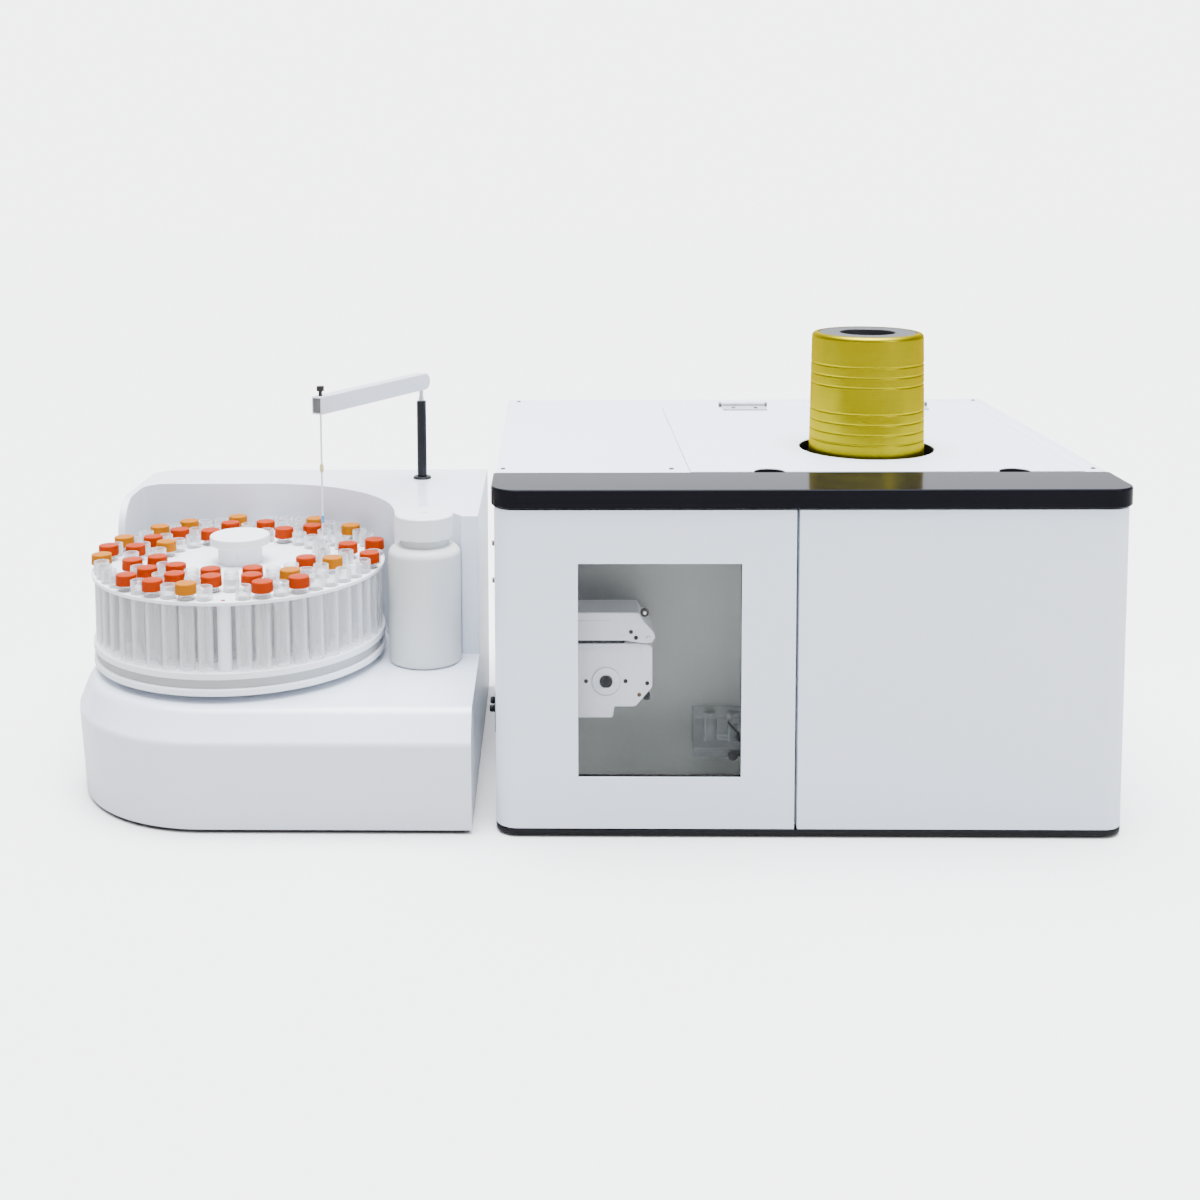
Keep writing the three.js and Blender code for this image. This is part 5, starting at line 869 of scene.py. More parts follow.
pump_outline = [(PUMP_LEFT + x * PUMP_WIDTH, PUMP_BOTTOM + z * PUMP_HEIGHT) for x, z in PUMP_SHARES]
boss = drum(BOSS_RADIUS, (PUMP_FRONT - BOSS_HEIGHT, PUMP_FRONT + BOSS_ROOT), rotor_axis, "Y", 64)
lug = block(
    (CLAMP_X - 3 * LUG_RADIUS, CLAMP_X), (CLAMP_BACK + KNUCKLE_GAP, PUMP_BACK),
    (pump_top - LUG_RADIUS, CLAMP_Z + LUG_RADIUS),
)
clamp_pin = (PUMP_FRONT - BOSS_HEIGHT, CLAMP_BACK + LUG_RADIUS)
pump = joined(
    soft_edges(prism(pump_outline, PUMP_FRONT, PUMP_BACK, "Y"), PUMP_ROUND),
    soft_edges(boss, BOSS_EDGE), lug, drum(CLAMP_PIN_RADIUS, clamp_pin, clamp_axis, "Y", 24),
)
groove = sleeve(BOSS_RADIUS, BOSS_RADIUS + BOSS_GROOVE, PUMP_FRONT - BOSS_GROOVE, PUMP_FRONT + BOSS_GROOVE)
brow = [
    (PUMP_FRONT - OVERLAP, pump_top - BROW_HEIGHT), (PUMP_FRONT - OVERLAP, pump_top + OVERLAP),
    (PUMP_FRONT + BROW_DEPTH, pump_top + OVERLAP), (PUMP_FRONT, pump_top - BROW_HEIGHT),
]
opening = (ROTOR_X - OPENING_HALF, ROTOR_X + OPENING_HALF)
pump = carved(
    pump,
    drum(CHAMBER_RADIUS, CHAMBER_Y, rotor_axis, "Y", 64),
    lathed(groove, rotor_axis, "Y", 64),
    prism(brow, PUMP_LEFT - OVERLAP, CLAMP_X - LUG_RADIUS, "X"),
    drum(SHAFT_RADIUS + KNUCKLE_GAP, (PUMP_FRONT - CUT, PUMP_BACK + CUT), rotor_axis, "Y", 48),
    block(opening, CHAMBER_Y, (ROTOR_Z, pump_top + CUT)),
)
show("pump_moulding", pump, pump_white, "housing", "pump_white", "pump_body")

dark_grey = finish(
    "dark_grey_moulding", (0.010, 0.0105, 0.012), (0.018, 0.019, 0.021), (0.48, 0.12), (1100, 4e-5), 12.0,
    {"Specular IOR Level": 0.2},
)
ROLLER_COUNT = 8
ROLLER_RADIUS = 0.004
CAGE_SHEET = 0.002
KEY_HALF = 0.0012
KEY_DEPTH = 0.002
KEY_Z = (0.13, 0.16)
cage_y = (CHAMBER_Y[0] + KNUCKLE_GAP, CHAMBER_Y[1] - KNUCKLE_GAP)
roller_ring = CHAMBER_RADIUS - 2 * ROLLER_RADIUS
shaft_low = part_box("pump_rotor")[0].y
cage_parts = [
    drum(SHAFT_RADIUS, (shaft_low, PUMP_BACK - KNUCKLE_GAP), rotor_axis, "Y", 48),
    drum(roller_ring + ROLLER_RADIUS, (cage_y[0], cage_y[0] + CAGE_SHEET), rotor_axis, "Y", 64),
    drum(roller_ring + ROLLER_RADIUS, (cage_y[1] - CAGE_SHEET, cage_y[1]), rotor_axis, "Y", 64),
]
roller_y = (cage_y[0] + CAGE_SHEET / 2, cage_y[1] - CAGE_SHEET / 2)
for i in range(ROLLER_COUNT):
    angle = 2 * math.pi * i / ROLLER_COUNT
    place = (ROTOR_X + roller_ring * math.cos(angle), 0, ROTOR_Z + roller_ring * math.sin(angle))
    cage_parts.append(drum(ROLLER_RADIUS, roller_y, place, "Y", 24))
key_y = (shaft_low - OVERLAP, shaft_low + KEY_DEPTH)
flat_key = block((ROTOR_X - KEY_HALF, ROTOR_X + KEY_HALF), key_y, KEY_Z)
show("roller_cage", soft_edges(carved(joined(*cage_parts), flat_key), FINE_EDGE, 2), dark_grey,
     "pump_roller_cage", "module_grey", "pump_rotor")

CLAMP_SLOT = 0.004
CLAMP_HEIGHT = 0.029
CLAMP_ROUND = 0.0012
BED_RIGHT = 0.0456
BED_EDGE = 0.0006
PAD_X = (-0.0225, 0.030)
PAD_Z = (0.1945, 0.2065)
PAD_RISE = 0.0005
PAD_ROOT = 0.003
clamp_low = pump_top + KNUCKLE_GAP + CLAMP_SLOT
clamp_top = clamp_low + CLAMP_HEIGHT
# A dark block lies in the slot under the clamp: its darkness is painted shade of the slot, and it also
# stands for the dark pump tubes that lie there.
dark_slot_fill = block(
    (PUMP_LEFT + OVERLAP, BED_RIGHT), (PUMP_FRONT + BROW_DEPTH, CLAMP_BACK),
    (pump_top + KNUCKLE_GAP, clamp_low - KNUCKLE_GAP),
)
show("pump_tube_bed", soft_edges(dark_slot_fill, BED_EDGE, 2), dark_grey, "housing", "module_grey")
CLAMP_NOSE = (
    (0.0600, clamp_top), (0.0655, 0.2040), (0.0740, 0.1950), (0.0764, 0.1885), (0.0730, 0.1827),
    (0.0640, 0.1823), (BED_RIGHT, clamp_low),
)
clamp_outline = [(PUMP_LEFT, clamp_low), (PUMP_LEFT, clamp_top), *CLAMP_NOSE]
clamp = soft_edges(prism(clamp_outline, PUMP_FRONT, CLAMP_BACK, "Y"), CLAMP_ROUND)
pad = soft_edges(block(PAD_X, (PUMP_FRONT - PAD_RISE, PUMP_FRONT + PAD_ROOT), PAD_Z), SMALL_EDGE, 2)
pin_hole = drum(CLAMP_PIN_RADIUS + KNUCKLE_GAP, (PUMP_FRONT - CUT, CLAMP_BACK + CUT), clamp_axis, "Y", 24)
show("pump_clamp_moulding", carved(joined(clamp, pad), pin_hole), pump_white, "pump_clamp_arm",
     "pump_white", "pump_clamp")

# Small parts of the pump: dark and brass socket screws in its face and the clamp's, a dark thumb
# screw with a bright tip at the clamp's top corner, and the hook that holds the tubes. The dark
# screws' near-black is also painted shade of their holes, and the bright tip is a painted highlight.
dark_steel = finish(
    "blackened_steel", (0.012, 0.010, 0.008), (0.022, 0.018, 0.014), (0.4, 0.2), (900, 2e-5), 300.0,
    {"Specular IOR Level": 0.3},
)
brass = finish(
    "aged_brass", (0.09, 0.045, 0.012), (0.14, 0.075, 0.02), (0.4, 0.2), (900, 2e-5), 300.0,
    {"Specular IOR Level": 0.4},
)
SOCKET_SCREW = 0.0021
SOCKET_RISE = 0.0007
SOCKET_ROOT = 0.002
PUMP_SCREWS = ((0.0063, 0.1435), (0.0462, 0.1436), (0.0680, 0.1415))
BRASS_SCREWS = ((0.0600, 0.1295),)
CLAMP_SCREWS = ((0.0517, 0.1945), (0.0567, 0.1885))
# The dark screws are screws, and their near-black also stands in for the shade in the holes they sit in.
for name, places, material, body, slot in (
    ("pump_screws", PUMP_SCREWS, dark_steel, "housing", "module_grey"),
    ("pump_brass_screw", BRASS_SCREWS, brass, "housing", "hinge_metal"),
    ("clamp_screws", CLAMP_SCREWS, dark_steel, "pump_clamp_arm", "module_grey"),
):
    heads = []
    for x, z in places:
        head = drum(SOCKET_SCREW, (PUMP_FRONT - SOCKET_RISE, PUMP_FRONT + SOCKET_ROOT), (x, 0, z), "Y", 32)
        socket_y = (PUMP_FRONT - SOCKET_RISE - OVERLAP, PUMP_FRONT - SOCKET_RISE / 3)
        heads.append(carved(head, drum(SOCKET_SCREW / 2, socket_y, (x, 0, z), "Y", 6)))
    show(name, joined(*heads) if len(heads) > 1 else heads[0], material, body, slot)

plated_steel = finish(
    "plated_steel", (0.62, 0.63, 0.64), (0.72, 0.72, 0.73), (0.32, 0.2), (500, 1e-5),
    shader={"Metallic": 1.0},
)
THUMB_RADIUS = 0.0042
THUMB_PLACE = (0.0652, 0, 0.2155)
THUMB_SHAPE = (
    (0, 0.002), (0.6, 0.002), (0.6, -0.001), (1, -0.001), (1, -0.0045), (0.85, -0.0052), (0.5, -0.0048),
    (0, -0.0048),
)
THUMB_TIP_RADIUS = THUMB_RADIUS * 0.4
TIP_Y = (-0.0055, -0.004)
thumb = lathed(stepped(THUMB_RADIUS, PUMP_FRONT, THUMB_SHAPE), THUMB_PLACE, "Y", 48)
show("clamp_thumb_screw", thumb, dark_steel, "pump_clamp_arm", "module_grey")
# The bright plated tip is a painted highlight: it stands in for the glint on the dark thumb screw.
glint_tip = drum(THUMB_TIP_RADIUS, [PUMP_FRONT + y for y in TIP_Y], THUMB_PLACE, "Y", 32)
show("clamp_thumb_tip", soft_edges(glint_tip, FINE_EDGE, 2), plated_steel, "pump_clamp_arm", "hinge_metal")
HOOK_X = (0.0645, 0.0712)
HOOK_DEPTH = (0.004, 0.010)
HOOK_Z = (0.1225, 0.1300)
HOOK_ROUND = 0.0012
hook = block(HOOK_X, [PUMP_FRONT + y for y in HOOK_DEPTH], HOOK_Z)
show("pump_tube_hook", soft_edges(hook, HOOK_ROUND), dark_grey, "housing", "module_grey")

# Gas-liquid separator: a drilled block of clear acrylic with two dark tube fittings at its right,
# and two dark plugs and a short hose on its front.
clear_block = finish(
    "drilled_acrylic", (0.78, 0.82, 0.81), (0.84, 0.87, 0.86), (0.12, 0.08), (200, 1e-5), 20.0,
    {"Transmission Weight": 0.8, "IOR": 1.49, "Metallic": 0.0},
)
FITTING_LENGTH = 0.014
FITTING_RADIUS = 0.006
FITTING_BORE = 0.6
FITTING_SHAPE = (
    (1, 0), (1, 0.004), (0.75, 0.0045), (0.75, 0.0075), (0.95, 0.008), (0.95, 0.013), (0.85, 0.014),
)
CHANNEL_RADIUS = 0.003
UPPER_CHANNEL = 0.66
STEM_SHARE = 0.8
WELL_RADIUS = 0.007
WELL_SHARES = (0.25, 0.6)
CELL_EDGE = 0.0008
low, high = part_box("separator_block")
block_right = high.x - FITTING_LENGTH
middle_y = (low.y + high.y) / 2
channel_z = low.z + 2 * WELL_RADIUS
channel_heights = (channel_z + CHANNEL_RADIUS, low.z + UPPER_CHANNEL * (high.z - low.z))
wells = [low.x + share * (block_right - low.x) for share in WELL_SHARES]
cell = carved(
    soft_edges(block((low.x, block_right), (low.y, high.y), (low.z, high.z)), CELL_EDGE, 2),
    *(drum(WELL_RADIUS, (channel_z, high.z + CUT), (x, middle_y, 0), sides=32) for x in wells),
    *(drum(CHANNEL_RADIUS, (x, high.x), (0, middle_y, z), "X", 24) for x, z in zip(wells, channel_heights)),
)
show("separator_cell", cell, clear_block, "housing", "clear_pane", "separator_block")
fitting_profile = [
    (CHANNEL_RADIUS * FITTING_BORE, block_right), *stepped(FITTING_RADIUS, block_right, FITTING_SHAPE),
    (CHANNEL_RADIUS * FITTING_BORE, high.x),
]
stem_x = (wells[1], block_right + OVERLAP)
fittings = joined(
    *(lathed(fitting_profile, (0, middle_y, z), "X", 40) for z in channel_heights),
    *(drum(CHANNEL_RADIUS * STEM_SHARE, stem_x, (0, middle_y, z), "X", 24) for z in channel_heights),
)
show("separator_fittings", fittings, black_plastic, "housing", "trim_black")

HOSE_RADIUS = 0.0013
HOSE_START = (0.1548, 0.0845)
HOSE_END = (0.1668, 0.0705)
PLUG_PLACE = (0.1600, 0, 0.0485)
PLUG_RADIUS = 0.0052
PLUG_ROUND = 0.0012
PLUG_RISE = 0.004
PLUG_ROOT = 0.002
PLUG_HOSE = 0.0028
PLUG_HOSE_X = (0.1600, 0.1720)
PLUG_HOSE_Z = 0.0510
UPPER_PLUG_PLACE = (0.1672, 0, 0.0675)
UPPER_PLUG_RADIUS = 0.0036
UPPER_PLUG_EDGE = 0.0006
hose_y = low.y - HOSE_RADIUS
plug_y = (low.y - PLUG_RISE, low.y + PLUG_ROOT)
slope = math.atan2(HOSE_END[1] - HOSE_START[1], HOSE_END[0] - HOSE_START[0])
hose = drum(HOSE_RADIUS, (0, math.dist(HOSE_START, HOSE_END)), (0, 0, 0), "X", 16)
hose.transform(Matrix.Translation((HOSE_START[0], hose_y, HOSE_START[1])) @ Matrix.Rotation(-slope, 4, "Y"))
plugs = joined(
    soft_edges(drum(PLUG_RADIUS, plug_y, PLUG_PLACE, "Y", 32), PLUG_ROUND),
    drum(PLUG_HOSE, PLUG_HOSE_X, (0, hose_y, PLUG_HOSE_Z), "X", 24),
    soft_edges(drum(UPPER_PLUG_RADIUS, plug_y, UPPER_PLUG_PLACE, "Y", 32), UPPER_PLUG_EDGE, 2),
    hose,
)
show("separator_plugs", plugs, black_plastic, "housing", "trim_black")

# Modules behind the right door and under the lid: the gas control box with its two knobs, the
# lamps on their cradles, the detector, and the atomizer with the quartz furnace tube in it.
KNOB_HEIGHT = 0.010
KNOB_RADIUS = 0.009
KNOB_ROOT = 0.005
KNOB_SHARES = (0.3, 0.7)
MODULE_ROUND = 0.002
MODULE_EDGE = 0.0008
low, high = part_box("gas_control_box")
box_front = low.y + KNOB_HEIGHT
gas_box = soft_edges(block((low.x, high.x), (box_front, high.y), (low.z, high.z)), MODULE_ROUND)
knobs = []
for share in KNOB_SHARES:
    place = (low.x + share * (high.x - low.x), 0, (low.z + high.z) / 2)
    knobs.append(soft_edges(drum(KNOB_RADIUS, (low.y, box_front + KNOB_ROOT), place, "Y", 48), MODULE_EDGE))
show("gas_control", joined(gas_box, *knobs), dark_grey, "housing", "module_grey", "gas_control_box")

LAMP_RADIUS = 0.022
LAMP_ROUND = 0.0015
CRADLE_LENGTH = 0.024
CRADLE_HALF = 0.020
BEAM_Z = 0.250
BEAM_RADIUS = 0.012
WELL_DEPTH = 0.055
BEAM_REACH = 0.09
for side in ("left", "right"):
    low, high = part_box("lamp_" + side)
    middle_x = (low.x + high.x) / 2
    tube = soft_edges(drum(LAMP_RADIUS, (low.x, high.x), (0, CHIMNEY_Y, BEAM_Z), "X", 72), LAMP_ROUND)
    cradle = block(
        (middle_x - CRADLE_LENGTH / 2, middle_x + CRADLE_LENGTH / 2),
        (CHIMNEY_Y - CRADLE_HALF, CHIMNEY_Y + CRADLE_HALF), (low.z, BEAM_Z),
    )
    show("lamp_holder_" + side, joined(tube, soft_edges(cradle, MODULE_EDGE, 2)), dark_grey, "housing",
         "module_grey", "lamp_" + side)

low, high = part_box("detector_housing")
well = drum(BEAM_RADIUS, (low.y - CUT, low.y + WELL_DEPTH), (CHIMNEY_X, 0, BEAM_Z), "Y", 48)
detector = carved(soft_edges(block(*zip(low, high)), MODULE_ROUND), well)
show("detector_box", detector, dark_grey, "housing", "module_grey", "detector_housing")

machined_grey = turned_finish(
    "machined_aluminium", (0.34, 0.35, 0.36), (0.46, 0.47, 0.48), (0.42, 0.12), (900, 1e-5), flue,
)
ATOMIZER_RADIUS = 0.045
FLANGE_RADIUS = 0.060
FLANGE_HEIGHT = 0.010
BORE_RADIUS = 0.022
BORE_FLOOR = 0.026
low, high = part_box("atomizer_housing")
flange_low = high.z - FLANGE_HEIGHT
atomizer_profile = [
    (0, low.z), (ATOMIZER_RADIUS, low.z), (ATOMIZER_RADIUS, flange_low), (FLANGE_RADIUS, flange_low),
    (FLANGE_RADIUS, high.z - MODULE_EDGE), (FLANGE_RADIUS - MODULE_EDGE, high.z), (BORE_RADIUS, high.z),
    (BORE_RADIUS, low.z + BORE_FLOOR), (0, low.z + BORE_FLOOR),
]
atomizer = carved(
    lathed(atomizer_profile, flue, sides=96),
    drum(BEAM_RADIUS, (CHIMNEY_X - BEAM_REACH, CHIMNEY_X + BEAM_REACH), (0, CHIMNEY_Y, BEAM_Z), "X", 48),
    drum(BEAM_RADIUS, (CHIMNEY_Y, CHIMNEY_Y + BEAM_REACH), (CHIMNEY_X, 0, BEAM_Z), "Y", 48),
)
show("atomizer_body", atomizer, machined_grey, "housing", "bare_aluminium", "atomizer_housing")

quartz = finish(
    "clear_quartz", (0.90, 0.92, 0.93), (0.94, 0.95, 0.96), (0.04, 0.03), (100, 4e-6), 20.0,
    {"Transmission Weight": 1.0, "IOR": 1.46, "Metallic": 0.0},
)
FURNACE_RADIUS = 0.010
FURNACE_WALL = 0.002
FOOT_RADIUS = 0.021
FOOT_HEIGHT = 0.008
low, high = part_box("furnace_tube")
furnace_profile = [
    (FURNACE_RADIUS - FURNACE_WALL, low.z), (FOOT_RADIUS, low.z), (FOOT_RADIUS, low.z + FOOT_HEIGHT),
    (FURNACE_RADIUS, low.z + FOOT_HEIGHT), (FURNACE_RADIUS, high.z), (FURNACE_RADIUS - FURNACE_WALL, high.z),
]
show("quartz_furnace", lathed(furnace_profile, flue), quartz, "housing", "quartz", "furnace_tube")

# Rear: a flat panel cut out for the fan and the sockets, the fan behind it with its wire guard
# outside, and the power inlet, the rocker switch, the gas inlet and the data port.
FAN_X = 0.3855
FAN_Z = 0.230
FAN_BORE = 0.037
GAS_RADIUS = 0.007
SOCKET_MARGINS = {"power_inlet": 0.003, "switch_bezel": 0, "data_port": 0.003}
fan_axis = (FAN_X, 0, FAN_Z)
low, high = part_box("rear_panel")
through = (low.y - CUT, high.y + CUT)
panel_holes = [drum(FAN_BORE, through, fan_axis, "Y", 96)]
for node, margin in SOCKET_MARGINS.items():
    node_low, node_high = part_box(node)
    inset = margin - KNUCKLE_GAP
    panel_holes.append(block(
        (node_low.x + inset, node_high.x - inset), through, (node_low.z + inset, node_high.z - inset),
    ))
node_low, node_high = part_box("gas_inlet")
gas_place = ((node_low.x + node_high.x) / 2, 0, (node_low.z + node_high.z) / 2)
panel_holes.append(drum(GAS_RADIUS + KNUCKLE_GAP, through, gas_place, "Y", 48))
panel = carved(block(*zip(low, high)), *panel_holes)
show("rear_sheet", soft_edges(panel, SMALL_EDGE, 2), powder_coat, "housing", "powder_white", "rear_panel")

HUB_RADIUS = 0.015
FAN_SHEET = 0.002
FAN_ROUND = 0.003
STRUT_HALF = 0.0024
STRUT_INSET = 0.003
FAN_PIN = 0.003
low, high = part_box("fan_housing")
strut_y = (low.y, low.y + FAN_SHEET)
fan_hole = drum(FAN_BORE, (low.y - CUT, high.y + CUT), fan_axis, "Y", 96)
fan_box = joined(
    carved(soft_edges(block(*zip(low, high)), FAN_ROUND), fan_hole),
    block((low.x + STRUT_INSET, high.x - STRUT_INSET), strut_y, (FAN_Z - STRUT_HALF, FAN_Z + STRUT_HALF)),
    block((FAN_X - STRUT_HALF, FAN_X + STRUT_HALF), strut_y, (low.z + STRUT_INSET, high.z - STRUT_INSET)),
    drum(HUB_RADIUS, strut_y, fan_axis, "Y", 64),
    drum(FAN_PIN, (low.y, high.y - 2 * FAN_SHEET), fan_axis, "Y", 24),
)
show("fan_frame", fan_box, dark_grey, "housing", "module_grey", "fan_housing")

FAN_BLADES = 7
BLADE_SHEET = 0.0016
BLADE_TWIST = (50, 28)
MIDDLE_TWIST = 38
BLADE_STEPS = 8
BLADE_SHARE = 0.9
BLADE_DEPTH = 0.0062
BLADE_SWEEP = 0.35
BLADE_GAP = 0.0016
HUB_ROUND = 0.0012
HUB_BORE = 0.0033
HUB_CAP = 0.0022
INNER_REACH = 0.018
low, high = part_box("fan_rotor")
rotor_y = (low.y + high.y) / 2
root = HUB_RADIUS * BLADE_SHARE
blade_half = BLADE_DEPTH / math.tan(math.radians(MIDDLE_TWIST)) * BLADE_SHARE
blade_rise = BLADE_DEPTH / math.sin(math.radians(BLADE_TWIST[0]))
blades = []
for i in range(FAN_BLADES):
    rings = []
    for step in range(BLADE_STEPS + 1):
        share = step / BLADE_STEPS
        radius = root + share * (FAN_BORE - BLADE_GAP - root)
        twist = math.radians(BLADE_TWIST[0] + share * (BLADE_TWIST[1] - BLADE_TWIST[0]))
        swing = 2 * math.pi * i / FAN_BLADES + BLADE_SWEEP * share
        ring = []
        for side, thick in ((-1, -1), (1, -1), (1, 1), (-1, 1)):
            half = thick * BLADE_SHEET / 2
            sideways = side * blade_half * math.cos(twist) - half * math.sin(twist)
            angle = swing + sideways / max(radius, INNER_REACH)
            ring.append((
                FAN_X + radius * math.cos(angle), rotor_y + side * blade_rise * math.sin(twist) + half,
                FAN_Z + radius * math.sin(angle),
            ))
        rings.append(ring)
    blades.append(loft(rings))
hub = soft_edges(drum(HUB_RADIUS, (low.y, high.y), fan_axis, "Y", 64), HUB_ROUND)
rotor = carved(joined(hub, *blades), drum(HUB_BORE, (low.y - CUT, high.y - HUB_CAP), fan_axis, "Y", 24))
show("fan_blades", rotor, black_plastic, "fan", "module_grey", "fan_rotor")

GUARD_RINGS = (0.0248, 0.0358)
WIRE_SPARE = 0.00005
low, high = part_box("fan_guard")
wire_radius = (high.y - low.y) / 2 - WIRE_SPARE
guard_y = (low.y + high.y) / 2
rim = (high.x - low.x) / 2
guard_parts = [
    lathed(arc((radius, guard_y), wire_radius, 0, 345, 15), fan_axis, "Y", 96)
    for radius in (rim - wire_radius, *GUARD_RINGS)
]
for angle in (0, 90):
    bar = drum(wire_radius, (-rim + wire_radius, rim - wire_radius), (0, 0, 0), "X", 16)
    bar.transform(Matrix.Translation((FAN_X, guard_y, FAN_Z)) @ Matrix.Rotation(math.radians(angle), 4, "Y"))
    guard_parts.append(bar)
show("guard_wires", joined(*guard_parts), plated_steel, "housing", "hinge_metal", "fan_guard")

ROCKER_EDGE = 0.0005
show_node("power_inlet_socket", "power_inlet", SMALL_EDGE, black_plastic, "housing", "trim_black")
show_node("switch_frame", "switch_bezel", SMALL_EDGE, black_plastic, "housing", "trim_black")
show_node("switch_rocker", "power_switch", ROCKER_EDGE, gloss_black, "rocker", "gloss_black", 3)

HEX_RADIUS = 0.0098
HEX_Y = (0.27515, 0.27665)
GAS_BORE = 0.0035
GAS_CHAMFER = (0.001, 0.0015)
low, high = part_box("gas_inlet")
gas_profile = [
    (GAS_BORE, low.y), (GAS_RADIUS, low.y), (GAS_RADIUS, high.y - GAS_CHAMFER[1]),
    (GAS_RADIUS - GAS_CHAMFER[0], high.y), (GAS_BORE, high.y),
]
gas_nipple = joined(lathed(gas_profile, gas_place, "Y", 48), drum(HEX_RADIUS, HEX_Y, gas_place, "Y", 6))
show("gas_nipple", gas_nipple, plated_steel, "housing", "hinge_metal", "gas_inlet")

PORT_FRAME = 0.006
TONGUE_X = 0.009
TONGUE_Z = 0.0085
TONGUE_INSET = 0.001
low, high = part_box("data_port")
recess = block(
    (low.x + PORT_FRAME, high.x - PORT_FRAME), (high.y - PORT_FRAME, high.y + CUT),
    (low.z + PORT_FRAME, high.z - PORT_FRAME),
)
data_socket = carved(soft_edges(from_node("data_port"), SMALL_EDGE, 2), recess)
show("data_socket", data_socket, plated_steel, "housing", "hinge_metal", "data_port")
tongue = block(
    (low.x + TONGUE_X, high.x - TONGUE_X), (high.y - PORT_FRAME - OVERLAP, high.y - TONGUE_INSET),
    (low.z + TONGUE_Z, high.z - TONGUE_Z),
)
show("data_tongue", soft_edges(tongue, FINE_EDGE, 2), black_plastic, "housing", "trim_black")

# Sampler pan and cover: a black pan on four feet under a glossy white moulding. The cover is a low
# skirt with a broad round front corner, a soft slope up to the deck, and behind it the tower, which
# is scooped out round the carousel and the bottle and ends in a thin wing at the left.
show_node("sampler_pan", "sampler_base_plate", SMALL_EDGE, satin_black, "housing", "rubber_black")

gloss_white = finish(
    "gloss_white_moulding", (0.76, 0.80, 0.88), (0.80, 0.835, 0.905), (0.24, 0.06), (180, 1e-5), 5.0,
    {"Coat Weight": 0.35, "Coat Roughness": 0.08, "Subsurface Weight": 0.05,
     "Subsurface Radius": (0.004, 0.004, 0.004)},
)
TABLE_X = -0.3715
TABLE_Y = -0.08665
SKIRT_DRAFT = 0.005
SHOULDER_Z = 0.094
DECK_Z = 0.124
FRONT_SLOPE = 0.022
LEFT_SLOPE = 0.012
FRONT_CORNER = 0.160
BACK_CORNER = 0.028
SHOULDER_ROUND = 0.0035
DECK_ROUND = 0.009
LEAN = 0.02
CORNER_STEPS = 48
table = (TABLE_X, TABLE_Y, 0)
low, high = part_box("sampler_cover")


def skirt_ring(low, high, front_in, left_in, z):
    """The skirt's outline at a height: square at the right, round at the back left, and a quarter
    of an ellipse round the front left."""
    left, front = low.x + left_in, low.y + front_in
    middle = (low.x + FRONT_CORNER, low.y + FRONT_CORNER)
    ring = [(high.x, front), (high.x, high.y)]
    ring += arc((left + BACK_CORNER, high.y - BACK_CORNER), BACK_CORNER, 90, 180, 16)
    for i in range(CORNER_STEPS + 1):
        angle = math.pi + math.pi / 2 * i / CORNER_STEPS
        ring.append((
            middle[0] + (middle[0] - left) * math.cos(angle),
            middle[1] + (middle[1] - front) * math.sin(angle),
        ))
    return [(x, y, z) for x, y in ring]


def bent(before, corner, after, reach, steps=8):
    """A soft corner between two points: a curve that starts and ends at a reach from the corner."""
    start, end = [
        list(Vector(corner) + (Vector(point) - Vector(corner)).normalized() * reach)
        for point in (before, after)
    ]
    points = []
    for i in range(steps + 1):
        t = i / steps
        weights = ((1 - t) ** 2, 2 * t * (1 - t), t ** 2)
        points.append([sum(w * p[k] for w, p in zip(weights, (start, corner, end))) for k in range(3)])
    return points


foot_point = (SKIRT_DRAFT, SKIRT_DRAFT, low.z)
shoulder_point = (0, 0, SHOULDER_Z)
deck_point = (FRONT_SLOPE, LEFT_SLOPE, DECK_Z)
inward_point = (FRONT_SLOPE + LEAN, LEFT_SLOPE + LEAN, DECK_Z)
skirt_profile = [
    foot_point, *bent(foot_point, shoulder_point, deck_point, SHOULDER_ROUND),
    *bent(shoulder_point, deck_point, inward_point, DECK_ROUND),
]
skirt = loft([skirt_ring(low, high, *point) for point in skirt_profile])
skirt.shade_smooth()

RECESS_RADIUS = 0.170
NICHE_RADIUS = 0.043
WING_FRONT = 0.068
WING_THICKNESS = 0.008
WING_FILLET = 0.025
WING_ROUND = 0.040
WING_SPARE = (0.002, 0.0005)
WING_CUT = 0.005
TOWER_ROUND = 0.003
TOWER_ROOT = 0.006
bottle_place = upright("bottle_body")
bottle_x, bottle_y = bottle_place[:2]
wing_left = low.x + LEFT_SLOPE
wing_right = wing_left + WING_THICKNESS
wing_y = TABLE_Y + WING_FRONT
recess_back = TABLE_Y + RECESS_RADIUS
away = math.hypot(bottle_x - TABLE_X, bottle_y - TABLE_Y)
bottle_angle = math.atan2(bottle_y - TABLE_Y, bottle_x - TABLE_X)
towards = (RECESS_RADIUS ** 2 - NICHE_RADIUS ** 2 + away ** 2) / (2 * away)
cusp_turn = bottle_angle + math.acos(towards / RECESS_RADIUS)
cusp = (TABLE_X + RECESS_RADIUS * math.cos(cusp_turn), TABLE_Y + RECESS_RADIUS * math.sin(cusp_turn))
niche_start = math.degrees(math.atan2(cusp[1] - bottle_y, cusp[0] - bottle_x))
niche_end = math.degrees(math.asin((TABLE_Y - bottle_y) / NICHE_RADIUS))
tower_outline = [
    (high.x, TABLE_Y), (high.x, high.y),
    *arc((wing_left + BACK_CORNER, high.y - BACK_CORNER), BACK_CORNER, 90, 180, 16),
    (wing_left, wing_y), (wing_right, wing_y),
    *arc((wing_right + WING_FILLET, recess_back - WING_FILLET), WING_FILLET, 180, 90, 16),
    *arc(table, RECESS_RADIUS, 90, math.degrees(cusp_turn), 64),
    *arc(bottle_place, NICHE_RADIUS, niche_start, niche_end, 32)[1:],
]
round_back = wing_y + WING_ROUND
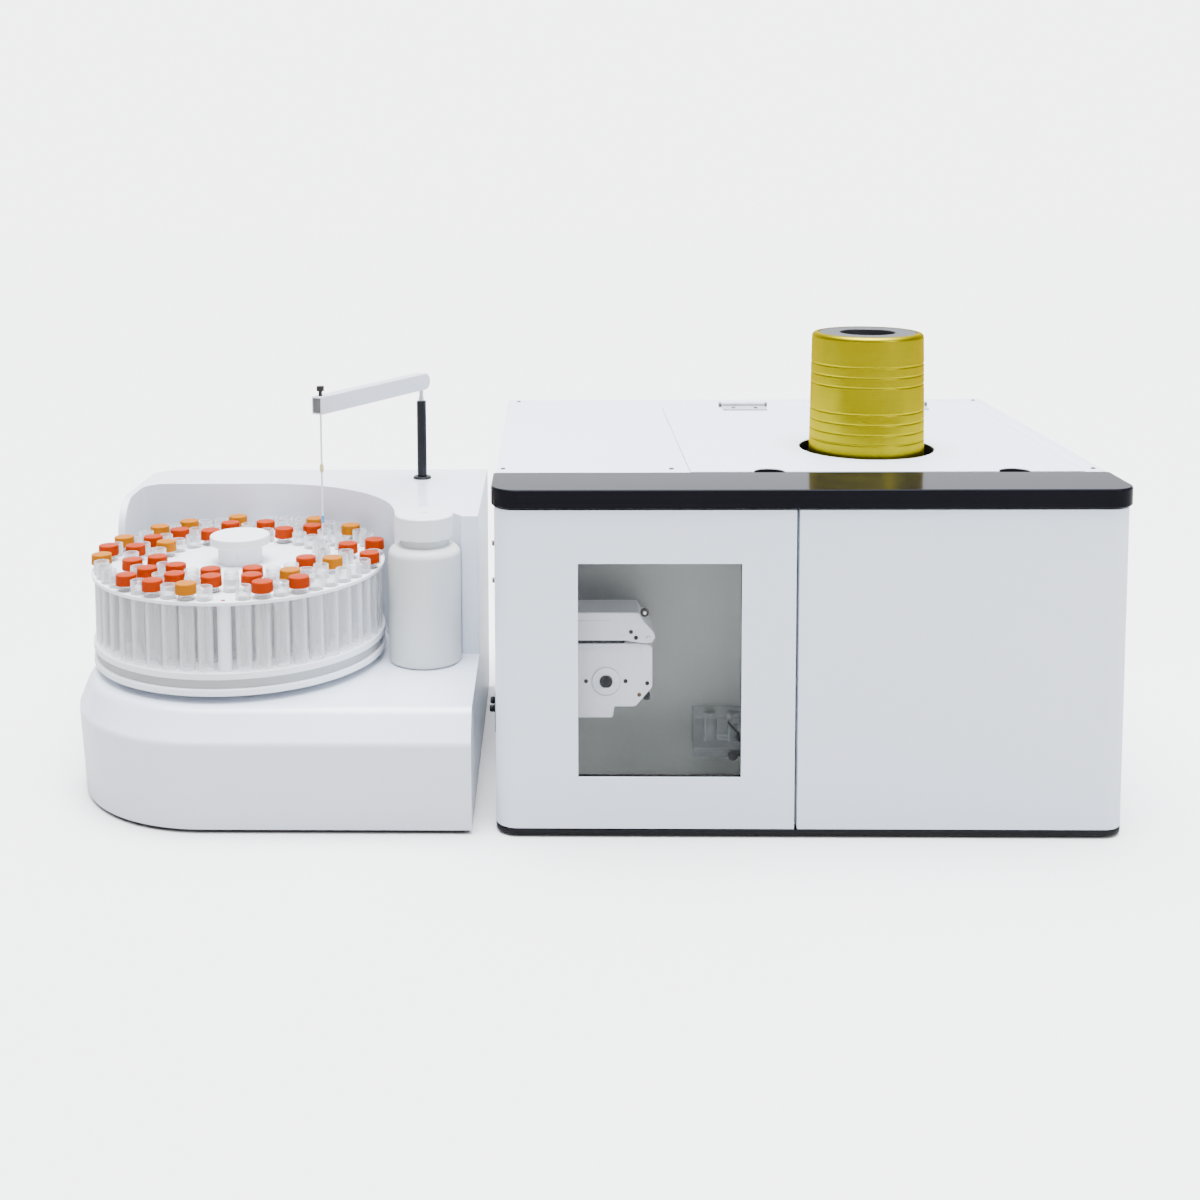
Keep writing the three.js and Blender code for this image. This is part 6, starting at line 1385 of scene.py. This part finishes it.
corner_block = block(
    (wing_left - WING_SPARE[0], wing_right + WING_SPARE[1]), (wing_y - WING_CUT, round_back),
    (high.z - WING_ROUND, high.z + WING_CUT),
)
round_place = (0, round_back, high.z - WING_ROUND)
rounding = drum(WING_ROUND, (wing_left - CUT, wing_right + CUT), round_place, "X", 96)
tower = carved(prism(tower_outline, DECK_Z - TOWER_ROOT, high.z), carved(corner_block, rounding))
ROD_RADIUS = 0.0058
ROD_HOLE = 0.0064
ROD_HOLE_LOW = 0.060
SPINDLE_HOLE = 0.0066
SPINDLE_HOLE_LOW = 0.1
rod_place = upright("column_rod")
cover = carved(
    joined(skirt, soft_edges(tower, TOWER_ROUND, 4)),
    drum(ROD_HOLE, (ROD_HOLE_LOW, high.z + CUT), rod_place, sides=48),
    drum(SPINDLE_HOLE, (SPINDLE_HOLE_LOW, DECK_Z + CUT), table, sides=48),
)
show("sampler_moulding", cover, gloss_white, "housing", "gloss_white", "sampler_cover")

# Lift column: a black flange on the tower and the guide below it, and the black rod that slides in
# them, with the thin bright neck that carries the arm.
FLANGE_EDGE = 0.0009
GUIDE_RADIUS = 0.010
GUIDE_FLANGE = 0.003
GUIDE_SPREAD = 0.006
low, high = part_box("column_flange")
flange_radius = (high.x - low.x) / 2
rod_bore = ROD_RADIUS + KNUCKLE_GAP
flange_profile = [
    (rod_bore, low.z), (flange_radius, low.z), (flange_radius, high.z - FLANGE_EDGE),
    (flange_radius - FLANGE_EDGE, high.z), (rod_bore, high.z),
]
show("rod_flange", lathed(flange_profile, rod_place), satin_black, "housing", "rubber_black",
     "column_flange")
low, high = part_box("lift_guide")
guide_top = high.z - GUIDE_FLANGE
guide_profile = [
    (rod_bore, low.z), (GUIDE_RADIUS, low.z), (GUIDE_RADIUS, guide_top),
    (flange_radius + GUIDE_SPREAD, guide_top), (flange_radius + GUIDE_SPREAD, high.z), (rod_bore, high.z),
]
show("rod_guide", lathed(guide_profile, rod_place), dark_grey, "housing", "module_grey", "lift_guide")

rod_black = turned_finish(
    "black_anodised_rod", (0.004, 0.004, 0.006), (0.009, 0.009, 0.012), (0.3, 0.12), (500, 6e-6), rod_place,
    {"Metallic": 0.0, "Specular IOR Level": 0.2},
)
turned_grey = turned_finish(
    "turned_aluminium", (0.44, 0.45, 0.46), (0.56, 0.56, 0.57), (0.34, 0.15), (1400, 1e-5), flue,
)
ROD_TOP = 0.376
ROD_EDGE = 0.0006
NECK_RADIUS = 0.003
NECK_SHAPE = ((0, -0.002), (1, -0.002), (1, 0.004), (0.8, 0.0045))
NECK_TIP = 0.8
low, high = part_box("column_rod")
rod_profile = [
    (0, low.z), (ROD_RADIUS, low.z), (ROD_RADIUS, ROD_TOP - ROD_EDGE), (ROD_RADIUS - ROD_EDGE, ROD_TOP),
    (0, ROD_TOP),
]
show("lift_rod", lathed(rod_profile, rod_place, sides=64), rod_black, "lift_column", "rod_black",
     "column_rod")
neck_profile = [*stepped(NECK_RADIUS, ROD_TOP, NECK_SHAPE), (NECK_RADIUS * NECK_TIP, high.z), (0, high.z)]
show("rod_neck", lathed(neck_profile, rod_place, sides=40), turned_grey, "lift_column", "bare_aluminium")

# Sampling arm: a light box section with a round tail, drawn along X and turned to reach over the
# inner row of tubes, with its metal end plate, a dark thumb screw and the needle.
arm_white = finish(
    "light_grey_arm_paint", (0.60, 0.61, 0.66), (0.66, 0.67, 0.71), (0.36, 0.1), (900, 2e-5), 12.0,
)
ARM_REACH = 0.202
ARM_WIDTH = 0.014
ARM_HEIGHT = 0.020
ARM_NOSE = 0.007
ARM_ROUND = 0.0012
NEEDLE_RADIUS = 0.0011
END_INSET = 0.0018
END_DEEP = 0.0012
needle_low, needle_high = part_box("needle")
needle_place = upright("needle")
arm_turn = math.atan2(needle_place[1] - rod_place[1], needle_place[0] - rod_place[0])
arm_base = (*rod_place[:2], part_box("arm_beam")[0].z)
onto_arm = Matrix.Translation(arm_base) @ Matrix.Rotation(arm_turn, 4, "Z")
arm_end = ARM_REACH + ARM_NOSE


def show_on_arm(name, mesh, *rest):
    """A piece of the arm, drawn along X from the column and turned into its place."""
    mesh.transform(onto_arm)
    show(name, mesh, *rest)


side_outline = [(arm_end, 0), (arm_end, ARM_HEIGHT), *arc((0, ARM_HEIGHT / 2), ARM_HEIGHT / 2, 90, 270, 24)]
end_recess = block(
    (arm_end - END_DEEP, arm_end + CUT), (END_INSET - ARM_WIDTH / 2, ARM_WIDTH / 2 - END_INSET),
    (END_INSET, ARM_HEIGHT - END_INSET),
)
needle_hole = drum(NEEDLE_RADIUS + KNUCKLE_GAP, (-CUT, ARM_HEIGHT / 2), (ARM_REACH, 0, 0), sides=24)
arm = soft_edges(prism(side_outline, -ARM_WIDTH / 2, ARM_WIDTH / 2, "Y"), ARM_ROUND)
show_on_arm("arm_section", carved(arm, end_recess, needle_hole), arm_white, "sampling_arm", "arm_white",
            "arm_beam")

end_metal = finish(
    "brushed_end_plate", (0.11, 0.11, 0.115), (0.15, 0.15, 0.15), (0.45, 0.15), (1200, 2e-5), 60.0,
    {"Metallic": 0.6},
)
PLATE_SPREAD = 0.0002
PLATE_X = (-0.0005, -0.0004)
plate_inset = END_INSET - PLATE_SPREAD
end_plate = block(
    (arm_end - END_DEEP + PLATE_X[0], arm_end + PLATE_X[1]),
    (plate_inset - ARM_WIDTH / 2, ARM_WIDTH / 2 - plate_inset), (plate_inset, ARM_HEIGHT - plate_inset),
)
show_on_arm("arm_end_plate", soft_edges(end_plate, FINE_EDGE, 2), end_metal, "sampling_arm",
            "bare_aluminium")
KNURL_RADIUS = 0.0042
KNURL_COUNT = 18
KNURL_SHARE = 0.93
SCREW_RISE = 0.011
STEM_Z = (ARM_HEIGHT - 0.002, ARM_HEIGHT + 0.006)
knurled = []
for i in range(KNURL_COUNT * 2):
    angle = math.pi * i / KNURL_COUNT
    radius = KNURL_RADIUS if i % 2 else KNURL_RADIUS * KNURL_SHARE
    knurled.append((ARM_REACH + radius * math.cos(angle), radius * math.sin(angle)))
thumb_head = prism(knurled, ARM_HEIGHT + SCREW_RISE / 2, ARM_HEIGHT + SCREW_RISE)
thumb_stem = drum(KNURL_RADIUS / 2, STEM_Z, (ARM_REACH, 0, 0), sides=32)
show_on_arm("arm_thumb_screw", joined(thumb_stem, soft_edges(thumb_head, FINE_EDGE, 2, angle=60)),
            dark_steel, "sampling_arm", "module_grey")
TAIL_RADIUS = 0.0022
TAIL_X = (-ARM_HEIGHT / 2 - 0.0006, -ARM_HEIGHT / 2 + 0.002)
tail_screw = drum(TAIL_RADIUS, TAIL_X, (0, 0, ARM_HEIGHT / 2), "X", 32)
show_on_arm("arm_tail_screw", tail_screw, dark_steel, "sampling_arm", "module_grey")

fluoropolymer = finish(
    "white_fluoropolymer", (0.76, 0.77, 0.83), (0.84, 0.85, 0.88), (0.3, 0.1), (1500, 1e-5), 60.0,
    {"Subsurface Weight": 0.2, "Subsurface Radius": (0.002, 0.002, 0.002)},
)
yellowed = finish(
    "yellowed_silicone", (0.62, 0.52, 0.20), (0.70, 0.62, 0.32), (0.4, 0.1), (900, 2e-5), 150.0,
    {"Subsurface Weight": 0.2, "Subsurface Radius": (0.002, 0.002, 0.001)},
)
tip_blue = finish(
    "blue_tip_sleeve", (0.03, 0.25, 0.72), (0.06, 0.36, 0.80), (0.35, 0.1), (900, 2e-5), 200.0,
)
NEEDLE_BORE = 0.0005
POINT_SHAPE = ((0.8, 0), (1, 0.002))
needle_profile = [
    (NEEDLE_BORE, needle_low.z), *stepped(NEEDLE_RADIUS, needle_low.z, POINT_SHAPE),
    (NEEDLE_RADIUS, needle_high.z), (NEEDLE_BORE, needle_high.z),
]
show("sampling_needle", lathed(needle_profile, needle_place, sides=24), fluoropolymer, "sampling_arm",
     "needle_white", "needle")
SLEEVE_RADIUS = 0.0023
SLEEVE_BORE = NEEDLE_RADIUS + 0.0001
SLEEVE_FOOT = ((0.8, 0), (1, 0.001))
SLEEVE_HEAD = ((1, -0.003), (0.6, 0))
low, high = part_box("needle_fitting")
sleeve_profile = [
    (SLEEVE_BORE, low.z), *stepped(SLEEVE_RADIUS, low.z, SLEEVE_FOOT),
    *stepped(SLEEVE_RADIUS, high.z, SLEEVE_HEAD), (SLEEVE_BORE, high.z),
]
show("needle_joint", lathed(sleeve_profile, needle_place, sides=32), yellowed, "sampling_arm",
     "milky_plastic", "needle_fitting")
TIP_BORE = NEEDLE_RADIUS + 0.00005
TIP_RADIUS = 0.0017
TIP_SLEEVE = (0.0155, 0.0235)
tip_profile = sleeve(TIP_BORE, TIP_RADIUS, *(needle_low.z + z for z in TIP_SLEEVE))
show("needle_tip_sleeve", lathed(tip_profile, needle_place, sides=32), tip_blue, "sampling_arm",
     "needle_white")

# Reagent bottle and cap: blown polyethylene, milky and a little see-through, with a screw cap that
# has fine ribs round its side and a moulded pip in the middle of its top.
polyethylene = finish(
    "milky_polyethylene", (0.78, 0.79, 0.78), (0.85, 0.86, 0.84), (0.38, 0.1), (240, 4e-5), 14.0,
    {"Transmission Weight": 0.25, "IOR": 1.5, "Metallic": 0.0, "Subsurface Weight": 0.35,
     "Subsurface Radius": (0.012, 0.012, 0.012)},
)
BOTTLE_RADIUS = 0.0393
BOTTLE_WALL = 0.002
WALL_DROP = BOTTLE_WALL * 0.4
BOTTLE_HEEL = 0.001
BOTTLE_SHOULDER = 0.119
SHOULDER_DROP = 0.010
SHOULDER_STEPS = 10
NECK_OUTER = 0.026
BASE_ROUND = 0.004
low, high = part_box("bottle_body")
base_round = arc((BOTTLE_RADIUS - BASE_ROUND, low.z + BASE_ROUND), BASE_ROUND, 280, 360, 6)
shoulder = []
for i in range(SHOULDER_STEPS + 1):
    angle = math.pi / 2 * i / SHOULDER_STEPS
    shoulder.append((
        BOTTLE_RADIUS - (BOTTLE_RADIUS - NECK_OUTER) * (1 - math.cos(angle)),
        low.z + BOTTLE_SHOULDER + SHOULDER_DROP * math.sin(angle),
    ))
wall_inside = [
    (max(radius - BOTTLE_WALL, 0), z - WALL_DROP) for radius, z in (*base_round[6:], *shoulder)
]
bottle_profile = [
    (0, low.z), (BOTTLE_RADIUS - BASE_ROUND, low.z), *base_round, *shoulder, (NECK_OUTER, high.z),
    (NECK_OUTER - BOTTLE_WALL, high.z), *reversed(wall_inside),
    (BOTTLE_RADIUS - BOTTLE_WALL, low.z + BOTTLE_WALL + BOTTLE_HEEL), (0, low.z + BOTTLE_WALL),
]
show("reagent_bottle", lathed(bottle_profile, bottle_place, sides=96), polyethylene, "bottle",
     "milky_plastic", "bottle_body")

cap_white = finish(
    "white_cap_moulding", (0.76, 0.77, 0.78), (0.82, 0.83, 0.83), (0.36, 0.08), (600, 2e-5), 20.0,
    {"Subsurface Weight": 0.15, "Subsurface Radius": (0.006, 0.006, 0.006)},
)
CAP_RADIUS = 0.0315
CAP_RIBS = 60
RIB_DEPTH = 0.0004
CAP_ROUND = 0.0022
CAP_ROUND_ANGLES = (0, 22, 45, 68, 90)
CAP_FOOT = 0.0006
RIB_STOP = 0.001
CAP_CAVITY = NECK_OUTER + KNUCKLE_GAP
PIP_RADIUS = 0.0045
PIP_STEP = (0.0003, 0.0008)
neck_top = high.z + KNUCKLE_GAP
low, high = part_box("bottle_cap")
cap_levels = [
    (CAP_CAVITY, neck_top, 0), (CAP_CAVITY, low.z, 0), (CAP_RADIUS - CAP_FOOT, low.z, 1),
    (CAP_RADIUS, low.z + CAP_FOOT, 1), (CAP_RADIUS, high.z - CAP_ROUND - RIB_STOP, 1),
]
for angle in map(math.radians, CAP_ROUND_ANGLES):
    cap_levels.append((
        CAP_RADIUS - CAP_ROUND * (1 - math.cos(angle)), high.z - CAP_ROUND + CAP_ROUND * math.sin(angle), 0,
    ))
cap_levels += [(PIP_RADIUS, high.z, 0), (PIP_RADIUS - PIP_STEP[0], high.z - PIP_STEP[1], 0)]
cap_rings = []
for radius, z, ribbed in cap_levels:
    ring = []
    for i in range(CAP_RIBS * 4):
        angle = 2 * math.pi * i / (CAP_RIBS * 4)
        reach = radius - (RIB_DEPTH if ribbed and i % 4 < 2 else 0)
        ring.append((bottle_x + reach * math.cos(angle), bottle_y + reach * math.sin(angle), z))
    cap_rings.append(ring)
show("reagent_cap", loft(cap_rings), cap_white, "cap", "milky_plastic", "bottle_cap")

# Turntable: the drive under the deck with its spindle, the white disc on it, and the clear ring
# that carries the rack.
MOTOR_RADIUS = 0.030
MOTOR_TOP = 0.1197
MOTOR_EDGE = 0.001
SPINDLE_RADIUS = 0.006
SPINDLE_EDGE = 0.0006
low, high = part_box("turntable_motor")
motor_profile = [
    (0, low.z), (MOTOR_RADIUS - MOTOR_EDGE, low.z), (MOTOR_RADIUS, low.z + MOTOR_EDGE),
    (MOTOR_RADIUS, MOTOR_TOP - MOTOR_EDGE), (MOTOR_RADIUS - MOTOR_EDGE, MOTOR_TOP),
    (SPINDLE_RADIUS, MOTOR_TOP), (SPINDLE_RADIUS, high.z - SPINDLE_EDGE),
    (SPINDLE_RADIUS - SPINDLE_EDGE, high.z), (0, high.z),
]
show("turntable_drive", lathed(motor_profile, table), dark_grey, "housing", "module_grey",
     "turntable_motor")

disc_white = finish(
    "satin_white_disc", (0.80, 0.82, 0.86), (0.85, 0.865, 0.90), (0.35, 0.08), (500, 2e-5), 10.0,
)
DISC_RADIUS = 0.1585
DISC_BOTTOM = 0.1315
DISC_HUB = 0.020
DISC_EDGE = 0.0018
HUB_TOP = DISC_BOTTOM + 0.002
low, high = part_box("turntable_disc")


def plate(bore, radius, bottom, top, edge):
    """A flat ring about the turntable's axis, with rounded outer edges."""
    profile = [
        (bore, bottom), *arc((radius - edge, bottom + edge), edge, 270, 360, 5),
        *arc((radius - edge, top - edge), edge, 0, 90, 5), (bore, top),
    ]
    return lathed(profile, table, sides=192)


hub = lathed(sleeve(SPINDLE_HOLE, DISC_HUB, low.z, HUB_TOP), table)
disc = joined(plate(SPINDLE_HOLE, DISC_RADIUS, DISC_BOTTOM, high.z, DISC_EDGE), hub)
show("carousel_disc", disc, disc_white, "carousel", "gloss_white", "turntable_disc")

ring_acrylic = finish(
    "hazy_acrylic_ring", (0.60, 0.62, 0.62), (0.70, 0.71, 0.70), (0.2, 0.1), (300, 2e-5), 30.0,
    {"Alpha": 0.55},
)
RING_WIDTH = 0.005
low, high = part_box("rack_spacer_ring")
ring_radius = (high.x - low.x) / 2
spacer = plate(ring_radius - RING_WIDTH, ring_radius, low.z, high.z, SMALL_EDGE)
show("carousel_ring", spacer, ring_acrylic, "carousel", "milky_plastic", "rack_spacer_ring")

# Tube rack: a lower plate, four posts and an upper plate drilled for three rows of tubes. A node
# tree stands the tubes and their red and yellow caps on the rows' places. Each row has a radius, a
# number of places, the first one's angle, and the places with red and with yellow caps.
POST_DEGREES = -85
POST_EVERY = 12
MIDDLE_DEGREES = 7
inner_degrees = math.degrees(math.atan2(needle_place[1] - TABLE_Y, needle_place[0] - TABLE_X))
ROWS = (
    (0.148, 48, POST_DEGREES, (2, 4, 10, 13, 35, 42, 44), (17, 20, 25, 28, 30, 33, 37, 46)),
    (0.118, 36, MIDDLE_DEGREES, (0, 5, 8, 10, 13, 15, 17, 20, 22, 24, 26, 28), (30, 33)),
    (0.091, 26, inner_degrees, (4, 8, 14, 16, 18, 20, 23), (11,)),
)
PLATE_BOTTOM = 0.1488
PLATE_TOP = 0.1558
PLATE_EDGE = 0.0008
TUBE_RADIUS = 0.0081
TUBE_WALL = 0.0010
TUBE_TOP = 0.243
TUBE_SINK = 0.0004
HOLE_RADIUS = 0.0085
POST_RADIUS = 0.007
SEAT_DEPTH = 0.0035
tube_places, post_places, red_places, yellow_places = [], [], [], []
for radius, count, first, red, yellow in ROWS:
    for i in range(count):
        angle = math.radians(first + 360 * i / count)
        x, y = TABLE_X + radius * math.cos(angle), TABLE_Y + radius * math.sin(angle)
        if first == POST_DEGREES and i % POST_EVERY == 0:
            post_places.append((x, y, 0))
            continue
        if first == inner_degrees and i == 0:
            open_place = (x, y, 0)
            continue
        tube_places.append((x, y, PLATE_TOP - TUBE_SINK))
        if i in red:
            red_places.append((x, y, 0))
        if i in yellow:
            yellow_places.append((x, y, 0))

upper_low, upper_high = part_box("rack_upper_plate")
lower_plate = carved(
    plate(SPINDLE_HOLE, DISC_RADIUS, PLATE_BOTTOM, PLATE_TOP, PLATE_EDGE),
    drum(TUBE_RADIUS + KNUCKLE_GAP, (PLATE_TOP - SEAT_DEPTH, TUBE_TOP), open_place, sides=32),
)
show("rack_lower_plate", lower_plate, disc_white, "carousel", "gloss_white", "tube_rack")


def gathered(radius, span, places, sides):
    """Equal upright cylinders, one on each place, as one mesh."""
    shape = bmesh.new()
    for x, y, _ in places:
        shape.from_mesh(drum(radius, span, (x, y, 0), sides=sides))
    return as_mesh(shape)


posts = gathered(POST_RADIUS, (PLATE_TOP - OVERLAP, upper_low.z - KNUCKLE_GAP), post_places, 40)
show("rack_posts", posts, disc_white, "carousel", "gloss_white")
upper_plate = carved(
    plate(SPINDLE_HOLE, DISC_RADIUS, upper_low.z, upper_high.z, PLATE_EDGE),
    gathered(HOLE_RADIUS, (upper_low.z - CUT, upper_high.z + CUT), [*tube_places, open_place], 32),
)
show("rack_top_plate", upper_plate, disc_white, "carousel", "gloss_white", "rack_upper_plate")

hazy = finish(
    "hazy_polypropylene", (0.86, 0.87, 0.89), (0.92, 0.925, 0.94), (0.22, 0.12), (400, 4e-5), 60.0,
)
# The tubes grow more opaque towards their outlines: partly the real haze of a wall seen slantwise, and
# partly a painted sheen in place of the walls' glancing reflection.
WALL_HAZE = 0.17
EDGE_HAZE_AND_SHEEN = 0.45
SHADOW_SHARE = 0.12
DEPTH_LIMIT = 6
wire(
    hazy.node_tree,
    {
        "path": ("ShaderNodeLightPath", {}),
        "slant": ("ShaderNodeLayerWeight", {}),
        "deep": (MATHS, {"operation": "GREATER_THAN", 1: DEPTH_LIMIT}),
        "edge": (MATHS, {"operation": "MULTIPLY_ADD", 1: EDGE_HAZE_AND_SHEEN, 2: WALL_HAZE}),
        "watched": (MATHS, {"operation": "MULTIPLY_ADD", 1: 1 - SHADOW_SHARE, 2: SHADOW_SHARE}),
        "faded": (MATHS, {"operation": "MULTIPLY"}),
        "opaque": (MATHS, {"operation": "MAXIMUM"}),
    },
    "path.Transparent Depth > deep.0", "slant.Facing > edge.0", "deep.0 > opaque.0",
    "path.Is Camera Ray > watched.0", "edge.0 > faded.0", "watched.0 > faded.1",
    "faded.0 > opaque.1", "opaque.0 > Principled BSDF.Alpha",
)
TUBE_FLOOR = 0.003
TUBE_LIP = 0.0006
TUBE_FOOT = 0.001
tube_height = TUBE_TOP - PLATE_TOP + TUBE_SINK
tube_bore = TUBE_RADIUS - TUBE_WALL
tube_profile = [
    (0, 0), (TUBE_RADIUS - TUBE_FOOT, 0), (TUBE_RADIUS, TUBE_FOOT), (TUBE_RADIUS, tube_height - TUBE_LIP),
    (TUBE_RADIUS - TUBE_WALL / 2, tube_height), (tube_bore, tube_height - TUBE_LIP),
    (tube_bore, TUBE_FLOOR + TUBE_FOOT), (tube_bore - TUBE_FOOT, TUBE_FLOOR), (0, TUBE_FLOOR),
]
tube_head = bpy.data.objects.new("tube", lathed(tube_profile, (0, 0, 0), sides=28))
show("rack_tubes", scattered(tube_places, tube_head, hazy, 2), hazy, "carousel", "tube_clear")
low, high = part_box("open_sample_tube")
open_profile = [(radius, low.z + z * (high.z - low.z) / tube_height) for radius, z in tube_profile]
show("open_tube", lathed(open_profile, open_place, sides=48), hazy, "carousel", "tube_clear",
     "open_sample_tube")

CAP_OUTER = 0.0111
CAP_LOW = 0.2352
CAP_HIGH = 0.246
CAP_TAPER = 0.0004
CAP_EDGE = 0.0009
CAP_LIP = (0.0003, 0.0004)
CAP_GAP = 0.0001
cap_profile = [
    (TUBE_RADIUS + CAP_GAP, CAP_LOW), (CAP_OUTER - CAP_LIP[0], CAP_LOW), (CAP_OUTER, CAP_LOW + CAP_LIP[1]),
    *arc((CAP_OUTER - CAP_TAPER - CAP_EDGE, CAP_HIGH - CAP_EDGE), CAP_EDGE, 0, 90, 5),
    (0, CAP_HIGH), (0, TUBE_TOP + CAP_GAP), (TUBE_RADIUS + CAP_GAP, TUBE_TOP + CAP_GAP),
]
cap_head = bpy.data.objects.new("cap", lathed(cap_profile, (0, 0, 0), sides=40))
for name, first, second, places, seed in (
    ("red", (0.29, 0.020, 0.0), (0.36, 0.034, 0.0), red_places, 5),
    ("yellow", (0.35, 0.104, 0.0), (0.42, 0.134, 0.0), yellow_places, 6),
):
    plastic = finish(
        name + "_orange_cap", first, second, (0.38, 0.08), (900, 3e-5), 40.0, {"Specular IOR Level": 0.05},
    )
    show(name + "_caps", scattered(places, cap_head, plastic, seed), plastic, "carousel")
dot_paint = finish(
    "red_brown_dot", (0.22, 0.03, 0.02), (0.30, 0.05, 0.03), (0.5, 0.1), (900, 2e-5), 300.0,
)
DOT_RADIUS = 0.0022
DOT_INSET = 0.004
DOT_EDGE = 0.0002
DOT_RISE = 0.0006
dot_z = (upper_high.z - OVERLAP, upper_high.z + DOT_RISE)
dot_place = (post_places[0][0], post_places[0][1] - DOT_INSET, 0)
dot = soft_edges(drum(DOT_RADIUS, dot_z, dot_place, sides=32), DOT_EDGE, 2)
show("front_dot", dot, dot_paint, "carousel")

# Rack knob: a broad white head on a neck, matte, with a small set screw in the front of the neck.
knob_white = finish(
    "matte_white_knob", (0.78, 0.785, 0.80), (0.83, 0.835, 0.845), (0.5, 0.1), (1200, 4e-5), 14.0,
)
HEAD_RADIUS = 0.0325
HEAD_THICKNESS = 0.010
HEAD_EDGE = 0.0018
KNOB_NECK = 0.024
SOCKET_TOP = 0.2405
SOCKET_RADIUS = 0.0075
low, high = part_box("rack_knob")
under = high.z - HEAD_THICKNESS
lower_edge = HEAD_EDGE / 2
knob_profile = [
    (0, SOCKET_TOP), (SOCKET_RADIUS, SOCKET_TOP), (SOCKET_RADIUS, low.z), (KNOB_NECK, low.z),
    (KNOB_NECK, under),
    *arc((HEAD_RADIUS - lower_edge, under + lower_edge), lower_edge, 270, 360, 4),
    *arc((HEAD_RADIUS - HEAD_EDGE, high.z - HEAD_EDGE), HEAD_EDGE, 0, 90, 6), (0, high.z),
]
show("carousel_knob", lathed(knob_profile, table, sides=96), knob_white, "knob", "gloss_white", "rack_knob")
SET_SCREW = 0.0018
SET_SHIFT = 0.002
SET_Y = (-0.0003, 0.003)
SET_SOCKET_Y = (-0.001, 0.0006)
screw_place = (TABLE_X + SET_SHIFT, TABLE_Y - KNOB_NECK, (low.z + under) / 2)
set_screw = carved(
    drum(SET_SCREW, SET_Y, screw_place, "Y", 32), drum(SET_SCREW / 2, SET_SOCKET_Y, screw_place, "Y", 6),
)
show("knob_set_screw", set_screw, plated_steel, "knob", "hinge_metal")
